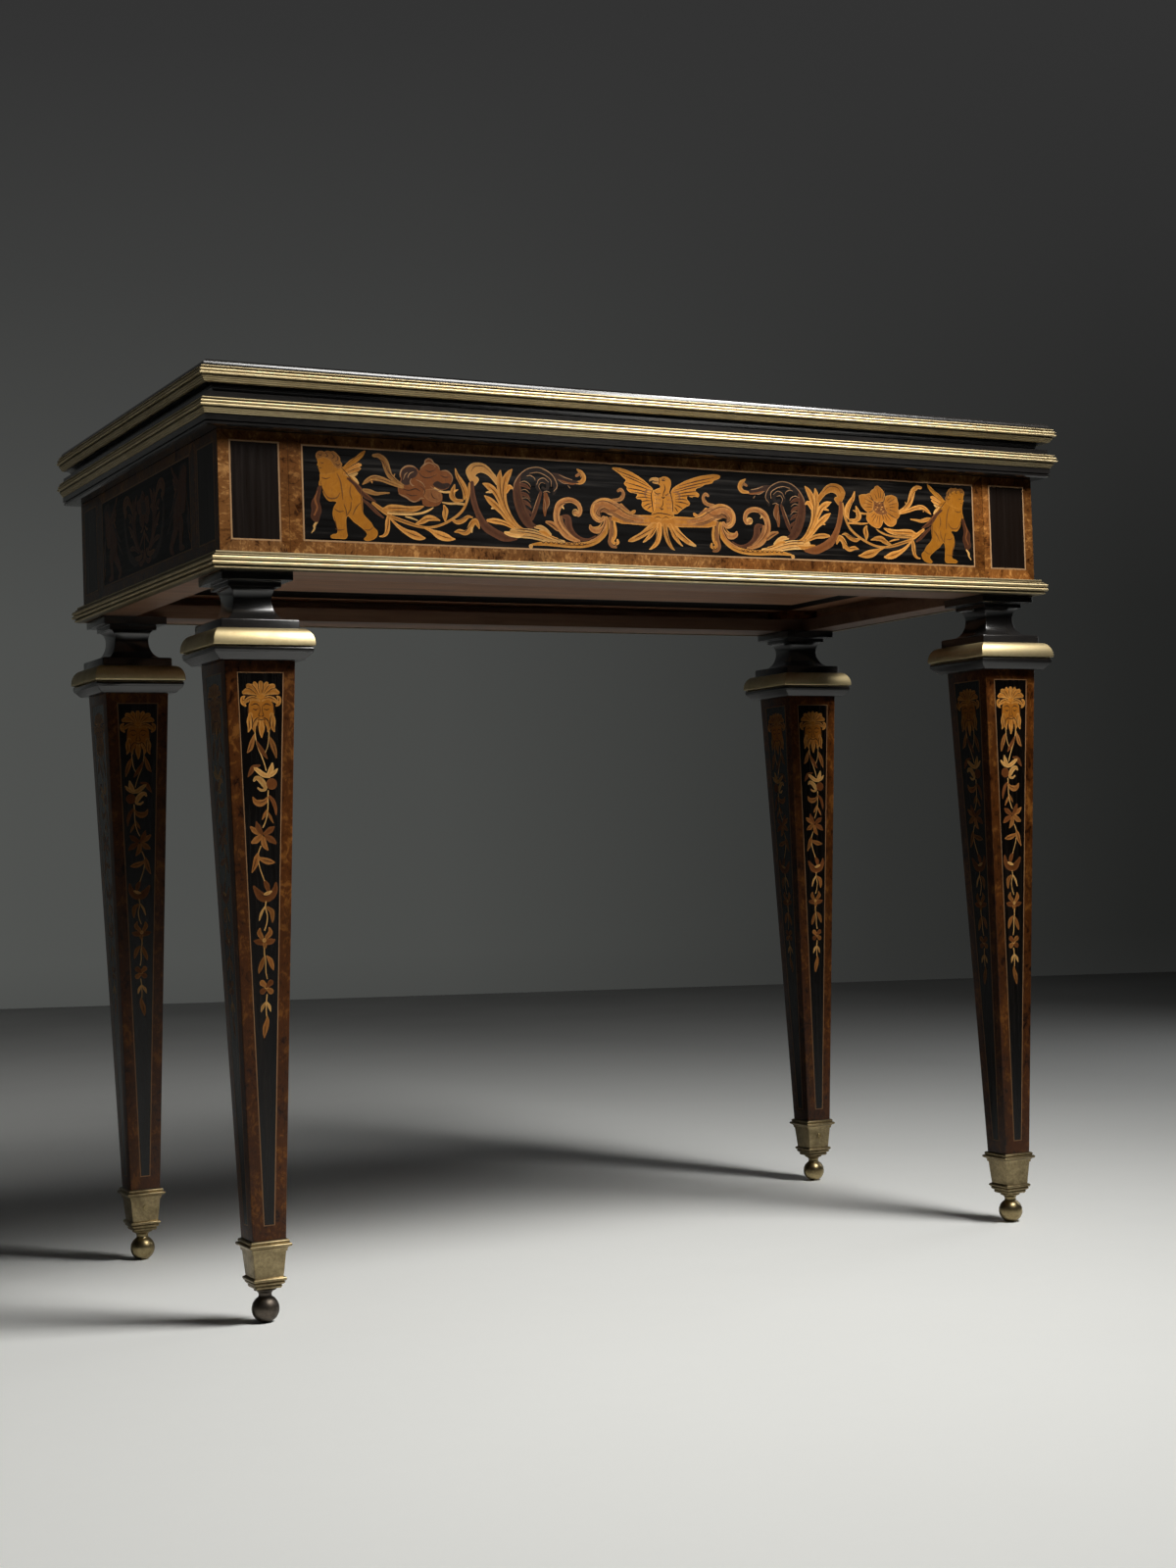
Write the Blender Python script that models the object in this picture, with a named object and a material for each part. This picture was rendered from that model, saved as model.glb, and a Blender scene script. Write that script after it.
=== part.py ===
"""Games table with a folding top that swivels a quarter turn, on four tapered legs.

Metres, +Z up. The origin is on the floor under the middle of the table, +X runs along the
long side and -Y faces the front.
"""

import math

import bmesh
import bpy
from mathutils import Matrix, Vector

# Overall plan sizes
TOP_LENGTH = 0.8645
TOP_DEPTH = 0.4455
END_OVERHANG = 0.01905
SIDE_OVERHANG = 0.01895

# Clearances
FIT = 0.0003
SLIDE_GAP = 0.0004
LEAF_GAP = 0.0004
PEG_GAP = 0.0006
OVERRUN = 0.002

# Leaves of the top
LEAF_THICK = 0.0246
BRASS_SEAT = 0.0080
BRASS_TALL = 0.0134
BRASS_RISE = 0.0055
BRASS_TOP_INSET = 0.0035
BRASS_FOOT_INSET = 0.0050
REED_COUNT = 3
REED_DEPTH = 0.0006
REED_STEPS = 4
SLAB_INSET = 0.0096
RIM_INSET = 0.0046
COVE_INSET = 0.0152
COVE_LIP_INSET = 0.0110
BEAD_INSET = 0.0066
OGEE_INSET = 0.0056
OGEE_FOOT_INSET = 0.0076
OGEE_FOOT_TALL = 0.0008
BEAD_TALL = 0.0050
QUARTER_STEPS = 5

# Baize of the playing faces
BAIZE_MARGIN = 0.0600
BAIZE_BACK_MARGIN = 0.0160
BAIZE_THICK = 0.0008
BAIZE_RECESS = 0.0012

# Hinges of the two leaves
HINGE_RADIUS = 0.0025
HINGE_END_INSET = 0.03525
HINGE_WIDTH = 0.0300
HINGE_DEPTH = 0.0280
HINGE_PLATE = 0.0016
HINGE_PIN_RADIUS = 0.0010

# Case
FRIEZE_HEIGHT = 0.0998
BASE_FRAME_THICK = 0.0128
BASE_LIP_SIDE = 0.0332
BASE_LIP_FRONT = 0.0488
POST_SIZE = 0.0597
PANEL_THICK = 0.0028
RAIL_THICK = 0.0177
CAP_THICK = 0.0029
CAP_OVERHANG = 0.0132
CAP_FOOT_OVERHANG = 0.0105
CAP_ROUND = 0.0010

# Bead round the foot of the case
BASE_BEAD_TALL = 0.0146
BASE_BEAD_DROP = 0.0006
BASE_BEAD_LIP = 0.0050
BASE_BEAD_FILLET = 0.0032
BASE_BEAD_FILLET_TALL = 0.0022
BASE_LOWER_REACH = 0.0098
BASE_UPPER_REACH = 0.0092
BASE_GROOVE_REACH = 0.0074
BASE_LIP_TALL = 0.0022
BASE_GROOVE_LEVEL = 0.0066

# Inside the case
BOTTOM_BOARD_THICK = 0.0060
BOTTOM_BOARD_LIFT = 0.0092
GROOVE_DEEP = 0.0060
DIVIDER_THICK = 0.0120
CLEAT_SIZE = 0.0120
PIVOT_BOARD_THICK = 0.0150
LINING_THICK = 0.0012

# Swivel
FLANGE_RADIUS = 0.0320
FLANGE_THICK = 0.0030
SHANK_RADIUS = 0.0080
THREAD_RADIUS = 0.0060
WASHER_RADIUS = 0.0200
WASHER_THICK = 0.0022
NUT_RADIUS = 0.0120
NUT_TALL = 0.0070
NUT_SIDES = 6
BOLT_TAIL = 0.0030
PEG_RADIUS = 0.0040
PEG_CIRCLE = 0.0700
PEG_IN_LEAF = 0.0100
PEG_SHORT_OF_BOARD = 0.0030
SWIVEL_RANGE = math.radians(90)
PEG_REST_ANGLE = math.radians(225)

# Legs
LEG_INSET = 0.0320
SHAFT_LENGTH = 0.4677
SHAFT_TOP_HALF = 0.0300
SHAFT_FOOT_HALF = 0.0143
TENON_HALF = 0.0098
TENON_LENGTH = 0.0320
SPIGOT_RADIUS = 0.0080
SPIGOT_IN_POST = 0.0500
SPIGOT_END_GAP = 0.0010

# Capital, from its foot up
CAPITAL_FOOT_HALF = 0.0362
CAPITAL_BAND_HALF = 0.0421
CAPITAL_BEVEL_TALL = 0.0064
CAPITAL_BAND_TALL = 0.0046
CAPITAL_PLINTH_HALF = 0.0334
CAPITAL_PLINTH_TALL = 0.0225
CAPITAL_CHAMFER = 0.0011
CAPITAL_COVE_HALF = 0.0275
CAPITAL_COVE_TALL = 0.0172
CAPITAL_NECK_HALF = 0.0162
CAPITAL_THROAT_HALF = 0.0212
CAPITAL_THROAT_TALL = 0.0098
CAPITAL_FILLET_HALF = 0.0226
CAPITAL_FILLET_TALL = 0.0047
ABACUS_HALF = 0.0303
ABACUS_TALL = 0.0074

# Collar
COLLAR_TALL = 0.0142
COLLAR_HALF = 0.0435
COLLAR_TOP_HALF = 0.0352
COLLAR_FLAT = 0.0015

# Sabot, from its foot up
SABOT_FOOT_HALF = 0.0104
SABOT_STEP_HALF = 0.0114
SABOT_STEP_TALL = 0.0032
SABOT_SHELF_HALF = 0.0128
SABOT_SHELF_TALL = 0.0030
SABOT_RIM_HALF = 0.0142
SABOT_RIM_TALL = 0.0030
SABOT_BODY_FOOT_HALF = 0.0122
SABOT_BODY_TOP_HALF = 0.0141
SABOT_BODY_TALL = 0.0208
SABOT_THROAT_HALF = 0.0162
SABOT_THROAT_TALL = 0.0039
SABOT_LIP_HALF = 0.0182
SABOT_LIP_TALL = 0.0028
SABOT_REED_HALF = 0.0166
SABOT_REED_TALL = 0.0030
SABOT_FLOOR = 0.0075
SABOT_SCREW_LIFT = 0.0220
SABOT_SCREW_RADIUS = 0.0030
SABOT_SCREW_DOME = 0.0011
SABOT_SCREW_SHANK = 0.0090
SABOT_SCREW_SHANK_RADIUS = 0.0013

# Ball foot
BALL_RADIUS = 0.0113
BALL_FLAT = 0.0005
FOOT_HEIGHT = 0.0277
FOOT_NECK_RADIUS = 0.0055
FOOT_NECK_TOP = 0.0236
FOOT_FLARE_RADIUS = 0.0092
FOOT_FLARE_TOP = 0.0264
STUD_RADIUS = 0.0028
STUD_LENGTH = 0.0070
BALL_STEPS = 9
ROUND_SEGMENTS = 20
SMALL_SEGMENTS = 12

# Levels, added up from the floor
SABOT_FOOT_Z = FOOT_HEIGHT + FIT
SABOT_RIM_Z = SABOT_FOOT_Z + SABOT_STEP_TALL + SABOT_SHELF_TALL
SABOT_BODY_Z = SABOT_RIM_Z + SABOT_RIM_TALL
SABOT_THROAT_Z = SABOT_BODY_Z + SABOT_BODY_TALL
SABOT_LIP_Z = SABOT_THROAT_Z + SABOT_THROAT_TALL
SABOT_TOP_Z = SABOT_LIP_Z + SABOT_LIP_TALL + SABOT_REED_TALL
SHAFT_FOOT_Z = SABOT_TOP_Z + FIT
SHAFT_TOP_Z = SHAFT_FOOT_Z + SHAFT_LENGTH
CAPITAL_Z = SHAFT_TOP_Z + FIT
BAND_TOP_Z = CAPITAL_Z + CAPITAL_BEVEL_TALL + CAPITAL_BAND_TALL
PLINTH_TOP_Z = BAND_TOP_Z + CAPITAL_PLINTH_TALL
NECK_Z = PLINTH_TOP_Z + CAPITAL_COVE_TALL
THROAT_Z = NECK_Z + CAPITAL_THROAT_TALL
ABACUS_Z = THROAT_Z + CAPITAL_FILLET_TALL
CAPITAL_TOP_Z = ABACUS_Z + ABACUS_TALL
BASE_Z = CAPITAL_TOP_Z + FIT
FRIEZE_Z = BASE_Z + BASE_FRAME_THICK + FIT
FRIEZE_TOP_Z = FRIEZE_Z + FRIEZE_HEIGHT
CAP_Z = FRIEZE_TOP_Z + FIT
CAP_TOP_Z = CAP_Z + CAP_THICK
LOWER_Z = CAP_TOP_Z + SLIDE_GAP
LOWER_TOP_Z = LOWER_Z + LEAF_THICK
UPPER_Z = LOWER_TOP_Z + LEAF_GAP
UPPER_TOP_Z = UPPER_Z + LEAF_THICK
BOTTOM_Z = FRIEZE_Z + BOTTOM_BOARD_LIFT
BOTTOM_TOP_Z = BOTTOM_Z + BOTTOM_BOARD_THICK
PIVOT_TOP_Z = CAP_TOP_Z - FIT
PIVOT_Z = PIVOT_TOP_Z - PIVOT_BOARD_THICK

# Places in plan
TOP_X = TOP_LENGTH / 2
TOP_Y = TOP_DEPTH / 2
CASE_X = TOP_X - END_OVERHANG
CASE_Y = TOP_Y - SIDE_OVERHANG
LEG_X = CASE_X - LEG_INSET
LEG_Y = CASE_Y - LEG_INSET
WALL = PANEL_THICK + FIT + RAIL_THICK
INNER_X = CASE_X - WALL
INNER_Y = CASE_Y - WALL
POST_INNER_X = CASE_X - POST_SIZE
POST_INNER_Y = CASE_Y - POST_SIZE
HINGE_Y = TOP_Y - HINGE_RADIUS
HINGE_Z = LOWER_TOP_Z + LEAF_GAP / 2
HINGE_X = TOP_X - HINGE_END_INSET
LEAF_BACK_Y = HINGE_Y - FIT
PIVOT_AT = HINGE_Y / 2
SWIVEL_ORIGIN = Vector((PIVOT_AT, PIVOT_AT, LOWER_Z))
FOLD_ORIGIN = Vector((0, HINGE_Y, HINGE_Z))
CORNERS = (("front_left", -1, -1), ("front_right", 1, -1), ("back_right", 1, 1), ("back_left", -1, 1))
SIDES = ("front", "right", "back", "left")
HINGES = (("left", -HINGE_X), ("right", HINGE_X))

# Colour, roughness and metallic value of each finish
FINISHES = {
    "ebonised": ((0.014, 0.012, 0.012), 0.28, 0.0),
    "walnut": ((0.25, 0.11, 0.045), 0.34, 0.0),
    "rosewood": ((0.13, 0.045, 0.026), 0.32, 0.0),
    "ebony_panel": ((0.020, 0.016, 0.015), 0.30, 0.0),
    "carcass_wood": ((0.16, 0.085, 0.048), 0.62, 0.0),
    "gilt_brass": ((0.72, 0.58, 0.33), 0.30, 1.0),
    "aged_brass": ((0.33, 0.27, 0.16), 0.42, 1.0),
    "iron": ((0.20, 0.19, 0.18), 0.48, 1.0),
    "baize": ((0.035, 0.125, 0.055), 0.95, 0.0),
    "lining": ((0.22, 0.035, 0.030), 0.90, 0.0),
}


def clear_scene():
    for old in list(bpy.data.objects):
        bpy.data.objects.remove(old, do_unlink=True)


def make_material(name, finish):
    colour, roughness, metallic = FINISHES[finish]
    material = bpy.data.materials.new(name + "_" + finish)
    material.use_nodes = True
    shader = material.node_tree.nodes["Principled BSDF"]
    shader.inputs["Base Color"].default_value = (*colour, 1)
    shader.inputs["Roughness"].default_value = roughness
    shader.inputs["Metallic"].default_value = metallic
    return material


def loft(rings, loop=False):
    """Skin between equal rings, capped at both ends unless the rings form a loop."""
    size = len(rings[0])
    count = len(rings)
    points = [point for ring in rings for point in ring]
    faces = []
    for here in range(count if loop else count - 1):
        low = here * size
        high = ((here + 1) % count) * size
        for side in range(size):
            turn = (side + 1) % size
            faces.append((low + side, low + turn, high + turn, high + side))
    if not loop:
        faces.append(tuple(reversed(range(size))))
        faces.append(tuple(range((count - 1) * size, count * size)))
    return points, faces


def join(shapes):
    points = []
    faces = []
    for some_points, some_faces in shapes:
        start = len(points)
        points.extend(some_points)
        faces.extend(tuple(start + index for index in face) for face in some_faces)
    return points, faces


def moved(shape, matrix):
    points, faces = shape
    return [tuple(matrix @ Vector(point)) for point in points], faces


def box(low, high):
    ring = [(low[0], low[1]), (high[0], low[1]), (high[0], high[1]), (low[0], high[1])]
    return prism(ring, low[2], high[2])


def prism(outline, low, high):
    return loft([[(x, y, low) for x, y in outline], [(x, y, high) for x, y in outline]])


def rectangle_ring(half_x, half_y, z):
    return [(-half_x, -half_y, z), (half_x, -half_y, z), (half_x, half_y, z), (-half_x, half_y, z)]


def square_stack(outline):
    """Square block from (half width, level) pairs, foot to top."""
    return loft([rectangle_ring(half, half, z) for half, z in outline])


def square_tube(section):
    """Square ring from a closed section of (half width, level) pairs."""
    return loft([rectangle_ring(half, half, z) for half, z in section], loop=True)


def circle(radius, segments):
    turns = (math.tau * step / segments for step in range(segments))
    return [(radius * math.cos(turn), radius * math.sin(turn)) for turn in turns]


def turned(outline, segments):
    """Solid turned about Z from (radius, level) pairs, foot to top."""
    return loft([[(x, y, z) for x, y in circle(radius, segments)] for radius, z in outline])


def turned_ring(section, segments):
    """Ring turned about Z from a closed section of (radius, level) pairs."""
    return loft([[(x, y, z) for x, y in circle(radius, segments)] for radius, z in section], loop=True)


def quarter(centre, reach, start, end, steps=QUARTER_STEPS):
    """Points of an elliptical arc between two angles in degrees."""
    points = []
    for step in range(steps + 1):
        turn = math.radians(start + (end - start) * step / steps)
        points.append((centre[0] + reach[0] * math.cos(turn), centre[1] + reach[1] * math.sin(turn)))
    return points


def frame_ring(section, half_x, half_y):
    """Rectangular frame from a closed section of (outward offset, level) pairs."""
    return loft([rectangle_ring(half_x + offset, half_y + offset, z) for offset, z in section], loop=True)


def three_sided_band(section, half_x, half_y, back):
    """Moulding round the left, front and right sides, cut square at the back edge."""
    rings = []
    for sign_x, at_back in ((-1, True), (-1, False), (1, False), (1, True)):
        rings.append([(sign_x * (half_x + offset), back if at_back else -half_y - offset, z)
                      for offset, z in section])
    return loft(rings)


def add_piece(name, shape, finish, origin=Vector(), parent=None, smooth=False):
    """Object from a shape in world places, with its origin where asked."""
    points, faces = shape
    mesh = bpy.data.meshes.new(name)
    mesh.from_pydata([tuple(Vector(point) - origin) for point in points], [], faces)
    work = bmesh.new()
    work.from_mesh(mesh)
    bmesh.ops.recalc_face_normals(work, faces=work.faces)
    work.to_mesh(mesh)
    work.free()
    piece = bpy.data.objects.new(name, mesh)
    bpy.context.collection.objects.link(piece)
    piece.location = origin
    if parent is not None:
        piece.parent = parent
        piece.location = origin - parent.matrix_world.translation
    mesh.materials.append(make_material(name, finish))
    if smooth:
        mesh.shade_smooth()
        mesh.set_sharp_from_angle(angle=math.radians(35))
    bpy.context.view_layer.update()
    return piece


def add_copy(name, source, finish, location, turn=0.0):
    """A repeat of a piece with the same mesh, set down in its own place."""
    piece = bpy.data.objects.new(name, source.data)
    bpy.context.collection.objects.link(piece)
    piece.location = location
    piece.rotation_euler = (0, 0, turn)
    piece.material_slots[0].link = "OBJECT"
    piece.material_slots[0].material = make_material(name, finish)
    return piece


def combine(piece, shapes, operation):
    """Boolean with other shapes, whose own shells stay clear of each other."""
    tool = add_piece(piece.name + "_tool", join(shapes), "iron")
    change = piece.modifiers.new("change", "BOOLEAN")
    change.operation = operation
    change.object = tool
    bpy.context.view_layer.update()
    graph = bpy.context.evaluated_depsgraph_get()
    result = bpy.data.meshes.new_from_object(piece.evaluated_get(graph))
    piece.modifiers.clear()
    piece.data = result
    bpy.data.objects.remove(tool, do_unlink=True)


def cut(piece, shapes):
    combine(piece, shapes, "DIFFERENCE")


def fuse(piece, shapes):
    combine(piece, shapes, "UNION")


def cylinder(centre, radius, low, high, segments=SMALL_SEGMENTS):
    return moved(turned([(radius, low), (radius, high)], segments), Matrix.Translation((*centre, 0)))


def rod_along_x(start, end, y, z, radius, segments=SMALL_SEGMENTS):
    ring = circle(radius, segments)
    rings = [[(x, y + across, z + up) for across, up in ring] for x in (start, end)]
    return loft(rings)


def leg_place(sign_x, sign_y):
    return Vector((sign_x * LEG_X, sign_y * LEG_Y, 0))


def corner_turn(sign_x, sign_y):
    """Turn that brings the front-right corner's shape to another corner."""
    turns = {(1, -1): 0, (1, 1): 1, (-1, 1): 2, (-1, -1): 3}
    return turns[(sign_x, sign_y)] * math.pi / 2


def repeat_on_legs(kind, source, finish, turns):
    """Name the first piece for its corner and copy it to the other three."""
    for index, (corner, sign_x, sign_y) in enumerate(CORNERS):
        name = corner + "_" + kind
        turn = turns(sign_x, sign_y)
        if index == 0:
            source.name = name
            source.data.name = name
            source.location = leg_place(sign_x, sign_y)
            source.rotation_euler = (0, 0, turn)
        else:
            add_copy(name, source, finish, leg_place(sign_x, sign_y), turn)


def no_turn(sign_x, sign_y):
    return 0.0


def face_inward(sign_x, sign_y):
    """The screw side of a leg faces the middle of the table along Y."""
    return 0.0 if sign_y < 0 else math.pi


def build_feet():
    centre = BALL_RADIUS - BALL_FLAT
    start = math.degrees(math.asin(-centre / BALL_RADIUS))
    end = math.degrees(math.acos(FOOT_NECK_RADIUS / BALL_RADIUS))
    outline = quarter((0, centre), (BALL_RADIUS, BALL_RADIUS), start, end, BALL_STEPS)
    outline.append((FOOT_NECK_RADIUS, FOOT_NECK_TOP))
    outline.append((FOOT_FLARE_RADIUS, FOOT_FLARE_TOP))
    outline.append((FOOT_FLARE_RADIUS, FOOT_HEIGHT))
    outline.append((STUD_RADIUS, FOOT_HEIGHT))
    outline.append((STUD_RADIUS, FOOT_HEIGHT + STUD_LENGTH))
    foot = add_piece("foot", turned(outline, ROUND_SEGMENTS), "aged_brass", smooth=True)
    repeat_on_legs("ball_foot", foot, "aged_brass", no_turn)


def sabot_screw_face():
    """Distance of the sabot's side face from its axis at the screw."""
    climb = SABOT_SCREW_LIFT + SABOT_FOOT_Z - SABOT_BODY_Z
    slope = (SABOT_BODY_TOP_HALF - SABOT_BODY_FOOT_HALF) / SABOT_BODY_TALL
    return SABOT_BODY_FOOT_HALF + slope * climb


def across_y(shape, y, z):
    """Lay a shape turned about Z along +Y, its foot end inwards, at a place on a leg."""
    return moved(shape, Matrix.Translation((0, y, z)) @ Matrix.Rotation(-math.pi / 2, 4, "X"))


def sabot_screw_hole():
    radius = SABOT_SCREW_SHANK_RADIUS + FIT
    hole = turned([(radius, -SABOT_SCREW_SHANK - FIT), (radius, OVERRUN)], SMALL_SEGMENTS)
    return across_y(hole, sabot_screw_face(), SABOT_FOOT_Z + SABOT_SCREW_LIFT)


def build_sabots():
    step_top = SABOT_FOOT_Z + SABOT_STEP_TALL
    reed_z = SABOT_LIP_Z + SABOT_LIP_TALL
    pocket = TENON_HALF + FIT
    outline = [
        (SABOT_FOOT_HALF, SABOT_FOOT_Z), (SABOT_STEP_HALF, step_top),
        (SABOT_SHELF_HALF, step_top), (SABOT_SHELF_HALF, SABOT_RIM_Z),
        (SABOT_RIM_HALF, SABOT_RIM_Z), (SABOT_RIM_HALF, SABOT_BODY_Z),
        (SABOT_BODY_FOOT_HALF, SABOT_BODY_Z), (SABOT_BODY_TOP_HALF, SABOT_THROAT_Z),
        (SABOT_THROAT_HALF, SABOT_LIP_Z), (SABOT_LIP_HALF, SABOT_LIP_Z),
        (SABOT_LIP_HALF, reed_z), (SABOT_REED_HALF, reed_z), (SABOT_REED_HALF, SABOT_TOP_Z),
    ]
    floor_z = SABOT_FOOT_Z + SABOT_FLOOR
    outline += [(pocket, SABOT_TOP_Z), (pocket, floor_z)]
    sabot = add_piece("sabot", square_stack(outline), "aged_brass")
    cut(sabot, [cylinder((0, 0), STUD_RADIUS + FIT, SABOT_FOOT_Z - OVERRUN, floor_z + OVERRUN)])
    cut(sabot, [sabot_screw_hole()])
    repeat_on_legs("sabot", sabot, "aged_brass", face_inward)


def build_sabot_screws():
    outline = [(SABOT_SCREW_SHANK_RADIUS, -SABOT_SCREW_SHANK), (SABOT_SCREW_SHANK_RADIUS, FIT),
               (SABOT_SCREW_RADIUS, FIT)]
    outline += quarter((0, FIT), (SABOT_SCREW_RADIUS, SABOT_SCREW_DOME), 20, 60, 2)
    shape = across_y(turned(outline, SMALL_SEGMENTS), sabot_screw_face(), SABOT_FOOT_Z + SABOT_SCREW_LIFT)
    screw = add_piece("screw", shape, "aged_brass", smooth=True)
    repeat_on_legs("sabot_screw", screw, "aged_brass", face_inward)


def build_shafts():
    """Tapered shaft with a tenon into the sabot and a round spigot up into the corner post."""
    tenon_foot = SHAFT_FOOT_Z - TENON_LENGTH
    outline = [(TENON_HALF, tenon_foot), (TENON_HALF, SHAFT_FOOT_Z),
               (SHAFT_FOOT_HALF, SHAFT_FOOT_Z), (SHAFT_TOP_HALF, SHAFT_TOP_Z)]
    shaft = add_piece("shaft", square_stack(outline), "rosewood")
    high = FRIEZE_Z + SPIGOT_IN_POST
    fuse(shaft, [cylinder((0, 0), SPIGOT_RADIUS, SHAFT_TOP_Z - OVERRUN, high, ROUND_SEGMENTS)])
    cut(shaft, [sabot_screw_hole()])
    repeat_on_legs("leg_shaft", shaft, "rosewood", face_inward)


def spigot_hole(centre, low, high):
    return cylinder(centre, SPIGOT_RADIUS + FIT, low, high, ROUND_SEGMENTS)


def capital_outline():
    bevel_top = CAPITAL_Z + CAPITAL_BEVEL_TALL
    outline = [(CAPITAL_FOOT_HALF, CAPITAL_Z), (CAPITAL_BAND_HALF, bevel_top),
               (CAPITAL_BAND_HALF, BAND_TOP_Z), (CAPITAL_PLINTH_HALF, BAND_TOP_Z),
               (CAPITAL_PLINTH_HALF, PLINTH_TOP_Z - CAPITAL_CHAMFER),
               (CAPITAL_PLINTH_HALF - CAPITAL_CHAMFER, PLINTH_TOP_Z)]
    lower = CAPITAL_COVE_HALF - CAPITAL_NECK_HALF
    outline += quarter((CAPITAL_COVE_HALF, NECK_Z), (lower, CAPITAL_COVE_TALL), 270, 180)
    upper = CAPITAL_THROAT_HALF - CAPITAL_NECK_HALF
    outline += quarter((CAPITAL_THROAT_HALF, NECK_Z), (upper, CAPITAL_THROAT_TALL), 180, 90)[1:]
    outline += [(CAPITAL_FILLET_HALF, THROAT_Z), (CAPITAL_FILLET_HALF, ABACUS_Z),
                (ABACUS_HALF, ABACUS_Z), (ABACUS_HALF, CAPITAL_TOP_Z)]
    return outline


def build_capitals():
    capital = add_piece("capital", square_stack(capital_outline()), "ebonised")
    cut(capital, [spigot_hole((0, 0), CAPITAL_Z - OVERRUN, CAPITAL_TOP_Z + OVERRUN)])
    repeat_on_legs("capital", capital, "ebonised", no_turn)


def build_collars():
    foot = BAND_TOP_Z + FIT
    top = foot + COLLAR_TALL
    inner = CAPITAL_PLINTH_HALF + FIT
    centre = (COLLAR_TOP_HALF, foot + COLLAR_FLAT)
    reach = (COLLAR_HALF - COLLAR_TOP_HALF, COLLAR_TALL - COLLAR_FLAT)
    section = [(inner, foot), (COLLAR_HALF, foot)] + quarter(centre, reach, 0, 90) + [(inner, top)]
    collar = add_piece("collar", square_tube(section), "gilt_brass", smooth=True)
    repeat_on_legs("brass_collar", collar, "gilt_brass", no_turn)


def build_base_frame():
    top = BASE_Z + BASE_FRAME_THICK
    open_x = CASE_X - BASE_LIP_SIDE
    open_y = CASE_Y - BASE_LIP_FRONT
    rings = [rectangle_ring(CASE_X, CASE_Y, BASE_Z), rectangle_ring(CASE_X, CASE_Y, top),
             rectangle_ring(open_x, open_y, top), rectangle_ring(open_x, open_y, BASE_Z)]
    frame = add_piece("base_frame", loft(rings, loop=True), "carcass_wood")
    cut(frame, [spigot_hole((sign_x * LEG_X, sign_y * LEG_Y), BASE_Z - OVERRUN, top + OVERRUN)
                for _, sign_x, sign_y in CORNERS])


def base_bead_section():
    """Lip, two round beads with a groove between them, and a fillet, foot to top."""
    foot = BASE_Z - BASE_BEAD_DROP
    top = foot + BASE_BEAD_TALL
    lip = foot + BASE_LIP_TALL
    groove = foot + BASE_GROOVE_LEVEL
    fillet = top - BASE_BEAD_FILLET_TALL
    section = [(FIT, foot), (BASE_BEAD_LIP, foot), (BASE_GROOVE_REACH, lip)]
    lower = (BASE_LOWER_REACH - BASE_GROOVE_REACH, (groove - lip) / 2)
    section += quarter((BASE_GROOVE_REACH, (lip + groove) / 2), lower, -60, 60, 4)
    section.append((BASE_GROOVE_REACH, groove))
    upper_half = (fillet - groove) / 2
    upper = (BASE_UPPER_REACH - BASE_BEAD_FILLET, upper_half)
    section += quarter((BASE_BEAD_FILLET, groove + upper_half), upper, -40, 90, 5)
    section += [(BASE_BEAD_FILLET, top), (FIT, top)]
    return section


def build_base_bead():
    add_piece("base_bead", frame_ring(base_bead_section(), CASE_X, CASE_Y), "gilt_brass", smooth=True)


def build_posts():
    inner = POST_SIZE - LEG_INSET - FIT
    outline = [(-inner, -LEG_INSET), (LEG_INSET, -LEG_INSET), (LEG_INSET, inner), (-inner, inner)]
    post = add_piece("post", prism(outline, FRIEZE_Z, FRIEZE_TOP_Z), "walnut")
    top = FRIEZE_Z + SPIGOT_IN_POST + SPIGOT_END_GAP
    cut(post, [spigot_hole((0, 0), FRIEZE_Z - OVERRUN, top)])
    repeat_on_legs("corner_post", post, "walnut", corner_turn)


def side_matrix(side):
    """Turn a front or right-hand board to the side where it belongs."""
    if side in ("back", "left"):
        return Matrix.Rotation(math.pi, 4, "Z")
    return Matrix.Identity(4)


def rail_section(face, inner):
    """Section with the bottom board's groove, as (distance out, level) pairs."""
    low = BOTTOM_Z - FIT
    high = BOTTOM_TOP_Z + FIT
    deep = inner + GROOVE_DEEP
    return [(inner, FRIEZE_Z), (face, FRIEZE_Z), (face, FRIEZE_TOP_Z), (inner, FRIEZE_TOP_Z),
            (inner, high), (deep, high), (deep, low), (inner, low)]


def build_rails():
    behind = PANEL_THICK + FIT
    half_x = POST_INNER_X
    half_y = POST_INNER_Y
    for side in SIDES:
        if side in ("front", "back"):
            section = rail_section(CASE_Y - behind, INNER_Y)
            shape = loft([[(x, -out, z) for out, z in section] for x in (-half_x, half_x)])
        else:
            section = rail_section(CASE_X - behind, INNER_X)
            shape = loft([[(out, y, z) for out, z in section] for y in (-half_y, half_y)])
        add_piece("rail_" + side, moved(shape, side_matrix(side)), "carcass_wood")


def build_marquetry_panels():
    for side in SIDES:
        if side in ("front", "back"):
            half = POST_INNER_X
            shape = box((-half, -CASE_Y, FRIEZE_Z), (half, PANEL_THICK - CASE_Y, FRIEZE_TOP_Z))
        else:
            half = POST_INNER_Y
            shape = box((CASE_X - PANEL_THICK, -half, FRIEZE_Z), (CASE_X, half, FRIEZE_TOP_Z))
        add_piece("marquetry_" + side, moved(shape, side_matrix(side)), "ebony_panel")


def build_cap_frame():
    section = [(-WALL, CAP_Z), (CAP_FOOT_OVERHANG, CAP_Z), (CAP_OVERHANG, CAP_Z + CAP_ROUND),
               (CAP_OVERHANG, CAP_TOP_Z), (-WALL, CAP_TOP_Z)]
    add_piece("cap_frame", frame_ring(section, CASE_X, CASE_Y), "ebonised")


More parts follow.
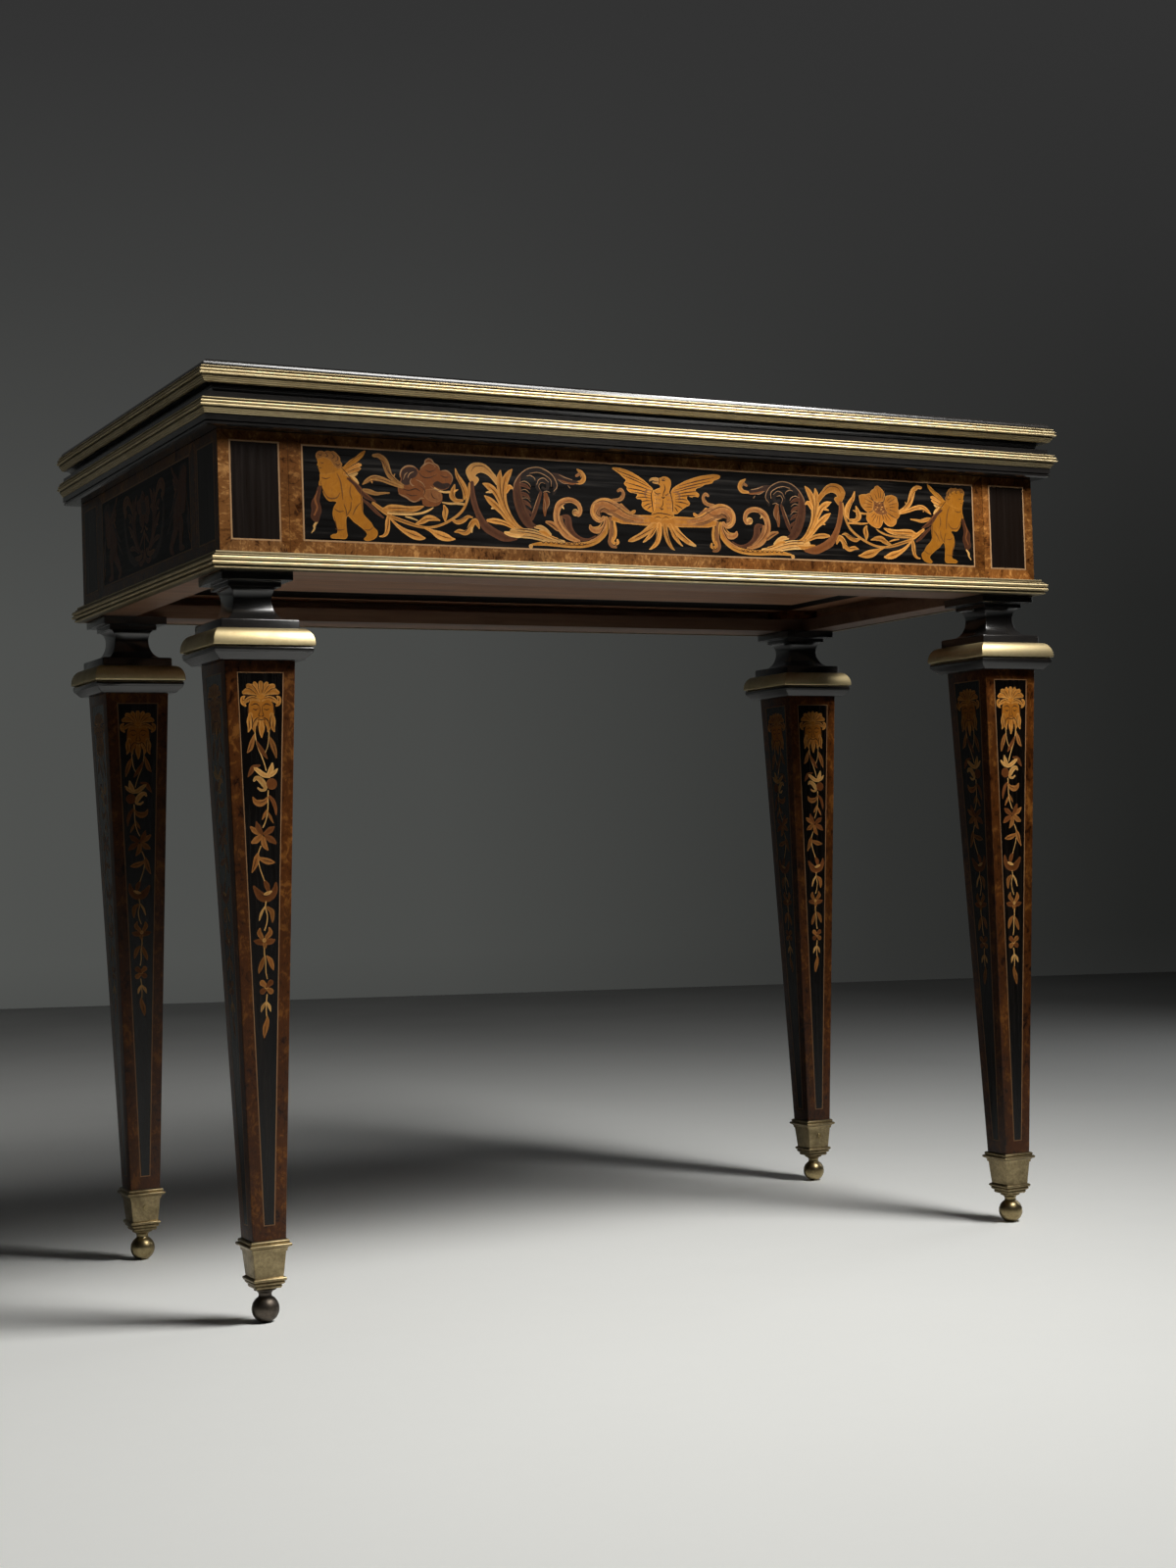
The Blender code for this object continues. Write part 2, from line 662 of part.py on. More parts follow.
def notched_outline(low_x, high_x, reach_y):
    """Board between the posts' inner corners, with a notch wherever it reaches a post."""
    post_x = POST_INNER_X - FIT
    post_y = POST_INNER_Y - FIT
    outline = []
    for x, sign_y in ((low_x, -1), (high_x, -1), (high_x, 1), (low_x, 1)):
        if abs(x) <= post_x:
            outline.append((x, sign_y * reach_y))
            continue
        notch_x = math.copysign(post_x, x)
        corner = [(x, sign_y * post_y), (notch_x, sign_y * post_y), (notch_x, sign_y * reach_y)]
        if (x > 0) == (sign_y < 0):
            corner.reverse()
        outline += corner
    return outline


def build_bottom_board():
    reach = GROOVE_DEEP - FIT
    outline = notched_outline(-INNER_X - reach, INNER_X + reach, INNER_Y + reach)
    add_piece("bottom_board", prism(outline, BOTTOM_Z, BOTTOM_TOP_Z), "carcass_wood")


def build_well_lining():
    low = BOTTOM_TOP_Z + FIT
    outline = notched_outline(FIT - INNER_X, -DIVIDER_THICK - FIT, INNER_Y - FIT)
    add_piece("well_lining", prism(outline, low, low + LINING_THICK), "lining")


def build_divider():
    """Upright board with a cleat that carries the edge of the pivot board."""
    foot = BOTTOM_TOP_Z + FIT
    ledge = PIVOT_Z - FIT
    cleat = ledge - CLEAT_SIZE
    section = [(-DIVIDER_THICK, foot), (0, foot), (0, cleat), (CLEAT_SIZE, cleat),
               (CLEAT_SIZE, ledge), (0, ledge), (0, PIVOT_TOP_Z), (-DIVIDER_THICK, PIVOT_TOP_Z)]
    half = INNER_Y - FIT
    shape = loft([[(x, y, z) for x, z in section] for y in (-half, half)])
    add_piece("divider", shape, "carcass_wood")


def slot_outline():
    """Quarter-circle slot for the stop peg, round at both ends."""
    half = PEG_RADIUS + PEG_GAP
    steps = ROUND_SEGMENTS
    outline = []
    for radius, start, end in ((PEG_CIRCLE + half, 0, SWIVEL_RANGE), (PEG_CIRCLE - half, SWIVEL_RANGE, 0)):
        for step in range(steps + 1):
            turn = PEG_REST_ANGLE + start + (end - start) * step / steps
            outline.append((PIVOT_AT + radius * math.cos(turn), PIVOT_AT + radius * math.sin(turn)))
        finish = PEG_REST_ANGLE + end
        centre_x = PIVOT_AT + PEG_CIRCLE * math.cos(finish)
        centre_y = PIVOT_AT + PEG_CIRCLE * math.sin(finish)
        begin = finish if end else finish + math.pi
        for step in range(1, QUARTER_STEPS + 1):
            turn = begin + math.pi * step / (QUARTER_STEPS + 1)
            outline.append((centre_x + half * math.cos(turn), centre_y + half * math.sin(turn)))
    return outline


def build_pivot_board():
    outline = notched_outline(FIT, INNER_X - FIT, INNER_Y - FIT)
    board = add_piece("pivot_board", prism(outline, PIVOT_Z, PIVOT_TOP_Z), "carcass_wood")
    low = PIVOT_Z - OVERRUN
    high = PIVOT_TOP_Z + OVERRUN
    bolt_hole = cylinder((PIVOT_AT, PIVOT_AT), SHANK_RADIUS + FIT, low, high, ROUND_SEGMENTS)
    cut(board, [bolt_hole, prism(slot_outline(), low, high)])


def at_pivot(shape):
    return moved(shape, Matrix.Translation((PIVOT_AT, PIVOT_AT, 0)))


def build_swivel(swivel):
    washer_top = PIVOT_Z - FIT
    washer_foot = washer_top - WASHER_THICK
    nut_top = washer_foot - FIT
    tail = nut_top - NUT_TALL - BOLT_TAIL
    bolt = turned([(THREAD_RADIUS, tail), (THREAD_RADIUS, PIVOT_Z), (SHANK_RADIUS, PIVOT_Z),
                   (SHANK_RADIUS, LOWER_Z), (FLANGE_RADIUS, LOWER_Z),
                   (FLANGE_RADIUS, LOWER_Z + FLANGE_THICK)], ROUND_SEGMENTS)
    add_piece("swivel_bolt", at_pivot(bolt), "iron", SWIVEL_ORIGIN, swivel, True)
    hole = THREAD_RADIUS + FIT
    washer = turned_ring([(hole, washer_foot), (WASHER_RADIUS, washer_foot),
                          (WASHER_RADIUS, washer_top), (hole, washer_top)], ROUND_SEGMENTS)
    add_piece("swivel_washer", at_pivot(washer), "iron", SWIVEL_ORIGIN, swivel, True)
    nut_foot = nut_top - NUT_TALL
    hexagon = turned([(NUT_RADIUS, nut_foot), (NUT_RADIUS, nut_top)], NUT_SIDES)
    nut = add_piece("swivel_nut", at_pivot(hexagon), "iron", SWIVEL_ORIGIN, swivel)
    cut(nut, [cylinder((PIVOT_AT, PIVOT_AT), hole, nut_foot - OVERRUN, nut_top + OVERRUN, ROUND_SEGMENTS)])


def peg_place():
    across = PEG_CIRCLE * math.cos(PEG_REST_ANGLE)
    along = PEG_CIRCLE * math.sin(PEG_REST_ANGLE)
    return PIVOT_AT + across, PIVOT_AT + along


def build_stop_peg(swivel):
    shape = cylinder(peg_place(), PEG_RADIUS, PIVOT_Z + PEG_SHORT_OF_BOARD, LOWER_Z + PEG_IN_LEAF,
                     ROUND_SEGMENTS)
    add_piece("stop_peg", shape, "carcass_wood", SWIVEL_ORIGIN, swivel, True)


def hinge_plate_box(middle, upper):
    low = UPPER_Z if upper else LOWER_TOP_Z - HINGE_PLATE
    half = HINGE_WIDTH / 2
    back = HINGE_Y - HINGE_RADIUS - FIT
    return box((middle - half, HINGE_Y - HINGE_DEPTH, low), (middle + half, back, low + HINGE_PLATE))


def knuckle_spans(upper):
    """Stretches along X of one hinge's knuckles, from the middle of the hinge."""
    half = HINGE_WIDTH / 2
    joint = HINGE_WIDTH / 6
    if upper:
        return [(FIT / 2 - joint, joint - FIT / 2)]
    return [(-half, -joint - FIT / 2), (joint + FIT / 2, half)]


def build_hinge_plate(name, middle, upper, origin, parent):
    """Let-in plate with tabs to its knuckles and the bore of the pin."""
    plate = add_piece(name, hinge_plate_box(middle, upper), "aged_brass", origin, parent)
    low = UPPER_Z if upper else LOWER_TOP_Z - HINGE_PLATE
    tabs = []
    knuckles = []
    for start, end in knuckle_spans(upper):
        left = middle + start
        right = middle + end
        tab_front = HINGE_Y - HINGE_RADIUS - 2 * OVERRUN
        tabs.append(box((left, tab_front, low), (right, HINGE_Y, low + HINGE_PLATE)))
        knuckles.append(rod_along_x(left, right, HINGE_Y, HINGE_Z, HINGE_RADIUS, ROUND_SEGMENTS))
    fuse(plate, tabs)
    fuse(plate, knuckles)
    half = HINGE_WIDTH / 2 + OVERRUN
    cut(plate, [rod_along_x(middle - half, middle + half, HINGE_Y, HINGE_Z, HINGE_PIN_RADIUS + FIT)])


def build_hinge_pin(name, middle, swivel):
    half = HINGE_WIDTH / 2
    shape = rod_along_x(middle - half, middle + half, HINGE_Y, HINGE_Z, HINGE_PIN_RADIUS)
    add_piece(name, shape, "iron", SWIVEL_ORIGIN, swivel, True)


def add_leaf(name, levels, origin, parent):
    """Board with a moulded edge from (inset, level) pairs, sawn off straight at the back."""
    rings = []
    for inset, z in levels:
        ring = rectangle_ring(TOP_X - inset, TOP_Y - inset, z)
        rings.append([(x, y if y < 0 else y + COVE_INSET, z) for x, y, z in ring])
    leaf = add_piece(name, loft(rings), "ebonised", origin, parent)
    low = levels[0][1] - OVERRUN
    high = levels[-1][1] + OVERRUN
    cut(leaf, [box((-TOP_X, LEAF_BACK_Y, low), (TOP_X, TOP_Y + COVE_INSET, high))])
    return leaf


def upper_leaf_levels():
    brass_foot = UPPER_TOP_Z - BRASS_RISE - BRASS_TALL
    brass_top = brass_foot + BRASS_TALL
    cove = (COVE_INSET - COVE_LIP_INSET, brass_foot - UPPER_Z)
    levels = [(COVE_LIP_INSET + cove[0] * math.cos(turn), UPPER_Z + cove[1] * math.sin(turn))
              for turn in (math.radians(90) * step / QUARTER_STEPS for step in range(QUARTER_STEPS + 1))]
    levels += [(BRASS_SEAT, brass_foot), (BRASS_SEAT, brass_top)]
    rim = (SLAB_INSET - RIM_INSET, BRASS_RISE)
    levels += [(SLAB_INSET - rim[0] * math.cos(turn), brass_top + rim[1] * math.sin(turn))
               for turn in (math.radians(90) * step / QUARTER_STEPS for step in range(QUARTER_STEPS + 1))]
    return levels


def lower_leaf_levels():
    brass_foot = LOWER_Z + BRASS_RISE
    brass_top = brass_foot + BRASS_TALL
    bead_top = brass_top + BEAD_TALL
    levels = [(OGEE_FOOT_INSET, LOWER_Z), (OGEE_INSET, LOWER_Z + OGEE_FOOT_TALL), (OGEE_INSET, brass_foot),
              (BRASS_SEAT, brass_foot), (BRASS_SEAT, brass_top), (BEAD_INSET, brass_top)]
    levels += [(BEAD_INSET, bead_top), (COVE_LIP_INSET, bead_top), (COVE_INSET, LOWER_TOP_Z)]
    return levels


def brass_section(foot):
    """Reeded V moulding, as (outward offset from the widest line, level) pairs."""
    low = foot + FIT / 2
    tall = BRASS_TALL - FIT
    points = [(FIT - BRASS_SEAT, low)]
    total = REED_COUNT * REED_STEPS
    for step in range(total + 1):
        share = step / total
        edge_inset = BRASS_FOOT_INSET if share < 0.5 else BRASS_TOP_INSET
        swell = math.cos(math.pi * (share - 0.5)) ** 0.75 if 0 < step < total else 0.0
        reed = abs(math.sin(math.pi * step / REED_STEPS))
        offset = -edge_inset * (1 - swell) - REED_DEPTH * (1 - reed) * swell
        points.append((offset, low + tall * share))
    points.append((FIT - BRASS_SEAT, low + tall))
    return points


def build_leaf_brass(name, foot, origin, parent):
    band = three_sided_band(brass_section(foot), TOP_X, TOP_Y, LEAF_BACK_Y)
    add_piece(name, band, "gilt_brass", origin, parent, True)


def baize_box(low, high, grow):
    half = TOP_X - BAIZE_MARGIN + grow
    front = BAIZE_MARGIN - TOP_Y - grow
    return box((-half, front, low), (half, LEAF_BACK_Y - BAIZE_BACK_MARGIN + grow, high))


def hinge_pockets(upper):
    """Let-in beds of the plates, and the wider room round the barrels."""
    half = HINGE_WIDTH / 2 + FIT
    bed = HINGE_PLATE + FIT
    round_room = HINGE_RADIUS + 2 * FIT
    bed_front = HINGE_Y - HINGE_DEPTH - FIT
    room_front = HINGE_Y - round_room
    back = LEAF_BACK_Y + OVERRUN
    deep = 2 * OVERRUN
    beds = []
    rooms = []
    for _, middle in HINGES:
        left = middle - half
        right = middle + half
        if upper:
            beds.append(box((left, bed_front, UPPER_Z - OVERRUN), (right, back, UPPER_Z + bed)))
            rooms.append(box((left, room_front, UPPER_Z - deep), (right, back + deep, HINGE_Z + round_room)))
        else:
            top = LOWER_TOP_Z
            beds.append(box((left, bed_front, top - bed), (right, back, top + OVERRUN)))
            rooms.append(box((left, room_front, HINGE_Z - round_room), (right, back + deep, top + deep)))
    return beds, rooms


def build_upper_leaf(fold):
    leaf = add_leaf("upper_leaf", upper_leaf_levels(), FOLD_ORIGIN, fold)
    beds, rooms = hinge_pockets(True)
    cut(leaf, beds + [baize_box(UPPER_Z - OVERRUN, UPPER_Z + BAIZE_RECESS, FIT)])
    cut(leaf, rooms)
    baize = baize_box(UPPER_Z, UPPER_Z + BAIZE_THICK, 0.0)
    add_piece("upper_baize", baize, "baize", FOLD_ORIGIN, fold)
    build_leaf_brass("upper_leaf_brass", UPPER_TOP_Z - BRASS_RISE - BRASS_TALL, FOLD_ORIGIN, fold)
    for side, middle in HINGES:
        build_hinge_plate("hinge_plate_upper_" + side, middle, True, FOLD_ORIGIN, fold)


def build_lower_leaf(swivel):
    leaf = add_leaf("lower_leaf", lower_leaf_levels(), SWIVEL_ORIGIN, swivel)
    beds, rooms = hinge_pockets(False)
    flange = cylinder((PIVOT_AT, PIVOT_AT), FLANGE_RADIUS + FIT, LOWER_Z - OVERRUN,
                      LOWER_Z + FLANGE_THICK + FIT, ROUND_SEGMENTS)
    peg = cylinder(peg_place(), PEG_RADIUS + FIT, LOWER_Z - OVERRUN, LOWER_Z + PEG_IN_LEAF + FIT,
                   ROUND_SEGMENTS)
    recess = baize_box(LOWER_TOP_Z - BAIZE_RECESS, LOWER_TOP_Z + OVERRUN, FIT)
    cut(leaf, beds + [recess, flange, peg])
    cut(leaf, rooms)
    baize = baize_box(LOWER_TOP_Z - BAIZE_THICK, LOWER_TOP_Z, 0.0)
    add_piece("lower_baize", baize, "baize", SWIVEL_ORIGIN, swivel)
    build_leaf_brass("lower_leaf_brass", LOWER_Z + BRASS_RISE, SWIVEL_ORIGIN, swivel)
    for side, middle in HINGES:
        build_hinge_plate("hinge_plate_lower_" + side, middle, False, SWIVEL_ORIGIN, swivel)
        build_hinge_pin("hinge_pin_" + side, middle, swivel)


def add_axis(name, place, parent=None):
    axis = bpy.data.objects.new(name, None)
    bpy.context.collection.objects.link(axis)
    axis.location = place
    if parent is not None:
        axis.parent = parent
        axis.location = place - parent.matrix_world.translation
    bpy.context.view_layer.update()
    return axis


def build_legs():
    build_feet()
    build_sabots()
    build_sabot_screws()
    build_shafts()
    build_capitals()
    build_collars()


def build_case():
    build_base_frame()
    build_base_bead()
    build_posts()
    build_rails()
    build_marquetry_panels()
    build_cap_frame()
    build_bottom_board()
    build_well_lining()
    build_divider()
    build_pivot_board()


def build_top():
    swivel = add_axis("swivel_axis", SWIVEL_ORIGIN)
    fold = add_axis("fold_axis", FOLD_ORIGIN, swivel)
    build_lower_leaf(swivel)
    build_swivel(swivel)
    build_stop_peg(swivel)
    build_upper_leaf(fold)


clear_scene()
build_legs()
build_case()
build_top()
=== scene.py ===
"""Looks of a marquetry games table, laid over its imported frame.

Metres, +Z up, in the frame of the CAD. The inlay is drawn in millimetres.
"""

import math
import random

import bmesh
import bpy
from mathutils import Matrix, Vector
from mathutils.geometry import tessellate_polygon


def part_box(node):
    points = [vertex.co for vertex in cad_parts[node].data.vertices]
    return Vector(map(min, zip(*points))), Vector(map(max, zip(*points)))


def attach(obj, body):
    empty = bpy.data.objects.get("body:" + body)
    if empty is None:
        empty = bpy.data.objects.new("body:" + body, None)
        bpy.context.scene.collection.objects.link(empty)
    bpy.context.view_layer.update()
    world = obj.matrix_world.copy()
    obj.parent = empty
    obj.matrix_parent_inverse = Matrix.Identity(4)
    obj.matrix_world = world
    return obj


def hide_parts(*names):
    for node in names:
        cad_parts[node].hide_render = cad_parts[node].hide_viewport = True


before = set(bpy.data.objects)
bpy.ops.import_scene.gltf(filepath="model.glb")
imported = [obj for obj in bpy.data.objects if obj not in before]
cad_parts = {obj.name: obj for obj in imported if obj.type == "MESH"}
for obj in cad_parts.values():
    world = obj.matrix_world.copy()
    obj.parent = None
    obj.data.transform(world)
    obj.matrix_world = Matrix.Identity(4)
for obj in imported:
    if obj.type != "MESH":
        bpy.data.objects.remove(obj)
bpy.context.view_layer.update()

MM = 0.001
CORNERS = {"front_left": (-1, -1), "front_right": (1, -1), "back_right": (1, 1), "back_left": (-1, 1)}
SIDES = {"front": (0, -1, 0), "right": (1, 0, 0), "back": (0, 1, 0), "left": (-1, 0, 0)}

# Camera, worked out from the photograph
CAMERA_PLACE = Vector((-0.98735, -1.9003, 0.375875))
CAMERA_AZIMUTH = math.radians(-27.97)
CAMERA_ELEVATION = math.radians(-1.66)
CAMERA_ROLL = math.radians(-1.828)
CAMERA_LENS = 50.87
CAMERA_SENSOR = 36.0
CAMERA_REACH = (0.05, 60)
VIEW_AHEAD = Vector((-math.sin(CAMERA_AZIMUTH), math.cos(CAMERA_AZIMUTH), 0))
VIEW_RIGHT = Vector((math.cos(CAMERA_AZIMUTH), math.sin(CAMERA_AZIMUTH), 0))

# Stage
FLOOR_REACH = 24
WALL_DISTANCE = 5.88
WALL_HALF = 9
WALL_TALL = 7
LAMP_COLOUR = (1.0, 0.985, 0.955)

# Plan of the table, from the frame
TOP_LOW, TOP_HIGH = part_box("upper_leaf_brass")
TOP_X = TOP_HIGH.x
TOP_Y = -TOP_LOW.y
LEAF_BACK = TOP_HIGH.y
POST_LOW, POST_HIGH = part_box("front_right_corner_post")
CASE_X = POST_HIGH.x
CASE_Y = -POST_LOW.y
FRIEZE_LOW = POST_LOW.z
FRIEZE_HIGH = POST_HIGH.z
POST_INNER = 0.3535
SIDE_POST_INNER = 0.1441

# Levels and half widths of the tapered leg shafts
SHAFT_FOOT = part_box("front_left_sabot")[1].z + 0.0003
SHAFT_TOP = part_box("front_left_capital")[0].z - 0.0003
SHAFT_FOOT_HALF = 0.0143
SHAFT_TOP_HALF = 0.0300
SHAFT_EASE = 0.0007
SHAFT_STEPS = 8
SHAFT_TINT = 0.35

# Shoe screw: how far out and how high it sits, its radius, and the slope and turn it lies at
SHOE_SCREW = (0.01337, 0.0500)
SHOE_SCREW_RADIUS = 0.0030
SHOE_SLOPE = math.atan((0.0141 - 0.0122) / 0.0208)
SHOE_SCREW_TURN = math.radians(38)

# Mouldings: steps of a round corner and of a reed, the least turn in degrees that is eased, the reach and
# depth of a full hollow, which takes full painted shade, and the painted shade on the lower cove of a leaf's
# brass
CORNER_STEPS = 3
REED_STEPS = 5
EASED_TURN = 24
HOLLOW_REACH = 0.0017
HOLLOW_DEPTH = 0.0025
COVE_SHARE = 0.395
COVE_SHADE = 0.42

# Inlay, in millimetres: thickness of veneer, lines and drawn shapes, crown of a stroke, the lifts that keep
# overlaps apart, top of an engraved line, rim of a patch, least width of a stroke
INLAY_BASE = 0.10
VENEER_RISE = 0.10
LINE_RISE = 0.12
INLAY_RISE = 0.05
CROWN = 0.02
STAGGER = 0.006
STAGGER_STEPS = 8
ENGRAVED_TOP = 0.215
PATCH_RIM = 0.9
LEAST_WIDTH = 0.12

# Borders, in millimetres from the edges and corner posts, with their levels, gaps and lines
LINE = 1.3
LINE_GAP = 0.12
FIELD_GAP = 0.05
FRIEZE = (FRIEZE_LOW / MM + 0.2, FRIEZE_HIGH / MM - 0.1)
PANEL_BORDER = 11.5
PANEL_LEVELS = (633.8, 713.3)
POST_LEVELS = (632.8, 713.9)
POST_GAP = 0.15
POST_EDGE = 0.05
POST_BORDERS = (7.4, 9.6)
REDDER_FROM = 0.16
REDDER_RISE = 0.15
REDDER_TINT = 0.52
LEAST_TINT = 0.02
TOP_BORDER = (26, 58)
TOP_LINE = 1.2
TOP_EDGE = (1.4, 0.1)
HINGE_MARGIN = 31
LEG_LEVELS = (79.5, 526.5)
LEG_BORDER = 9.8
LEG_LINE = 0.85

# Middle of the large flower, and how far a mirrored point moves in, by its distance from the middle
BLOSSOM = (232.4, 687.4)
RIGHT_SHIFT = ((0, 1.2), (40, 5.0), (90, 5.0), (125, 3.6), (165, 3.8), (195, 3.0), (225, 0.6), (260, 0.0),
               (400, 0.0))

# Cloth and screws: softened edge, gap at the posts, half a slot in degrees, rise of a head, and places
CLOTH_EASE = 0.00025
LINING_GAP = 0.0003
HEAD_SLOT = 9
HEAD_RISE = 0.00022
HINGE_EDGE = 0.003
HINGE_SCREWS = ((0.18, 0.26), (0.50, 0.62), (0.82, 0.26))
FLANGE_SCREWS = 0.023


# camera and stage

def add_object(name, data):
    thing = bpy.data.objects.new(name, data)
    bpy.context.scene.collection.objects.link(thing)
    return thing


def aim_camera():
    data = bpy.data.cameras.new("camera")
    camera = add_object("camera", data)
    az, el = CAMERA_AZIMUTH, CAMERA_ELEVATION
    back = Vector((math.sin(az) * math.cos(el), -math.cos(az) * math.cos(el), math.sin(el)))
    right = Vector((0, 0, 1)).cross(back).normalized()
    up = back.cross(right)
    c, s = math.cos(CAMERA_ROLL), math.sin(CAMERA_ROLL)
    rotation = Matrix((c * right + s * up, -s * right + c * up, back)).transposed()
    camera.matrix_world = Matrix.Translation(CAMERA_PLACE) @ rotation.to_4x4()
    data.sensor_width = CAMERA_SENSOR
    data.sensor_fit = "AUTO"
    data.lens = CAMERA_LENS
    data.clip_start, data.clip_end = CAMERA_REACH
    bpy.context.scene.camera = camera


class Finish:
    """A node material in the making."""

    def __init__(self, name, roughness=0.4, metallic=0.0, coat=0.0, coat_roughness=0.12, sheen=0.0,
                 specular=0.5):
        self.material = bpy.data.materials.new(name)
        self.material.use_nodes = True
        self.tree = self.material.node_tree
        self.shader = self.tree.nodes["Principled BSDF"]
        for key, value in (("Roughness", roughness), ("Metallic", metallic), ("Coat Weight", coat),
                           ("Coat Roughness", coat_roughness), ("Sheen Weight", sheen),
                           ("Specular IOR Level", specular)):
            self.shader.inputs[key].default_value = value

    def node(self, kind, inputs=None, **settings):
        node = self.tree.nodes.new("ShaderNode" + kind)
        for key, value in settings.items():
            setattr(node, key, value)
        for key, value in (inputs or {}).items():
            self.put(node.inputs[key], value)
        return node

    def put(self, socket, value):
        if isinstance(value, bpy.types.NodeSocket):
            self.tree.links.new(value, socket)
        else:
            socket.default_value = value

    def place(self, scale=(1, 1, 1)):
        """Object coordinates, scaled by axis."""
        coords = self.node("TexCoord").outputs["Object"]
        return self.node("Mapping", {"Vector": coords, "Scale": scale}).outputs["Vector"]

    def drawn_out(self, along, share):
        """Object coordinates scaled along one axis, so that a noise is drawn out that way."""
        return self.place(tuple(share if axis == along else 1 for axis in "xyz"))

    def axes(self):
        return self.node("SeparateXYZ", {"Vector": self.place()}).outputs

    def seen_along(self, direction):
        """Distance from the camera along a level direction."""
        coords = self.node("TexCoord").outputs["Object"]
        dot = self.node("VectorMath", {0: coords, 1: tuple(direction)}, operation="DOT_PRODUCT")
        return self.math("SUBTRACT", dot.outputs["Value"], CAMERA_PLACE.dot(direction))

    def noise(self, vector, scale, detail=4.0, rough=0.55, distortion=0.0):
        return self.node("TexNoise", {"Vector": vector, "Scale": scale, "Detail": detail, "Roughness": rough,
                                      "Distortion": distortion}).outputs["Fac"]

    def ramp(self, factor, stops):
        """Colour ramp from (place, colour) stops, a single number standing for a grey."""
        node = self.node("ValToRGB", {"Fac": factor})
        elements = node.color_ramp.elements
        while len(elements) < len(stops):
            elements.new(0.5)
        for element, (at, colour) in zip(elements, stops):
            element.position = at
            element.color = (*colour, 1) if isinstance(colour, tuple) else (colour, colour, colour, 1)
        return node.outputs["Color"]

    def mix(self, factor, first, second, blend="MIX"):
        node = self.node("Mix", data_type="RGBA", blend_type=blend)
        self.put(node.inputs[0], factor)
        for socket, colour in ((node.inputs[6], first), (node.inputs[7], second)):
            self.put(socket, (*colour, 1) if isinstance(colour, tuple) else colour)
        return node.outputs[2]

    def times(self, colour, other):
        return self.mix(1.0, colour, other, "MULTIPLY")

    def dimmed(self, colour, value):
        """colour times a grey value."""
        return self.times(colour, self.node("CombineColor", {0: value, 1: value, 2: value}).outputs[0])

    def math(self, kind, first, second=0.5):
        return self.node("Math", {0: first, 1: second}, operation=kind).outputs[0]

    def weighed(self, *parts):
        """Sum of (value, share) parts."""
        total = self.math("MULTIPLY", *parts[0])
        for part in parts[1:]:
            total = self.math("ADD", total, self.math("MULTIPLY", *part))
        return total

    def span(self, value, low, high, to_low=0.0, to_high=1.0):
        return self.node("MapRange", {"Value": value, "From Min": low, "From Max": high,
                                      "To Min": to_low, "To Max": to_high}).outputs["Result"]

    def attribute(self, name):
        return self.node("Attribute", attribute_name=name).outputs["Fac"]

    def bump(self, height, strength, distance):
        node = self.node("Bump", {"Height": height, "Strength": strength, "Distance": distance})
        return node.outputs["Normal"]

    def done(self, colour, roughness=None, normal=None):
        for key, value in (("Base Color", colour), ("Roughness", roughness), ("Normal", normal)):
            if value is not None:
                self.put(self.shader.inputs[key], value)
        return self.material


def floor_finish():
    finish = Finish("floor_paint", roughness=0.55, specular=0.35)
    far = finish.span(finish.seen_along(VIEW_AHEAD), 1.0, 6.0)
    # painted light: the floor's colour falls off with distance from the camera, a painted falloff of the
    # lamps' light
    colour = finish.ramp(far, ((0.0, 0.93), (0.40, 0.92), (0.70, 0.88), (1.0, 0.84)))
    mottle = finish.noise(finish.place(), 2.5, 6.0, 0.6)
    colour = finish.mix(finish.span(mottle, 0.3, 0.7, 0.0, 0.07), colour, (0.30, 0.31, 0.32), "MULTIPLY")
    colour = finish.times(colour, (1.035, 1.05, 1.03))
    # the studio floor looks pale but sends little light back up to the table
    bounced = finish.node("LightPath").outputs["Is Diffuse Ray"]
    colour = finish.mix(bounced, colour, (0.17, 0.17, 0.165))
    return finish.done(colour, finish.span(mottle, 0.3, 0.7, 0.45, 0.62))


def backdrop_finish():
    """A wall that glows with a soft painted gradient of light for camera, glossy and transmission rays, and
    sends no light to the table.
    """
    finish = Finish("backdrop_paper", roughness=0.9, specular=0.0)
    # painted light: across its foot the wall runs from bright on the left to dim on the right, and higher up
    # it evens out to a flat grey
    across = finish.span(finish.seen_along(VIEW_RIGHT), -1.6, 1.6)
    low = finish.ramp(across, ((0.0, 0.082), (0.03, 0.080), (0.38, 0.067), (0.516, 0.053), (0.60, 0.044),
                               (0.745, 0.030), (0.955, 0.0165), (1.0, 0.0150)))
    low = finish.times(low, (1.0, 1.04, 0.98))
    coords = finish.node("TexCoord").outputs["Object"]
    height = finish.node("SeparateXYZ", {"Vector": coords}).outputs["Z"]
    share = finish.ramp(finish.span(height, 0.0, 2.8), ((0.0, 0.85), (0.04, 1.0), (0.35, 0.88), (0.53, 0.55),
                                                        (0.70, 0.28), (0.92, 0.04), (1.0, 0.0)))
    colour = finish.mix(share, (0.0325, 0.0325, 0.0325), low)
    path = finish.node("LightPath").outputs
    seen = finish.math("MAXIMUM", path["Is Camera Ray"], path["Is Glossy Ray"])
    seen = finish.math("MAXIMUM", seen, path["Is Transmission Ray"])
    glow = finish.node("Emission", {"Color": colour, "Strength": seen}).outputs["Emission"]
    finish.put(finish.tree.nodes["Material Output"].inputs["Surface"], glow)
    return finish.material


def flat_sheet(name, corners, material):
    mesh = bpy.data.meshes.new(name)
    mesh.from_pydata([tuple(point) for point in corners], [], [(0, 1, 2, 3)])
    mesh.materials.append(material)
    add_object(name, mesh)


def build_stage():
    reach = FLOOR_REACH
    flat_sheet("floor", [(-reach, -reach, 0), (reach, -reach, 0), (reach, reach, 0), (-reach, reach, 0)],
               floor_finish())
    foot = Vector((CAMERA_PLACE.x, CAMERA_PLACE.y, 0)) + WALL_DISTANCE * VIEW_AHEAD
    side = WALL_HALF * VIEW_RIGHT
    rise = Vector((0, 0, WALL_TALL))
    flat_sheet("backdrop", [foot - side, foot + side, foot + side + rise, foot - side + rise],
               backdrop_finish())


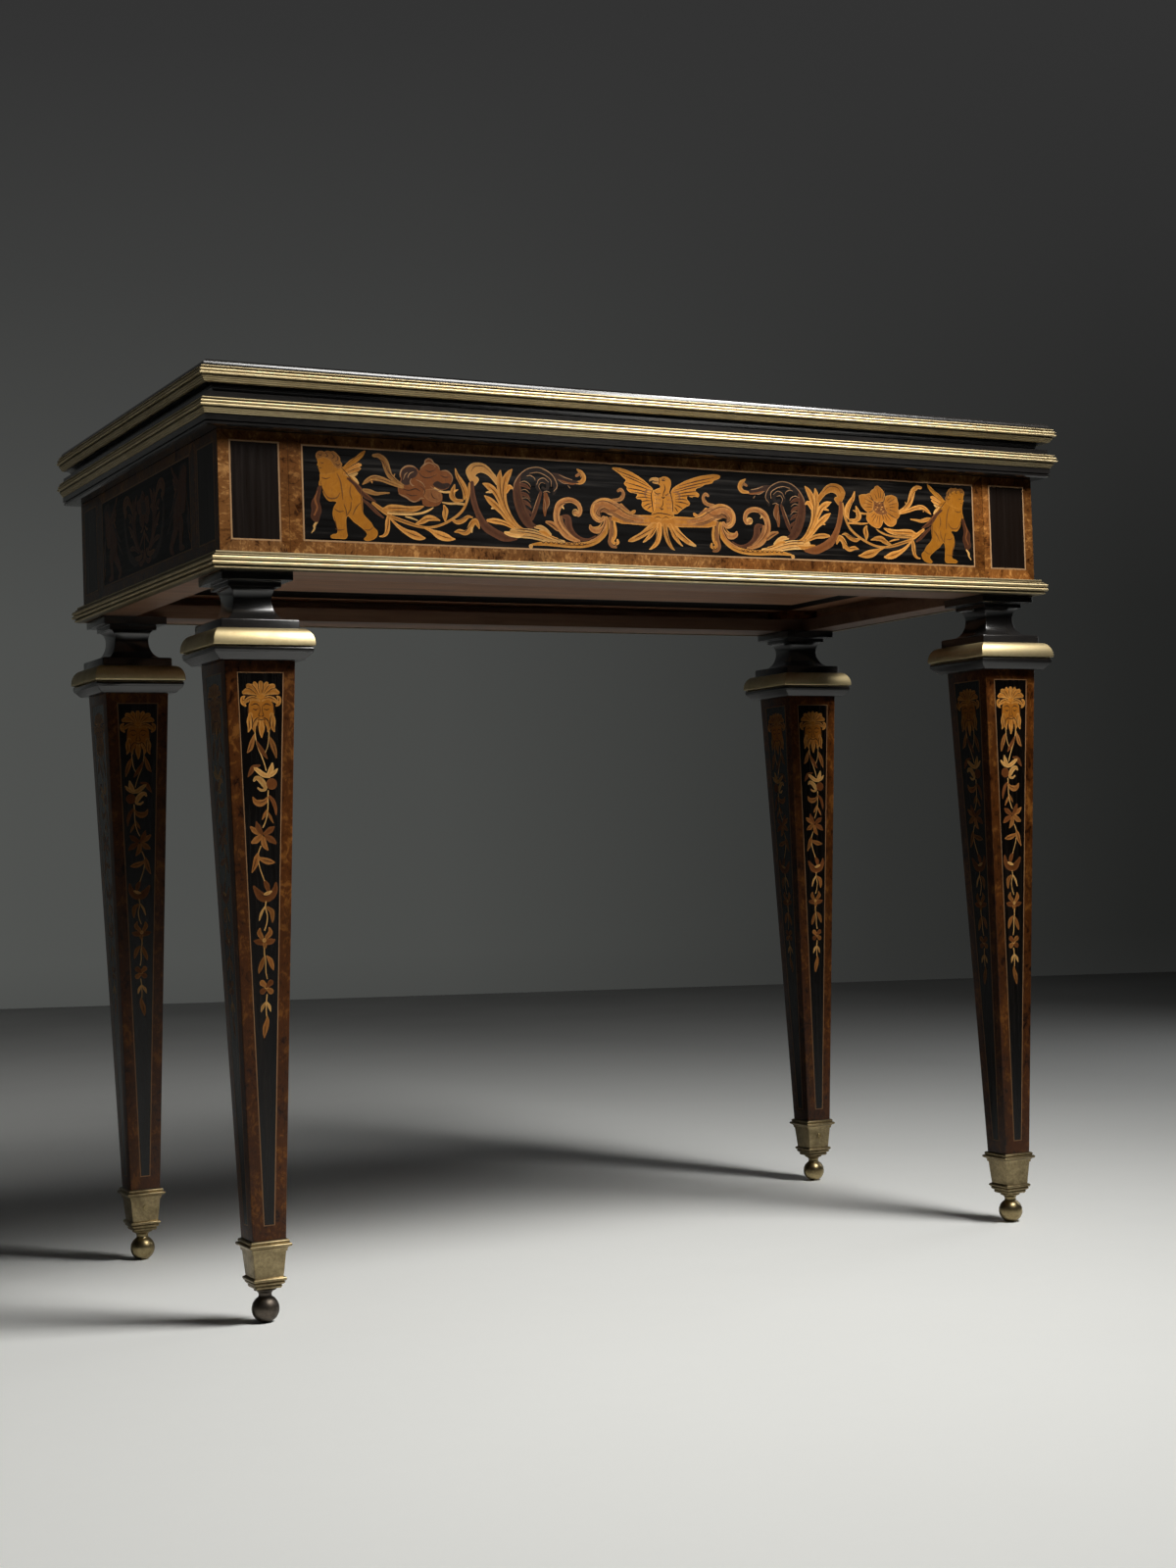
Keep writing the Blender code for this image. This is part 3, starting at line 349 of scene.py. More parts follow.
def area_light(name, place, target, size, power, colour=LAMP_COLOUR):
    data = bpy.data.lights.new(name, "AREA")
    data.shape = "SQUARE"
    data.size = size
    data.energy = power
    data.color = colour
    direction = Vector(target) - Vector(place)
    turn = direction.to_track_quat("-Z", "Y").to_matrix().to_4x4()
    add_object(name, data).matrix_world = Matrix.Translation(place) @ turn


def build_lights():
    area_light("key_lamp", (0.56, -0.81, 1.46), (-0.18, -0.18, 1.23), 0.50, 28.5)
    area_light("high_lamp", (0.82, -1.56, 3.09), (-0.11, -1.77, 2.78), 1.12, 65)
    area_light("right_lamp", (2.3, 0.3, 1.0), (0.4, 0.0, 0.45), 0.8, 4, (0.97, 0.985, 1.0))
    world = bpy.data.worlds.new("studio")
    world.use_nodes = True
    shade = world.node_tree.nodes["Background"]
    shade.inputs["Color"].default_value = (0.60, 0.62, 0.65, 1)
    shade.inputs["Strength"].default_value = 0.006
    bpy.context.scene.world = world


# finishes

def lacquer(name):
    """Black polished wood: faint polish cloud, a few rubbed specks."""
    finish = Finish(name, roughness=0.22, coat=0.45, coat_roughness=0.13)
    cloud = finish.noise(finish.place((3, 3, 9)), 6.0, 5.0, 0.6)
    pores = finish.noise(finish.place((10, 10, 60)), 20.0, 3.0, 0.6)
    speck = finish.noise(finish.place(), 420.0, 2.0, 0.5)
    colour = finish.mix(finish.span(cloud, 0.35, 0.75), (0.0078, 0.0071, 0.0068), (0.0150, 0.0135, 0.0125))
    colour = finish.mix(finish.span(speck, 0.765, 0.80, 0.0, 0.45), colour, (0.11, 0.085, 0.06))
    rough = finish.span(pores, 0.3, 0.7, 0.17, 0.27)
    return finish.done(colour, rough, finish.bump(pores, 0.01, 0.0001))


def streaked(name, base, streak, along, roughness=(0.26, 0.40), coat=0.0, specular=0.15):
    """Dark exotic veneer with fine streaks that run along one axis."""
    finish = Finish(name, coat=coat, coat_roughness=0.14, specular=specular)
    place = finish.drawn_out(along, 0.035)
    lines = finish.noise(place, 320.0, 5.0, 0.62, 0.3)
    broad = finish.noise(place, 51.2, 3.0, 0.5, 0.6)
    both = finish.weighed((lines, 0.6), (broad, 0.4))
    colour = finish.ramp(finish.span(both, 0.34, 0.66), ((0.0, base), (0.54, base), (1.0, streak)))
    rough = finish.span(lines, 0.3, 0.7, *roughness)
    return finish.done(colour, rough, finish.bump(lines, 0.06, 0.0002))


def burr(name, dark, mid, light, along, scale=1.0, coat=0.04, specular=0.16):
    """Figured walnut: mottled clouds, ripple across the strip, fine pores, each leaf with its own tint."""
    finish = Finish(name, coat=coat, coat_roughness=0.16, specular=specular)
    tint = finish.attribute("tint")
    step = finish.math("MULTIPLY", tint, 3.0)
    shift = finish.node("CombineXYZ", {"X": step, "Y": step, "Z": step}).outputs["Vector"]

    def moved_noise(share, *settings):
        place = finish.node("VectorMath", {0: finish.drawn_out(along, share), 1: shift}, operation="ADD")
        return finish.noise(place.outputs["Vector"], *settings)

    stretch = 0.80 if along == "z" else 0.70
    cloud = moved_noise(stretch, 48.0 * scale, 5.0, 0.62, 1.2)
    knots = moved_noise(stretch, 150.0 * scale, 4.0, 0.62, 1.8)
    ripple = moved_noise(0.50, 300.0 * scale, 3.0, 0.6, 1.0)
    pores = finish.noise(finish.drawn_out(along, 0.12), 900.0, 2.0, 0.5)
    both = finish.weighed((cloud, 0.42), (knots, 0.36), (ripple, 0.22))
    colour = finish.ramp(finish.span(both, 0.41, 0.59), ((0.0, dark), (0.34, mid), (0.60, mid), (1.0, light)))
    colour = finish.mix(finish.span(pores, 0.52, 0.66, 0.0, 0.20), colour, dark)
    broad = finish.span(moved_noise(stretch, 16.0 * scale, 3.0, 0.5, 0.6), 0.32, 0.68, 0.66, 1.34)
    # the tint's value dims or lifts each leaf; on the frieze borders it also carries painted light and shade
    colour = finish.dimmed(colour, finish.math("MULTIPLY", finish.span(tint, 0.0, 1.0, 0.45, 1.30), broad))
    # the second figure of the tint picks a redder or a greyer leaf of veneer
    turn = finish.math("FRACT", finish.math("MULTIPLY", tint, 10.0))
    hue = finish.ramp(turn, ((0.0, (1.04, 0.78, 0.38)), (0.5, (1.0, 0.97, 0.86)), (0.95, (0.97, 1.10, 1.34))))
    rough = finish.span(both, 0.35, 0.65, 0.26, 0.40)
    return finish.done(finish.times(colour, hue), rough, finish.bump(pores, 0.05, 0.0002))


def inlay_wood(name, edge, core):
    """Thin inlay: lighter at its sawn edge, warmer and sand shaded in its middle, with a fine grain."""
    finish = Finish(name, roughness=0.36, coat=0.04, coat_roughness=0.15, specular=0.14)
    grain = finish.noise(finish.place((1, 1, 0.3)), 700.0, 4.0, 0.6, 0.8)
    blotch = finish.noise(finish.place(), 170.0, 3.0, 0.6, 0.5)
    depth = finish.math("ADD", finish.attribute("shade"), finish.span(blotch, 0.3, 0.7, -0.35, 0.35))
    colour = finish.mix(finish.span(depth, 0.0, 1.0), edge, core)
    dark = tuple(channel * 0.55 for channel in core)
    colour = finish.mix(finish.span(grain, 0.50, 0.72, 0.0, 0.40), colour, dark)
    colour = finish.dimmed(colour, finish.span(finish.attribute("tint"), 0.0, 1.0, 0.78, 1.18))
    return finish.done(colour, finish.span(grain, 0.3, 0.7, 0.30, 0.44), finish.bump(grain, 0.06, 0.0002))


def plain_wood(name, dark, light, roughness=(0.45, 0.65), coat=0.0, painted_light_fades=(), ring=None):
    """Wood with its grain along the table.

    Each fade is (axis, start, end, first, last): the colour is multiplied by first at start and by last
    at end, which paints light and shade. ring is (half x, half y, width x, width y) of a black band of
    painted shadow that runs round the board, with the board beyond it dimmed towards its dark colour.
    """
    finish = Finish(name, coat=coat)
    place = finish.drawn_out("x", 0.06)
    lines = finish.noise(place, 240.0, 5.0, 0.65, 0.6)
    rings = finish.noise(place, 36.0, 4.0, 0.55, 1.2)
    both = finish.weighed((lines, 0.5), (rings, 0.5))
    colour = finish.ramp(finish.span(both, 0.32, 0.68), ((0.0, dark), (1.0, light)))
    # painted light and shade: each fade scales the colour along one axis
    for axis, *fade in painted_light_fades:
        colour = finish.dimmed(colour, finish.span(finish.axes()[axis], *fade))
    # painted shadow: a black band with little reflection runs round the board, and the board beyond it is
    # dimmed
    if ring:
        runs = [finish.span(finish.math("ABSOLUTE", finish.axes()[axis]), start, start + width, -1.0, 1.0)
                for axis, start, width in (("X", ring[0], ring[2]), ("Y", ring[1], ring[3]))]
        across = finish.math("MAXIMUM", *runs)
        inside = finish.math("ABSOLUTE", across)
        colour = finish.mix(finish.span(inside, 0.86, 0.97, 1.0, 0.0), colour, (0.002, 0.0015, 0.0012))
        colour = finish.mix(finish.span(across, 0.95, 1.0, 0.0, 0.6), colour, dark)
        finish.put(finish.shader.inputs["Specular IOR Level"], finish.span(inside, 0.86, 0.97, 0.02, 0.30))
    rough = finish.span(lines, 0.3, 0.7, *roughness)
    return finish.done(colour, rough, finish.bump(lines, 0.18, 0.0004))


def metal(name, bright, dull, roughness, patina):
    """Old metal: soft tarnish clouds, and painted shade, dark where the mesh marks a hollow."""
    finish = Finish(name, metallic=1.0)
    cloud = finish.noise(finish.place(), 38.0, 6.0, 0.65, 0.8)
    fine = finish.noise(finish.place(), 420.0, 3.0, 0.6)
    worn = finish.weighed((cloud, 0.70), (fine, 0.30))
    colour = finish.mix(finish.span(worn, 0.5 - 0.25 * patina, 0.8 - 0.25 * patina), bright, dull)
    # painted shade: the mesh's shade attribute darkens the metal in its hollows
    painted_hollow_shade = finish.span(finish.attribute("shade"), 0.0, 1.0, 0.0, 0.80)
    colour = finish.mix(painted_hollow_shade, colour, tuple(channel * 0.16 for channel in dull))
    return finish.done(colour, finish.span(worn, 0.3, 0.7, *roughness))


def cloth(name, dark, light):
    finish = Finish(name, roughness=0.95, sheen=0.10, specular=0.06)
    nap = finish.noise(finish.place(), 1600.0, 3.0, 0.7)
    cloud = finish.noise(finish.place(), 22.0, 4.0, 0.6, 0.5)
    both = finish.weighed((nap, 0.55), (cloud, 0.45))
    colour = finish.mix(finish.span(both, 0.35, 0.65), dark, light)
    return finish.done(colour, None, finish.bump(nap, 0.5, 0.0006))


# name of the veneer, colour at its sawn edge and in its middle
INLAYS = {
    "box": ("boxwood_line", (0.42, 0.250, 0.125), (0.34, 0.190, 0.090)),
    "string": ("leg_line", (0.30, 0.165, 0.078), (0.24, 0.125, 0.055)),
    "gold": ("satinwood_inlay", (0.55, 0.262, 0.066), (0.36, 0.132, 0.0165)),
    "wing": ("bright_satinwood_inlay", (0.56, 0.265, 0.060), (0.42, 0.160, 0.018)),
    "boy": ("golden_box_inlay", (0.40, 0.166, 0.0225), (0.30, 0.110, 0.0078)),
    "mask": ("pale_satinwood_inlay", (0.50, 0.205, 0.033), (0.38, 0.134, 0.0145)),
    "amber": ("amber_inlay", (0.34, 0.145, 0.040), (0.215, 0.078, 0.0175)),
    "hair": ("shaded_box_inlay", (0.27, 0.120, 0.028), (0.155, 0.060, 0.011)),
    "leaf": ("shaded_satinwood_inlay", (0.36, 0.180, 0.055), (0.23, 0.093, 0.018)),
    "strap": ("tawny_inlay", (0.40, 0.190, 0.062), (0.255, 0.092, 0.023)),
    "sepia": ("burnt_sand_line", (0.135, 0.052, 0.012), (0.100, 0.036, 0.008)),
    "shadow": ("black_scroll_inlay", (0.020, 0.0125, 0.0090), (0.012, 0.0075, 0.0055)),
    "umber": ("umber_inlay", (0.050, 0.024, 0.014), (0.028, 0.013, 0.008)),
    "pale": ("holly_inlay", (0.62, 0.365, 0.125), (0.48, 0.225, 0.058)),
    "tan": ("fruitwood_inlay", (0.270, 0.120, 0.042), (0.170, 0.062, 0.018)),
    "bloom": ("tulipwood_inlay", (0.190, 0.070, 0.022), (0.135, 0.042, 0.010)),
    "rose": ("rosewood_inlay", (0.104, 0.039, 0.0165), (0.056, 0.0185, 0.0075)),
    "cut": ("engraved_line", (0.050, 0.020, 0.008), (0.035, 0.013, 0.005)),
}


def make_finishes():
    walnut = ((0.044, 0.016, 0.0048), (0.150, 0.064, 0.0195), (0.34, 0.178, 0.066))
    leg_walnut = ((0.020, 0.0052, 0.0010), (0.084, 0.0250, 0.0042), (0.205, 0.076, 0.0135))
    ebony = (0.0022, 0.0018, 0.0015)
    mahogany = ((0.330, 0.155, 0.083), (0.640, 0.370, 0.220), (0.36, 0.52))
    made = {
        "black": lacquer("ebonised_lacquer"),
        "ebony": streaked("ebony_ground", ebony, (0.0240, 0.0200, 0.0165), "x"),
        # a shaded copy of the ebony ground, with dim streaks and little gloss: painted shade for the end
        # faces
        "ebony_side": streaked("ebony_ground_in_painted_shade", ebony, (0.0080, 0.0064, 0.0052), "y", specular=0.06),
        "ebony_leg": streaked("ebony_leg_ground", (0.0018, 0.0012, 0.0009), (0.0070, 0.0046, 0.0030), "z",
                              (0.20, 0.32), 0.06, 0.28),
        "rose_panel": streaked("rosewood_corner_panel", (0.0066, 0.0038, 0.0025), (0.0135, 0.0078, 0.0052),
                               "z"),
        "burr": burr("burr_walnut", *walnut, "x"),
        "burr_upright": burr("burr_walnut_upright", *walnut, "z"),
        "leg_walnut": burr("leg_walnut", *leg_walnut, "z", 0.8, 0.05, 0.24),
        # painted light and shade on the underside: the carcass dims to the right and to the back, with a
        # painted reflection on the back strip; the board is painted brighter on the left and carries a black
        # band of painted shadow
        "carcass": plain_wood("carcass_mahogany", *mahogany, 0.15, (
            ("X", -0.40, 0.42, 1.35, 0.50), ("Y", -0.10, 0.12, 1.0, 0.45), ("Y", 0.165, 0.190, 1.0, 2.1))),
        "board": plain_wood("bottom_board_wood", *mahogany, 0.0, (("X", -0.40, 0.42, 1.60, 1.05),),
                            (0.330, 0.098, 0.030, 0.055)),
        "inside": plain_wood("inside_wood", (0.200, 0.115, 0.062), (0.42, 0.270, 0.155)),
        "gilt": metal("gilt_brass", (0.67, 0.55, 0.325), (0.48, 0.375, 0.20), (0.38, 0.50), 0.45),
        "collar": metal("collar_brass", (0.55, 0.452, 0.256), (0.445, 0.353, 0.187), (0.44, 0.54), 0.35),
        "aged": metal("aged_brass", (0.42, 0.335, 0.185), (0.17, 0.130, 0.070), (0.30, 0.50), 0.8),
        "ball": metal("worn_brass", (0.44, 0.355, 0.190), (0.20, 0.152, 0.074), (0.26, 0.42), 0.6),
        "dark_ball": metal("dark_bronze", (0.150, 0.125, 0.100), (0.062, 0.052, 0.044), (0.36, 0.52), 0.6),
        "iron": metal("old_iron", (0.30, 0.285, 0.27), (0.12, 0.095, 0.08), (0.38, 0.62), 0.7),
        "baize": cloth("green_baize", (0.008, 0.048, 0.019), (0.020, 0.092, 0.038)),
        "lining": cloth("red_lining", (0.085, 0.012, 0.012), (0.190, 0.035, 0.030)),
    }
    return made | {tone: inlay_wood(*wood) for tone, wood in INLAYS.items()}


# mesh helpers

def new_piece(name, points, faces, materials, slot, body="carcass", replaced=(), indices=None, layers=None,
              crease=38):
    mesh = bpy.data.meshes.new(name)
    mesh.from_pydata(points, [], faces)
    for material in materials:
        mesh.materials.append(material)
    if indices:
        mesh.polygons.foreach_set("material_index", indices)
    for key, values in (layers or {}).items():
        mesh.attributes.new(key, "FLOAT", "POINT").data.foreach_set("value", values)
    mesh.validate()
    work = bmesh.new()
    work.from_mesh(mesh)
    bmesh.ops.recalc_face_normals(work, faces=work.faces)
    work.to_mesh(mesh)
    work.free()
    if crease:
        mesh.shade_smooth()
        mesh.set_sharp_from_angle(angle=math.radians(crease))
    piece = add_object(name, mesh)
    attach(piece, body)
    if replaced:
        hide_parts(*replaced)
    return piece


def loft(rings, loop=False):
    """Skin between equal rings that wind anticlockwise seen from their far end."""
    size = len(rings[0])
    count = len(rings)
    points = [tuple(point) for ring in rings for point in ring]
    faces = []
    for here in range(count if loop else count - 1):
        low = here * size
        high = ((here + 1) % count) * size
        for side in range(size):
            turn = (side + 1) % size
            faces.append((low + side, low + turn, high + turn, high + side))
    if not loop:
        faces.append(tuple(reversed(range(size))))
        faces.append(tuple(range((count - 1) * size, count * size)))
    return points, faces


def joined(parts):
    """One mesh of several (points, faces)."""
    points = []
    faces = []
    for some, some_faces in parts:
        faces += [tuple(index + len(points) for index in face) for face in some_faces]
        points += some
    return points, faces


def eased(outline, size):
    """Break each sharp corner of an open outline with a small chamfer."""
    result = outline[:1]
    for before, here, after in zip(outline, outline[1:], outline[2:]):
        arms = [Vector(other) - Vector(here) for other in (before, after)]
        if 180 - math.degrees(arms[0].angle(arms[1])) < EASED_TURN:
            result.append(here)
            continue
        for arm in arms:
            result.append(tuple(Vector(here) + arm.normalized() * min(size, 0.42 * arm.length)))
    return result + outline[-1:]


def arc(centre, reach, start, end, steps):
    angles = [math.radians(start + (end - start) * step / steps) for step in range(steps + 1)]
    return [(centre[0] + reach[0] * math.cos(angle), centre[1] + reach[1] * math.sin(angle))
            for angle in angles]


def circle(x, y, radius, count=10):
    return [(x + radius * math.cos(2 * math.pi * k / count), y + radius * math.sin(2 * math.pi * k / count))
            for k in range(count)]


def square_ring(half, z, radius, centre):
    ring = []
    radius = min(radius, half * 0.9)
    for quarter, (sign_x, sign_y) in enumerate(((1, 1), (-1, 1), (-1, -1), (1, -1))):
        for step in range(CORNER_STEPS + 1):
            angle = math.radians(90 * quarter + 90 * step / CORNER_STEPS)
            ring.append((centre[0] + sign_x * (half - radius) + radius * math.cos(angle),
                         centre[1] + sign_y * (half - radius) + radius * math.sin(angle), z))
    return ring


def square_stack(outline, radius, centre, loop=False):
    """Square body from (half width, level) rings, or with loop a band round the square."""
    return loft([square_ring(half, z, radius, centre) for half, z in outline], loop)


def leg_centre(corner):
    low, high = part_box(corner + "_ball_foot")
    return (low.x + high.x) / 2, (low.y + high.y) / 2


# turned and moulded pieces

def shaft_half(z):
    return SHAFT_FOOT_HALF + (SHAFT_TOP_HALF - SHAFT_FOOT_HALF) * (z - SHAFT_FOOT) / (SHAFT_TOP - SHAFT_FOOT)


def capital_outline(low, high):
    """Half widths and levels of the black capital, foot to top, as on the frame's own solid."""
    band_top = low + 0.0110
    plinth_top = band_top + 0.0225
    neck = plinth_top + 0.0172
    throat = neck + 0.0098
    abacus = high - 0.0074
    outline = [(0.0362, low), (0.0418, low + 0.0058)]
    outline += arc((0.0409, low + 0.0082), (0.0012, 0.0024), -60, 80, 6)
    outline += [(0.0408, band_top), (0.0334, band_top), (0.0334, plinth_top - 0.0011), (0.0323, plinth_top)]
    outline += arc((0.0275, neck), (0.0113, 0.0172), 270, 180, 14)
    outline += arc((0.0212, neck), (0.0050, 0.0098), 180, 90, 9)[1:]
    outline += [(0.0226, throat), (0.0226, abacus), (0.0303, abacus), (0.0303, high)]
    return eased(outline, 0.0004)


def collar_section(low, high):
    inner = 0.0337
    section = [(inner, low), (0.0428, low)] + arc((0.0428, low + 0.0007), (0.0007, 0.0007), -80, 0, 3)
    return section + arc((0.0352, low + 0.0016), (0.0083, high - low - 0.0016), 0, 90, 14) + [(inner, high)]


def sabot_outline(low, high):
    """Stepped foot, tapered body and two reeds of the brass shoe."""
    rim = low + 0.0062
    body = rim + 0.0030
    throat = body + 0.0208
    lip = throat + 0.0039
    reed = lip + 0.0028
    outline = [(0.0098, low)] + arc((0.0098, low + 0.0016), (0.0012, 0.0016), -80, 20, 4)
    outline += [(0.0106, low + 0.0031), (0.0120, low + 0.0033)]
    outline += arc((0.0116, low + 0.0048), (0.0014, 0.0013), -70, 60, 5)
    outline += [(0.0122, rim), (0.0138, rim)] + arc((0.0132, rim + 0.0014), (0.0011, 0.0013), -60, 70, 5)
    outline += [(0.0130, body), (0.0122, body + 0.0004), (0.0141, throat), (0.0149, throat + 0.0002)]
    outline += [(0.0150, throat + 0.0011)] + arc((0.0168, throat + 0.0011), (0.0018, 0.0026), 180, 100, 4)
    outline += [(0.0172, lip)] + arc((0.0170, lip + 0.0014), (0.0012, 0.0013), -70, 75, 6)
    outline += [(0.0160, reed)] + arc((0.0156, reed + 0.0014), (0.0010, 0.0013), -60, 70, 6)
    return outline + [(0.0150, high)]


def ball_outline(high):
    centre = 0.0108
    radius = 0.0113
    outline = arc((0, centre), (radius, radius), math.degrees(math.asin(-centre / radius)), 58, 26)
    outline += [(0.0056, 0.0208), (0.0053, 0.0220)] + arc((0.0095, 0.0222), (0.0042, 0.0040), 175, 100, 6)
    return outline + arc((0.0086, 0.0268), (0.0007, 0.0007), -70, 80, 5) + [(0.0084, high)]


def screw_head(x, y, z, sign_y):
    """Domed head with a slot, lying on the sloping inward face of a shoe."""
    radius = SHOE_SCREW_RADIUS
    rings = [[(px, py, level) for px, py in circle(0, 0, reach, 28)]
             for reach, level in ((radius, -0.0004), (radius, 0.00035), (radius * 0.96, 0.00045))]
    parts = [loft(rings)]
    inset = radius * 0.95
    for side in (-1, 1):
        edge = [(px, side * py) for px, py in arc((0, 0), (inset, inset), 14, 166, 12)][::side]
        parts.append(loft([[(px, py, 0.0004) for px, py in edge],
                           [(px * 0.80, py * 0.80 + side * 0.00008, 0.00105) for px, py in edge]]))
    turn = Matrix.Rotation(SHOE_SCREW_TURN, 4, "Z")
    tilt = Matrix.Rotation(sign_y * (math.pi / 2 + SHOE_SLOPE), 4, "X")
    matrix = Matrix.Translation((x, y, z)) @ tilt @ turn
    points, faces = joined(parts)
    return [tuple(matrix @ Vector(point)) for point in points], faces


def build_legs(made):
    for corner, (_, sign_y) in CORNERS.items():
        centre = leg_centre(corner)

        def add(name, shape, finish, slot, node, **more):
            new_piece(f"{corner}_{name}", *shape, [made[finish]], slot, replaced=[f"{corner}_{node}"], **more)

        low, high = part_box(corner + "_capital")
        add("turned_capital", square_stack(capital_outline(low.z, high.z), 0.0006, centre), "black",
            "ebonised_wood", "capital")
        low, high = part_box(corner + "_brass_collar")
        add("collar_ring", square_stack(collar_section(low.z, high.z), 0.0010, centre, loop=True), "collar",
            "gilt_brass", "brass_collar")
        levels = [SHAFT_FOOT + (SHAFT_TOP - SHAFT_FOOT) * k / SHAFT_STEPS for k in range(SHAFT_STEPS + 1)]
        shaft = square_stack([(shaft_half(z), z) for z in levels], SHAFT_EASE, centre)
        add("tapered_shaft", shaft, "leg_walnut", "rosewood_veneer", "leg_shaft",
            layers={"tint": [SHAFT_TINT] * len(shaft[0])})
        low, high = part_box(corner + "_sabot")
        add("shoe", square_stack(sabot_outline(low.z, high.z), 0.0005, centre), "aged", "aged_brass", "sabot")
        rings = [[(x, y, z) for x, y in circle(*centre, radius, 56)] for radius, z in ball_outline(low.z)]
        add("ball", loft(rings), "dark_ball" if corner == "front_left" else "ball", "aged_brass", "ball_foot")
        out, level = SHOE_SCREW
        add("shoe_screw", screw_head(centre[0], centre[1] - sign_y * out, level, sign_y), "ball",
            "aged_brass", "sabot_screw")


def reeds(start, end, count, depth):
    """Run of small round reeds along a straight line of a section."""
    (x0, z0), (x1, z1) = start, end
    length = math.hypot(x1 - x0, z1 - z0)
    normal = ((z1 - z0) / length, -(x1 - x0) / length)
    points = []
    for step in range(count * REED_STEPS + 1):
        share = step / (count * REED_STEPS)
        rise = depth * abs(math.sin(math.pi * step / REED_STEPS))
        points.append((x0 + (x1 - x0) * share + normal[0] * rise, z0 + (z1 - z0) * share + normal[1] * rise))
    return points


def at_levels(low, tall, points):
    """(outward, share of the height) points as (outward, level)."""
    return [(x, low + share * tall) for x, share in points]


def leaf_brass_section(low, high):
    """Brass edge of a leaf, (outward from the widest line, level), foot to top."""
    tall = high - low
    section = [(-0.0077, low), (-0.0060, low), (-0.0057, low + 0.0003)]
    section += reeds((-0.0054, low + 0.03 * tall), (-0.0024, low + 0.365 * tall), 3, 0.00034)
    section += at_levels(low, tall, ((-0.0034, 0.385), (-0.0034, 0.405)))
    section += arc((-0.0018, low + 0.500 * tall), (0.0018, 0.090 * tall), -74, 70, 10)
    section += at_levels(low, tall, ((-0.0016, 0.596), (-0.0016, 0.606)))
    section += arc((-0.0024, low + 0.706 * tall), (0.0016, 0.100 * tall), -60, 72, 10)
    section += at_levels(low, tall, ((-0.0042, 0.812), (-0.0046, 0.824), (-0.0046, 0.858)))
    section += arc((-0.0032, low + 0.930 * tall), (0.0011, 0.058 * tall), -76, 80, 7)
    return section + [(-0.0040, high), (-0.0077, high)]


def base_bead_section(low, high):
    """Brass bead round the foot of the case, (outward from the case, level), foot to top."""
    tall = high - low
    section = [(0.0003, low), (0.0048, low), (0.0052, low + 0.0002)]
    section += at_levels(low, tall, ((0.0072, 0.055), (0.0076, 0.095), (0.0076, 0.125), (0.0066, 0.150),
                                     (0.0070, 0.175), (0.0070, 0.205), (0.0062, 0.225)))
    section += arc((0.0080, low + 0.335 * tall), (0.0016, 0.100 * tall), -62, 62, 9)
    section += at_levels(low, tall, ((0.0070, 0.445), (0.0070, 0.460)))
    section += arc((0.0073, low + 0.600 * tall), (0.0021, 0.134 * tall), -64, 72, 12)
    section += at_levels(low, tall, ((0.0056, 0.742), (0.0056, 0.752)))
    section += arc((0.0054, low + 0.800 * tall), (0.0015, 0.045 * tall), -70, 76, 6)
    section += at_levels(low, tall, ((0.0048, 0.860), (0.0048, 0.880), (0.0052, 0.900)))
    return section + [(0.0052, high - 0.0003), (0.0049, high), (0.0003, high)]


def hollow_shades(section):
    """How far each point of a section lies back from its neighbours, 0 to 1: the strength of its painted
    shade.
    """
    shades = []
    for near, level in section:
        far = max(offset for offset, z in section if abs(z - level) < HOLLOW_REACH)
        shades.append(min(1.0, far / HOLLOW_DEPTH - near / HOLLOW_DEPTH))
    return shades


def build_leaf_brass(made):
    """Band along the left, front and right of each leaf, cut off straight at the back."""
    for leaf in ("upper", "lower"):
        node = leaf + "_leaf_brass"
        low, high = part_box(node)
        section = leaf_brass_section(low.z, high.z)
        # painted shade: the hollows of the section, and the whole lower cove at least to COVE_SHADE
        cove = low.z + COVE_SHARE * (high.z - low.z)
        shades = [max(shade, COVE_SHADE if z < cove else 0.0)
                  for shade, (_, z) in zip(hollow_shades(section), section)]
        rings = [[(sign * (TOP_X + offset), LEAF_BACK if at_back else -(TOP_Y + offset), z)
                  for offset, z in section]
                 for sign, at_back in ((-1, True), (-1, False), (1, False), (1, True))]
        new_piece(leaf + "_leaf_reeded_edge", *loft(rings), [made["gilt"]], body=leaf + "_top",
                  slot="gilt_brass", replaced=[node], crease=30, layers={"shade": len(rings) * shades})


def build_base_bead(made):
    low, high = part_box("base_bead")
    section = base_bead_section(low.z, high.z)
    rings = []
    for offset, z in section:
        x, y = CASE_X + offset, CASE_Y + offset
        rings.append([(x, y, z), (-x, y, z), (-x, -y, z), (x, -y, z)])
    # painted shade in the hollows of the bead
    shades = [shade for shade in hollow_shades(section) for _ in rings[0]]
    new_piece("base_moulding", *loft(rings, loop=True), [made["gilt"]], slot="gilt_brass",
              replaced=["base_bead"], crease=30, layers={"shade": shades})


def dress_frame(made):
    """Better materials for the frame's own pieces that stay."""
    choices = {
        "black": ["upper_leaf", "lower_leaf", "cap_frame"],
        "carcass": ["base_frame"],
        "board": ["bottom_board"],
        "inside": ["divider", "pivot_board"] + ["rail_" + side for side in SIDES],
        "iron": ["swivel_bolt", "swivel_washer", "swivel_nut", "stop_peg"],
        "ball": [f"hinge_{part}_{side}" for part in ("pin", "plate_lower", "plate_upper")
                 for side in ("left", "right")],
        "burr": ["marquetry_" + side for side in SIDES] + [corner + "_corner_post" for corner in CORNERS],
    }
    for finish, names in choices.items():
        for name in names:
            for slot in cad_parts[name].material_slots:
                slot.material = made[finish]


# veneer and inlay

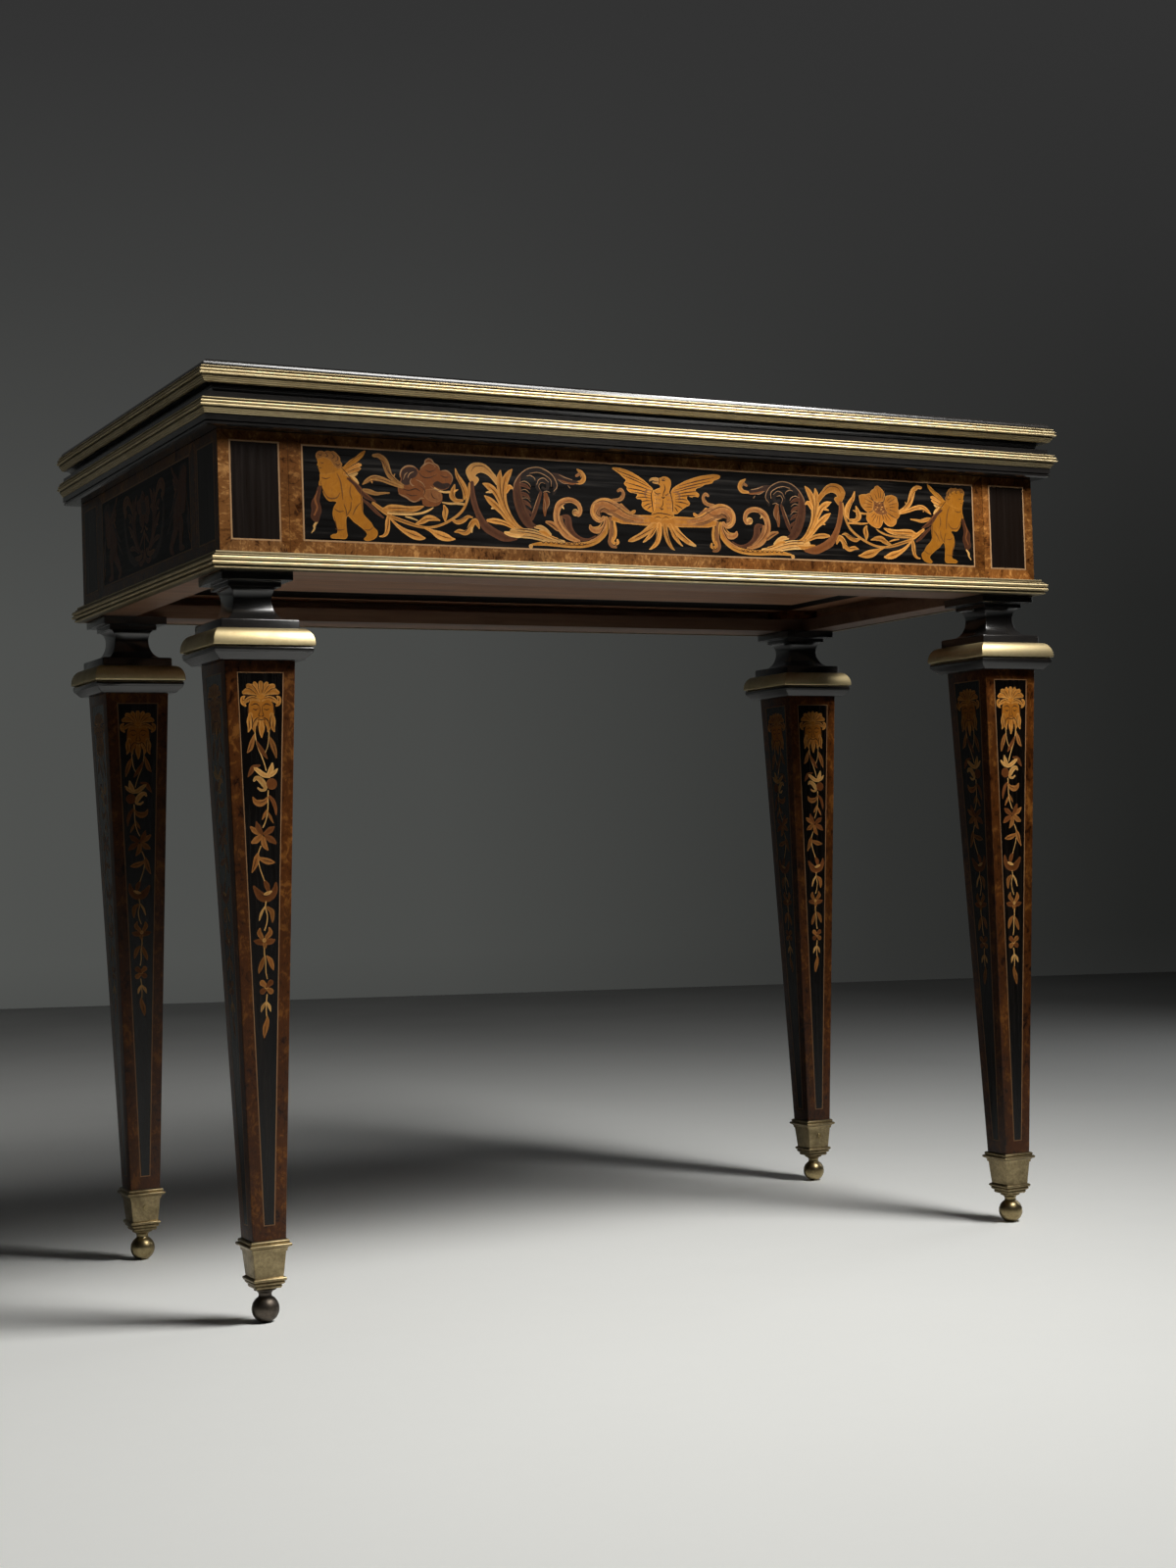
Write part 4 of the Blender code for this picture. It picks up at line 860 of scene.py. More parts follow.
class Shape:
    """Flat shape with a little thickness: points are (x, z, rise) in millimetres, on a face of the table."""

    def __init__(self, tone, points, faces, shades, tint=None):
        self.tone = tone
        self.points = points
        self.faces = faces
        self.shades = shades
        self.tint = tint

    def moved(self, change, mirror=False):
        """The same shape with change(x, z) applied to its points."""
        points = [(*change(x, z), rise) for x, z, rise in self.points]
        faces = [tuple(reversed(face)) for face in self.faces] if mirror else self.faces
        return Shape(self.tone, points, faces, self.shades, self.tint)


def curve_through(points, steps, closed=False):
    """Catmull-Rom curve through points of any size."""
    count = len(points)
    result = []
    for index in range(count if closed else count - 1):
        if closed:
            p0, p1, p2, p3 = (points[(index + k) % count] for k in (-1, 0, 1, 2))
        else:
            p1, p2 = points[index], points[index + 1]
            p0 = points[index - 1] if index else tuple(2 * a - b for a, b in zip(p1, p2))
            p3 = points[index + 2] if index + 2 < count else tuple(2 * a - b for a, b in zip(p2, p1))
        for step in range(steps):
            t = step / steps
            result.append(tuple(0.5 * (2 * b + (c - a) * t + (2 * a - 5 * b + 4 * c - d) * t * t
                                       + (3 * b - a - 3 * c + d) * t ** 3)
                                for a, b, c, d in zip(p0, p1, p2, p3)))
    if not closed:
        result.append(tuple(points[-1]))
    return result


def side_step(before, after, distance):
    """Step of a given length to the left of the way from one point to another."""
    dx, dz = after[0] - before[0], after[1] - before[1]
    length = math.hypot(dx, dz) or 1.0
    return -dz / length * distance, dx / length * distance


def stroke(tone, points, base=INLAY_BASE):
    """Tapering band along (x, z, width) points, with rounded ends."""
    line = [(x, z, max(width, LEAST_WIDTH)) for x, z, width in curve_through(points, 4)]
    ends = []
    for (x, z, width), (px, pz, _) in ((line[0], line[1]), (line[-1], line[-2])):
        length = math.hypot(x - px, z - pz) or 1.0
        ux, uz = (x - px) / length, (z - pz) / length
        ends.append([(x + ux * width / 2 * math.sin(a), z + uz * width / 2 * math.sin(a), width * math.cos(a))
                     for a in (0.6, 1.1, 1.45)])
    line = ends[0][::-1] + line + ends[1]
    count = len(line)
    top = base + INLAY_RISE
    points = []
    shades = []
    for index, (x, z, width) in enumerate(line):
        nx, nz = side_step(line[max(index - 1, 0)], line[min(index + 1, count - 1)], width / 2)
        points += [(x - nx, z - nz, 0.0), (x - nx, z - nz, top), (x, z, top + CROWN), (x + nx, z + nz, top),
                   (x + nx, z + nz, 0.0)]
        shades += [0.0, 0.0, min(1.0, width / 3.0), 0.0, 0.0]
    faces = []
    for here in range(0, 5 * (count - 1), 5):
        faces += [(here + side, here + 5 + side, here + 6 + side, here + 1 + side) for side in range(4)]
        faces.append((here + 4, here + 9, here + 5, here))
    faces.append((0, 1, 2, 3, 4))
    faces.append(tuple(range(len(points) - 1, len(points) - 6, -1)))
    return Shape(tone, points, faces, shades)


def triangles(outline, start, up):
    """Flat cover of an outline, facing up or down, its indices counted from start."""
    faces = []
    for triangle in tessellate_polygon([[Vector((x, z, 0)) for x, z in outline]]):
        a, b, c = (outline[k] for k in triangle)
        rising = (b[0] - a[0]) * (c[1] - a[1]) - (b[1] - a[1]) * (c[0] - a[0]) > 0
        faces.append(tuple(start + k for k in (triangle if rising == up else reversed(triangle))))
    return faces


def patch(tone, outline):
    """Closed flat shape, with a rim of its own shade."""
    rim = curve_through(outline, 3, closed=True)
    if sum(rim[i - 1][0] * rim[i][1] - rim[i][0] * rim[i - 1][1] for i in range(len(rim))) < 0:
        rim.reverse()
    count = len(rim)
    top = INLAY_BASE + INLAY_RISE
    inner = []
    for index, (x, z) in enumerate(rim):
        dx, dz = side_step(rim[index - 1], rim[(index + 1) % count], PATCH_RIM)
        inner.append((x + dx, z + dz))
    points = [(x, z, 0.0) for x, z in rim] + [(x, z, top) for x, z in rim] + [(x, z, top) for x, z in inner]
    faces = []
    for index in range(count):
        turn = (index + 1) % count
        faces.append((index, turn, count + turn, count + index))
        faces.append((count + index, count + turn, 2 * count + turn, 2 * count + index))
    faces += triangles(inner, 2 * count, True) + triangles(rim, 0, False)
    return Shape(tone, points, faces, [0.0] * (2 * count) + [1.0] * count)


def plate(tone, corners, rise, tint=None):
    """Straight-sided piece of veneer, its corners anticlockwise."""
    count = len(corners)
    points = [(x, z, 0.0) for x, z in corners] + [(x, z, rise) for x, z in corners]
    faces = [tuple(reversed(range(count))), tuple(range(count, 2 * count))]
    for index in range(count):
        turn = (index + 1) % count
        faces.append((index, turn, count + turn, count + index))
    return Shape(tone, points, faces, [0.4] * (2 * count), tint)


def strips_between(tones, out, inn, rise, tints=(None,) * 4):
    """Four mitred strips between two rings of corners; tones take turns."""
    return [plate(tones[side % len(tones)], [out[side], out[(side + 1) % 4], inn[(side + 1) % 4], inn[side]],
                  rise, tints[side]) for side in range(4)]


def flipped(shapes):
    """The same shapes, mirrored left to right."""
    return [shape.moved(lambda x, z: (-x, z), mirror=True) for shape in shapes]


def centred(shapes, dx=1.3, dz=-0.6, scale=1.0):
    return [shape.moved(lambda x, z: (dx + scale * x, dz + scale * z)) for shape in shapes]


def retoned(shapes, tones):
    """The same shapes, each tone named in tones changed for another."""
    for shape in shapes:
        shape.tone = tones.get(shape.tone, shape.tone)
    return shapes


def lay(name, shapes, place, made, slot, seed, tones=None, body="carcass"):
    """Make one piece of many flat shapes. place takes (x, z, rise) in millimetres to the table."""
    chance = random.Random(seed)
    names = sorted({shape.tone for shape in shapes})
    points = []
    faces = []
    indices = []
    shades = []
    tints = []
    for number, shape in enumerate(shapes):
        start = len(points)
        lift = STAGGER * (number % STAGGER_STEPS)
        points += [place(x, z, rise + lift if rise > 0 else rise) for x, z, rise in shape.points]
        faces += [tuple(start + index for index in face) for face in shape.faces]
        indices += [names.index(shape.tone)] * len(shape.faces)
        shades += shape.shades
        tint = chance.random() if shape.tint is None else shape.tint
        tints += [tint] * len(shape.points)
    materials = [made[(tones or {}).get(tone, tone)] for tone in names]
    new_piece(name, points, faces, materials, slot, body, indices=indices,
              layers={"shade": shades, "tint": tints}, crease=0)


# drawing of the marquetry, in millimetres

def draw(patches=(), strokes=()):
    shapes = [patch(tone, outline) for tone, outline in patches]
    return shapes + [stroke(tone, line) for tone, line in strokes]


def engrave(lines, tone="cut"):
    return [stroke(tone, line, ENGRAVED_TOP - INLAY_RISE) for line in lines]


def sided(side, line):
    """The same line, or its mirror image where side is -1."""
    return [(side * x, z, width) for x, z, width in line]


def quills(ends, rise, widths):
    """Thin lines between (x0, z0, x1, z1) ends, their middle raised."""
    return [[(x0, z0, widths[0]), (0.5 * (x0 + x1), 0.5 * (z0 + z1) + rise, widths[1]), (x1, z1, widths[2])]
            for x0, z0, x1, z1 in ends]


def winged_boy():
    """Winged boy who leans on his ribbon. His head is a plain calm child's head."""
    shapes = draw([
        ("rose", [(-329, 680), (-330.5, 677), (-332, 672), (-335, 668), (-336, 664), (-335.5, 660),
                  (-336.5, 655), (-334.5, 651.5), (-331.5, 650), (-329.5, 651.5), (-328.5, 655), (-327, 659),
                  (-327.3, 663), (-328.5, 667), (-328, 671), (-327, 676), (-326.8, 679.5)]),
    ], [
        ("bloom", [(-330, 676, 0.6), (-332.4, 669, 1.6), (-330.6, 662.5, 1.5), (-333.2, 656, 1.2)]),
        ("pale", [(-331, 650.5, 1.6), (-333.4, 647.4, 2.2), (-333.6, 644.6, 1.6), (-336, 641.4, 0.8)]),
        ("rose", [(-303, 687.5, 2), (-297, 683.5, 3.6), (-291.5, 677.5, 5), (-286, 673, 4),
                  (-279, 669.5, 1.2)]),
        ("bloom", [(-301, 687.4, 0.5), (-295, 683.4, 1.2), (-288.6, 676.6, 1.3), (-282, 672, 0.6)]),
        ("rose", [(-290, 670.5, 2), (-284, 666, 3), (-278, 660.5, 3), (-272.5, 656.5, 1.6)]),
        ("boy", [(-306, 693, 6.6), (-300, 700.2, 5.0), (-294, 704.6, 4.0), (-290, 708.4, 3.6),
                 (-287.4, 711, 1.6)]),
        ("gold", [(-305, 693, 4.4), (-299, 696.6, 4.4), (-294.6, 698.8, 4.4), (-291.6, 699.4, 2.4)]),
        ("gold", [(-305, 691.5, 3.6), (-299, 693.8, 3.8), (-294.4, 695.4, 3.4), (-291.8, 696.4, 1.6)]),
        ("pale", [(-303, 690.5, 2.2), (-297.4, 691, 2.6), (-294.6, 692.2, 1.4)]),
        ("pale", [(-300, 690, 1.8), (-296.6, 687, 3.0), (-294.2, 684.2, 2.0)]),
    ])
    shapes += draw([
        ("boy", [(-328.5, 680.5), (-328.5, 683), (-327.5, 686), (-327.4, 690), (-325, 693), (-320, 695),
                 (-313, 696), (-308, 697), (-304, 696), (-300, 693), (-297, 690), (-295.5, 687),
                 (-293.5, 683), (-291.5, 680), (-291, 675), (-290.5, 670), (-290.3, 664), (-290, 659),
                 (-287, 655.5), (-283, 651.5), (-281, 648), (-278, 645.2), (-278, 641.5), (-280.5, 638.5),
                 (-284.5, 636.8), (-288.5, 636.5), (-290.3, 638), (-288, 640.3), (-287.3, 642.3),
                 (-289.5, 645), (-294, 648.5), (-299, 651.8), (-301.5, 654.5), (-304, 656.3), (-305.4, 653.5),
                 (-305.4, 648), (-305, 643), (-304.6, 640), (-306.5, 637.4), (-312, 637.2), (-318.5, 637.4),
                 (-319.6, 639.5), (-317, 641), (-314.5, 641.5), (-313.3, 644), (-314.5, 649), (-316.8, 654.5),
                 (-317, 659.5), (-315.8, 664), (-313.5, 667.3), (-316, 668.2), (-320, 668), (-323.3, 671),
                 (-325.2, 675), (-325.2, 678.5), (-326.5, 680.5)]),
        ("boy", [(-312, 693), (-316, 691.2), (-320, 690.2), (-324, 689.6), (-326.8, 690.4), (-327.8, 692.4),
                 (-328.2, 694.2), (-328.8, 695.2), (-328.4, 696.4), (-329.8, 697.6), (-329.0, 699.4),
                 (-329.6, 701.6), (-328.8, 704.6), (-326, 706.6), (-320, 707), (-314, 704), (-309.6, 699),
                 (-308.6, 695)]),
        ("hair", [(-330.2, 703), (-330.6, 706), (-328.6, 708.6), (-325.4, 709.4), (-323, 708.6),
                  (-320.6, 709.8), (-317.4, 709.2), (-315, 709.6), (-312.4, 708), (-310.8, 706.2),
                  (-309.4, 704.4), (-309.2, 701.6), (-307.6, 699.4), (-308.6, 696.8), (-310.4, 695.2),
                  (-313.2, 696), (-315.6, 698.2), (-317.2, 701), (-320.4, 703), (-324.4, 703.8),
                  (-327.6, 702.6)]),
    ])
    shapes += engrave([
        [(-322, 708, 0.4), (-320.2, 705.4, 0.8), (-322.4, 704.4, 0.4)],
        [(-316.4, 707.8, 0.4), (-314.4, 705.2, 0.8), (-316.6, 703.4, 0.4)],
        [(-311.6, 705.6, 0.4), (-311.4, 702.6, 0.8), (-313.6, 701.4, 0.4)],
        [(-313.4, 699.2, 0.4), (-311.2, 698.0, 0.7), (-309.6, 699.4, 0.4)],
        [(-328.4, 706.4, 0.4), (-326.4, 705.4, 0.7), (-325.4, 707.2, 0.4)],
        [(-326.6, 699.6, 0.3), (-325.2, 699.1, 0.6), (-323.8, 699.7, 0.3)],
        [(-328.2, 695.2, 0.3), (-326.6, 695.0, 0.5), (-325.6, 695.4, 0.3)],
    ])
    shapes += engrave([
        [(-302.5, 696, 0.3), (-297, 699.6, 0.7), (-291, 702.2, 0.3)],
        [(-303, 692.9, 0.3), (-298, 695.2, 0.6), (-293, 697.2, 0.3)],
        [(-304, 698.6, 0.3), (-298, 703.6, 0.5), (-291.4, 707.8, 0.3)],
        [(-302, 690.6, 0.3), (-297.6, 692.2, 0.5), (-294, 693.6, 0.3)],
        [(-308.6, 696.6, 0.4), (-305.6, 693.6, 0.7), (-302, 689.4, 0.7), (-299, 685.6, 0.5)],
        [(-304.8, 656.6, 0.4), (-305.4, 661.6, 0.6), (-307, 666, 0.3)],
    ])
    return shapes + engrave([
        [(-312.4, 691.5, 0.5), (-309.6, 685, 1.0), (-308.4, 677, 1.0), (-307.8, 670, 0.5)],
        [(-324.4, 674.6, 0.4), (-320, 670.6, 1.1), (-313.6, 671, 1.1), (-310, 675.5, 0.4)],
        [(-326.4, 687.6, 0.4), (-322.4, 686.4, 1.0), (-318.6, 687.8, 0.4)],
        [(-300.4, 682.6, 0.4), (-301.4, 676, 1.0), (-299.6, 670, 0.4)],
        [(-292.4, 668, 0.4), (-296.4, 663.6, 1.0), (-299.6, 657.4, 0.4)],
        [(-315.4, 662, 0.4), (-311.6, 659.8, 0.9), (-307.4, 660.4, 0.4)],
        [(-315, 645.5, 0.4), (-311.6, 644.4, 0.8), (-307, 645.4, 0.4)],
        [(-289.4, 645.6, 0.4), (-285, 645.6, 0.9), (-281.6, 648.2, 0.4)],
        [(-305.2, 656.4, 0.5), (-301.4, 662, 1.0), (-300.6, 668, 0.5)],
        [(-327, 684, 0.3), (-325.2, 677.4, 0.7), (-322.6, 672.4, 0.4)],
        [(-313.2, 644.2, 0.4), (-314.6, 650, 0.8), (-316, 656, 0.4)],
        [(-291.6, 679, 0.4), (-291.4, 668, 0.8), (-290.6, 660, 0.4)],
    ], "sepia")


def dark_blossom():
    """Brown blossom on the left, edged with fine pale lines."""
    outline = [(-258, 678), (-258.5, 684), (-256, 688), (-255.5, 690), (-256, 694), (-254, 698),
               (-250, 700.5), (-245, 700.8), (-241, 699.5), (-238.5, 697), (-237, 700), (-233.5, 703),
               (-233, 706), (-230, 708.2), (-227, 707.5), (-225, 704.5), (-221.5, 702.5), (-220, 699),
               (-217, 698.5), (-213, 698.5), (-209.5, 696), (-208, 693), (-208.3, 690), (-210.5, 686.5),
               (-213, 683.5), (-218, 682), (-221, 682.5), (-218, 678), (-218.5, 673), (-221, 669.5),
               (-226, 667.8), (-232, 667.5), (-236, 669), (-237, 673), (-240, 671.5), (-244, 670.5),
               (-248, 671.5), (-252, 674), (-255, 675)]
    shapes = draw([
        ("bloom", outline),
        ("umber", [(-255.2, 686.5), (-254.8, 690), (-255.2, 694), (-253.4, 697.4), (-250, 699.6),
                   (-245, 699.9), (-241.4, 698.8), (-240, 695), (-242.6, 691.6), (-246.6, 689.6),
                   (-247.6, 685.6), (-251.4, 684.6)]),
        ("umber", [(-222.4, 689.6), (-217.6, 687.8), (-212.6, 688.4), (-210.4, 686.8), (-213.2, 683.9),
                   (-218, 682.6), (-222, 683.6), (-226.6, 686.2)]),
        ("tan", [(-235, 680.6), (-228.4, 682.6), (-221.6, 682), (-218.8, 677.6), (-219.4, 673.4),
                 (-224, 671.4), (-230.4, 672.6), (-234.6, 676)]),
    ])
    shapes += engrave([
        [(-256.2, 691, 0.3), (-256, 694.4, 0.9), (-253.8, 698.4, 1.0), (-249.6, 700.8, 1.0),
         (-244.6, 700.9, 0.9), (-241.4, 699.6, 0.3)],
        [(-237.6, 699.4, 0.3), (-233.6, 703.4, 0.9), (-232.8, 706.2, 0.9), (-229.8, 708, 1.0),
         (-226.8, 707, 0.9), (-224.8, 704.4, 0.9), (-221.2, 702.4, 0.8), (-219.8, 699.4, 0.3)],
        [(-218.4, 698.4, 0.3), (-213.4, 698.6, 0.9), (-209.6, 696, 0.9), (-208.1, 692.6, 0.8),
         (-209, 689.2, 0.3)],
        [(-234.6, 701.6, 0.3), (-230.4, 704.4, 0.8), (-226, 703.6, 0.4), (-223.6, 701, 0.3)],
        [(-246.2, 690.4, 0.3), (-247.2, 687.2, 1.0), (-245.2, 684.6, 1.0), (-243.4, 684.6, 0.3)],
        [(-253.4, 689, 0.3), (-251.6, 693.4, 0.8), (-249.2, 695.4, 0.3)],
        [(-249.4, 690.6, 0.3), (-247.4, 694.4, 0.8), (-243.6, 696.4, 0.3)],
        [(-257.8, 677, 0.4), (-251.4, 674.6, 1.0), (-247.6, 672, 0.9), (-243.8, 670.9, 0.9),
         (-240, 672.6, 0.4)],
        [(-240.6, 672.2, 0.3), (-237.6, 674.4, 0.8), (-234.6, 674, 0.3)],
        [(-228.4, 684.6, 0.3), (-224.6, 682.4, 0.9), (-220.6, 681.4, 0.8)],
        [(-241.6, 689.6, 0.3), (-236.4, 687.4, 0.8), (-233.6, 683.6, 0.3)],
    ], "string")
    return shapes + engrave([
        [(-239.4, 696.4, 0.4), (-235.4, 692.4, 0.8), (-229.6, 692, 0.8), (-223.4, 694.4, 0.4)],
        [(-233, 698.4, 0.3), (-229, 697, 1.0), (-224, 698.8, 0.3)],
        [(-219.4, 694.6, 0.3), (-215.4, 693, 1.0), (-211, 693.4, 0.3)],
        [(-254.4, 681.4, 0.3), (-248.4, 680.4, 0.8), (-242.4, 682, 1.0), (-238, 680, 0.3)],
        [(-251, 677.4, 0.3), (-246, 676, 0.9), (-241, 676.6, 0.3)],
        [(-238.4, 684.6, 0.3), (-234, 681, 0.8), (-235.4, 676.4, 0.4)],
        [(-228.4, 679.6, 0.3), (-226.4, 675.4, 0.8), (-222.8, 674, 0.3)],
    ])


def gold_blossom():
    """Golden blossom on the right, its notched petals round a brown heart."""
    shapes = draw([
        ("gold", [(219.5, 681.6), (214.5, 683.6), (211.2, 686.6), (209, 690.4), (208.2, 694.4),
                  (208.2, 697.2), (211.2, 698.6), (216, 698.9), (220.4, 699.8), (224, 694), (224, 687)]),
        ("gold", [(220.4, 698.6), (221.6, 702.2), (225.8, 705), (227, 707), (230, 707.4), (233.6, 705.2),
                  (236.4, 702.2), (237.6, 698.6), (235, 693), (228, 692.4), (222.6, 694)]),
        ("gold", [(237.4, 697.2), (240.8, 698.8), (246, 699.3), (250.6, 697.6), (251.8, 694.6),
                  (252.8, 690.4), (252.2, 687.2), (254.4, 683), (252.8, 678.6), (249, 676.6), (243, 680),
                  (238, 685), (236, 691)]),
        ("gold", [(249.8, 677.6), (249.8, 673.6), (247.2, 670.6), (242.8, 669.4), (238, 671.2),
                  (234.6, 675.4), (235, 680.6), (240, 683), (246, 681)]),
        ("gold", [(234, 681), (234.8, 675), (232.6, 669.8), (229, 667.4), (223.8, 668.4), (218.4, 671.6),
                  (215.6, 676), (217, 681.4), (222, 685), (229, 684)]),
        ("tan", [(223.4, 690), (224.2, 693.2), (228, 694.6), (232.6, 694.4), (237, 692.8), (240.4, 689.8),
                 (241.4, 686.2), (240, 682.4), (236.4, 680.4), (231.6, 680.2), (227, 681.6), (223.6, 685.4)]),
    ])
    middle_x, middle_z = BLOSSOM
    hatching = []
    for degrees, near, far in ((100, 9, 17), (88, 9, 15), (74, 9, 17), (118, 9, 14), (158, 10.5, 20),
                               (146, 10.5, 17), (170, 10.5, 20), (182, 10.5, 18), (28, 10.5, 19),
                               (40, 10, 16), (14, 10.5, 19), (2, 10.5, 17), (-12, 10.5, 19), (-48, 9, 17),
                               (-62, 9, 15), (-34, 9.5, 15), (-98, 8.6, 17), (-112, 9, 17), (-126, 9.5, 18),
                               (-138, 10, 15)):
        c, s = math.cos(math.radians(degrees)), math.sin(math.radians(degrees))
        hatching.append([(middle_x + reach * c, middle_z + reach * s, width)
                         for reach, width in ((near, 0.9), (0.5 * (near + far), 0.7), (far, 0.25))])
    shapes += engrave(hatching, "sepia")
    specks = []
    for index in range(15):
        angle = 2.4 * index
        reach = 1.5 * math.sqrt(index + 0.5)
        x = middle_x + 1.25 * reach * math.cos(angle)
        z = middle_z + 0.95 * reach * math.sin(angle)
        specks.append([(x - 0.6, z, 0.8), (x + 0.6, z + 0.2, 0.8)])
    shapes += engrave(specks[::2], "gold")
    shapes += engrave(specks[1::2])
    return shapes + engrave([
        [(220.6, 698.6, 0.4), (222.8, 695, 0.8), (224.6, 692.6, 0.4)],
        [(237.4, 697.6, 0.4), (236.6, 694.6, 0.9), (236, 692.6, 0.4)],
        [(249.6, 677.4, 0.4), (245, 679.6, 0.9), (240.6, 682, 0.4)],
        [(234.8, 675.6, 0.4), (234.6, 678.4, 0.9), (234, 680.6, 0.4)],
        [(218.4, 681.8, 0.4), (221.4, 683, 0.8), (224.4, 684.8, 0.4)],
    ])


def spray():
    """Leafy stems between the boy and the acanthus scroll."""
    shapes = draw([], [
        ("leaf", [(-279.5, 708, 2.6), (-274.5, 707.9, 4), (-270, 704, 5.5), (-267.8, 698, 6.0),
                  (-265.3, 692, 5.0), (-260, 687.5, 3.6), (-254, 684.5, 2.2)]),
        ("leaf", [(-263, 689.5, 2.4), (-260.8, 693.5, 0.7)]),
        ("leaf", [(-290, 683.3, 0.8), (-286, 686.5, 3.6), (-280, 689.2, 4.6), (-273, 688.6, 4.2),
                  (-266, 686.2, 3.6), (-259, 684, 3), (-254, 682.6, 2)]),
        ("gold", [(-282, 687.5, 2), (-281.5, 685, 0.8)]),
        ("leaf", [(-289, 678.7, 2.6), (-284, 677.6, 4.2), (-278, 676.2, 3), (-272, 676.9, 2),
                  (-266.5, 677.3, 1.2)]),
        ("gold", [(-281, 668, 2.6), (-275, 664, 3.6), (-270, 660.8, 3.8), (-266, 658.6, 3)]),
        ("gold", [(-272, 663, 3), (-266, 664.4, 6.2), (-258, 664.7, 6), (-250, 664.2, 5.4),
                  (-242, 665.4, 4.4), (-236, 667.4, 1.5)]),
        ("pale", [(-268, 660.1, 1.6), (-258, 660, 1.8), (-248, 660.2, 1.8), (-238, 661.6, 1.8),
                  (-231, 664.2, 1.7), (-226.8, 666.6, 0.7)]),
        ("pale", [(-252, 658, 1.2), (-246.5, 657, 1.7), (-241.5, 655.4, 0.8)]),
        ("gold", [(-267.5, 658, 2.6), (-268.5, 653, 4.2), (-268.8, 648, 4.2), (-269.8, 643.8, 3.4),
                  (-272.5, 641.2, 2.2), (-276, 640.6, 1)]),
        ("gold", [(-266, 656, 1.6), (-259.5, 650, 2.8), (-252, 645.4, 4.6), (-245, 642.8, 6.8),
                  (-239, 641, 4.6), (-235.3, 640.6, 1.6)]),
        ("gold", [(-267, 658, 2.8), (-258, 655.2, 3.1), (-250, 652.8, 3.1), (-242, 650.7, 2.5),
                  (-234, 649.7, 2.1), (-226, 650.6, 2.1), (-218, 653.2, 2.1), (-211, 656.8, 2.2),
                  (-204, 661.5, 2.2), (-199, 666.5, 2.2), (-196, 672, 2.2), (-194, 678, 2.4),
                  (-193, 684, 2.4), (-192.4, 689, 1.6)]),
        ("gold", [(-243, 652, 1.8), (-236.5, 655, 4.6), (-232, 657.6, 5.2), (-226.5, 657.6, 4),
                  (-221, 656.2, 0.9)]),
        ("gold", [(-216, 656.2, 1.6), (-216.2, 661, 4.8), (-215.4, 665, 4.8), (-216.8, 668.8, 1.8)]),
        ("gold", [(-209.5, 657.2, 1.8), (-205, 655.2, 3.6), (-199.5, 657, 4), (-194.5, 660.4, 2.8),
                  (-190.5, 660, 0.9)]),
        ("gold", [(-235, 649.4, 1.6), (-229, 647, 3), (-222, 643.8, 7), (-215.5, 642, 6.6),
                  (-210.5, 641, 3.2), (-207.5, 640.9, 1)]),
        ("pale", [(-198.5, 671, 2), (-205, 671.2, 1.9), (-212, 670.9, 1.7), (-218, 671.6, 1)]),
        ("gold", [(-199.5, 674, 2), (-205.5, 673.8, 3.6), (-209, 677.2, 5.2), (-208, 682, 4.4),
                  (-206.3, 687, 1.2)]),
        ("gold", [(-207, 681.5, 2), (-203.5, 683, 0.9)]),
        ("pale", [(-211.5, 680.8, 2), (-216, 680.4, 1.7), (-221, 681.4, 1.6), (-225, 683.6, 0.9)]),
        ("gold", [(-205.3, 700.8, 0.9), (-203.6, 695, 3.4), (-200.2, 690, 4.6), (-197.4, 685, 5.2),
                  (-196.6, 679.5, 4.6), (-197.8, 675.4, 1.8)]),
        ("gold", [(-207.5, 647, 1), (-203, 647.8, 3.8), (-198, 646.5, 4.2), (-194, 649, 4.8),
                  (-191.5, 654, 5.2), (-188, 657.2, 4.6), (-185.6, 653.8, 3.2), (-184.6, 651.2, 1.4)]),
        ("pale", [(-191.8, 650.5, 2.6), (-191.6, 647.4, 1.2)]),
    ])
    return shapes + engrave([
        [(-277, 688.6, 0.3), (-270, 687.5, 0.6), (-262, 684.8, 0.3)],
        [(-268.8, 702, 0.3), (-267.4, 696, 0.6), (-262, 690, 0.3)],
        [(-268, 664.8, 0.3), (-258, 665, 0.7), (-246, 665, 0.3)],
        [(-238, 655.2, 0.3), (-232, 657.2, 0.6), (-227, 657, 0.3)],
        [(-224, 644.6, 0.3), (-217.5, 642.4, 0.7), (-212, 641.4, 0.3)],
        [(-252, 645.6, 0.3), (-245.5, 643, 0.7), (-240, 641.6, 0.3)],
        [(-207.6, 684, 0.3), (-208.2, 679, 0.6), (-206, 675.2, 0.3)],
        [(-276.4, 705.6, 0.3), (-271.4, 703.4, 0.7), (-269.4, 699, 0.4)],
        [(-267.4, 700, 0.3), (-265, 693.4, 0.7), (-259, 687.6, 0.4)],
        [(-286.6, 684.8, 0.3), (-281, 686.8, 0.7), (-274.4, 686.6, 0.4)],
        [(-284.4, 688.4, 0.3), (-279, 690.2, 0.6), (-273.6, 689.8, 0.3)],
        [(-204.6, 698, 0.3), (-202.6, 691.6, 0.7), (-198.6, 684, 0.7), (-197.2, 678, 0.3)],
        [(-204.2, 647.8, 0.3), (-198.6, 647.6, 0.7), (-194.6, 651.4, 0.7), (-191, 656.6, 0.4)],
        [(-206, 655.6, 0.3), (-200.4, 658.2, 0.7), (-195.6, 660.4, 0.3)],
        [(-216.2, 659, 0.3), (-215.8, 664, 0.7), (-216.6, 667.6, 0.3)],
        [(-267.6, 655.4, 0.3), (-268.4, 649.6, 0.7), (-270.4, 643.8, 0.3)],
        [(-264, 662.6, 0.3), (-255, 662.4, 0.6), (-246, 662.8, 0.3)],
        [(-262, 656.6, 0.3), (-252, 653.6, 0.6), (-240, 650.4, 0.3)],
    ])


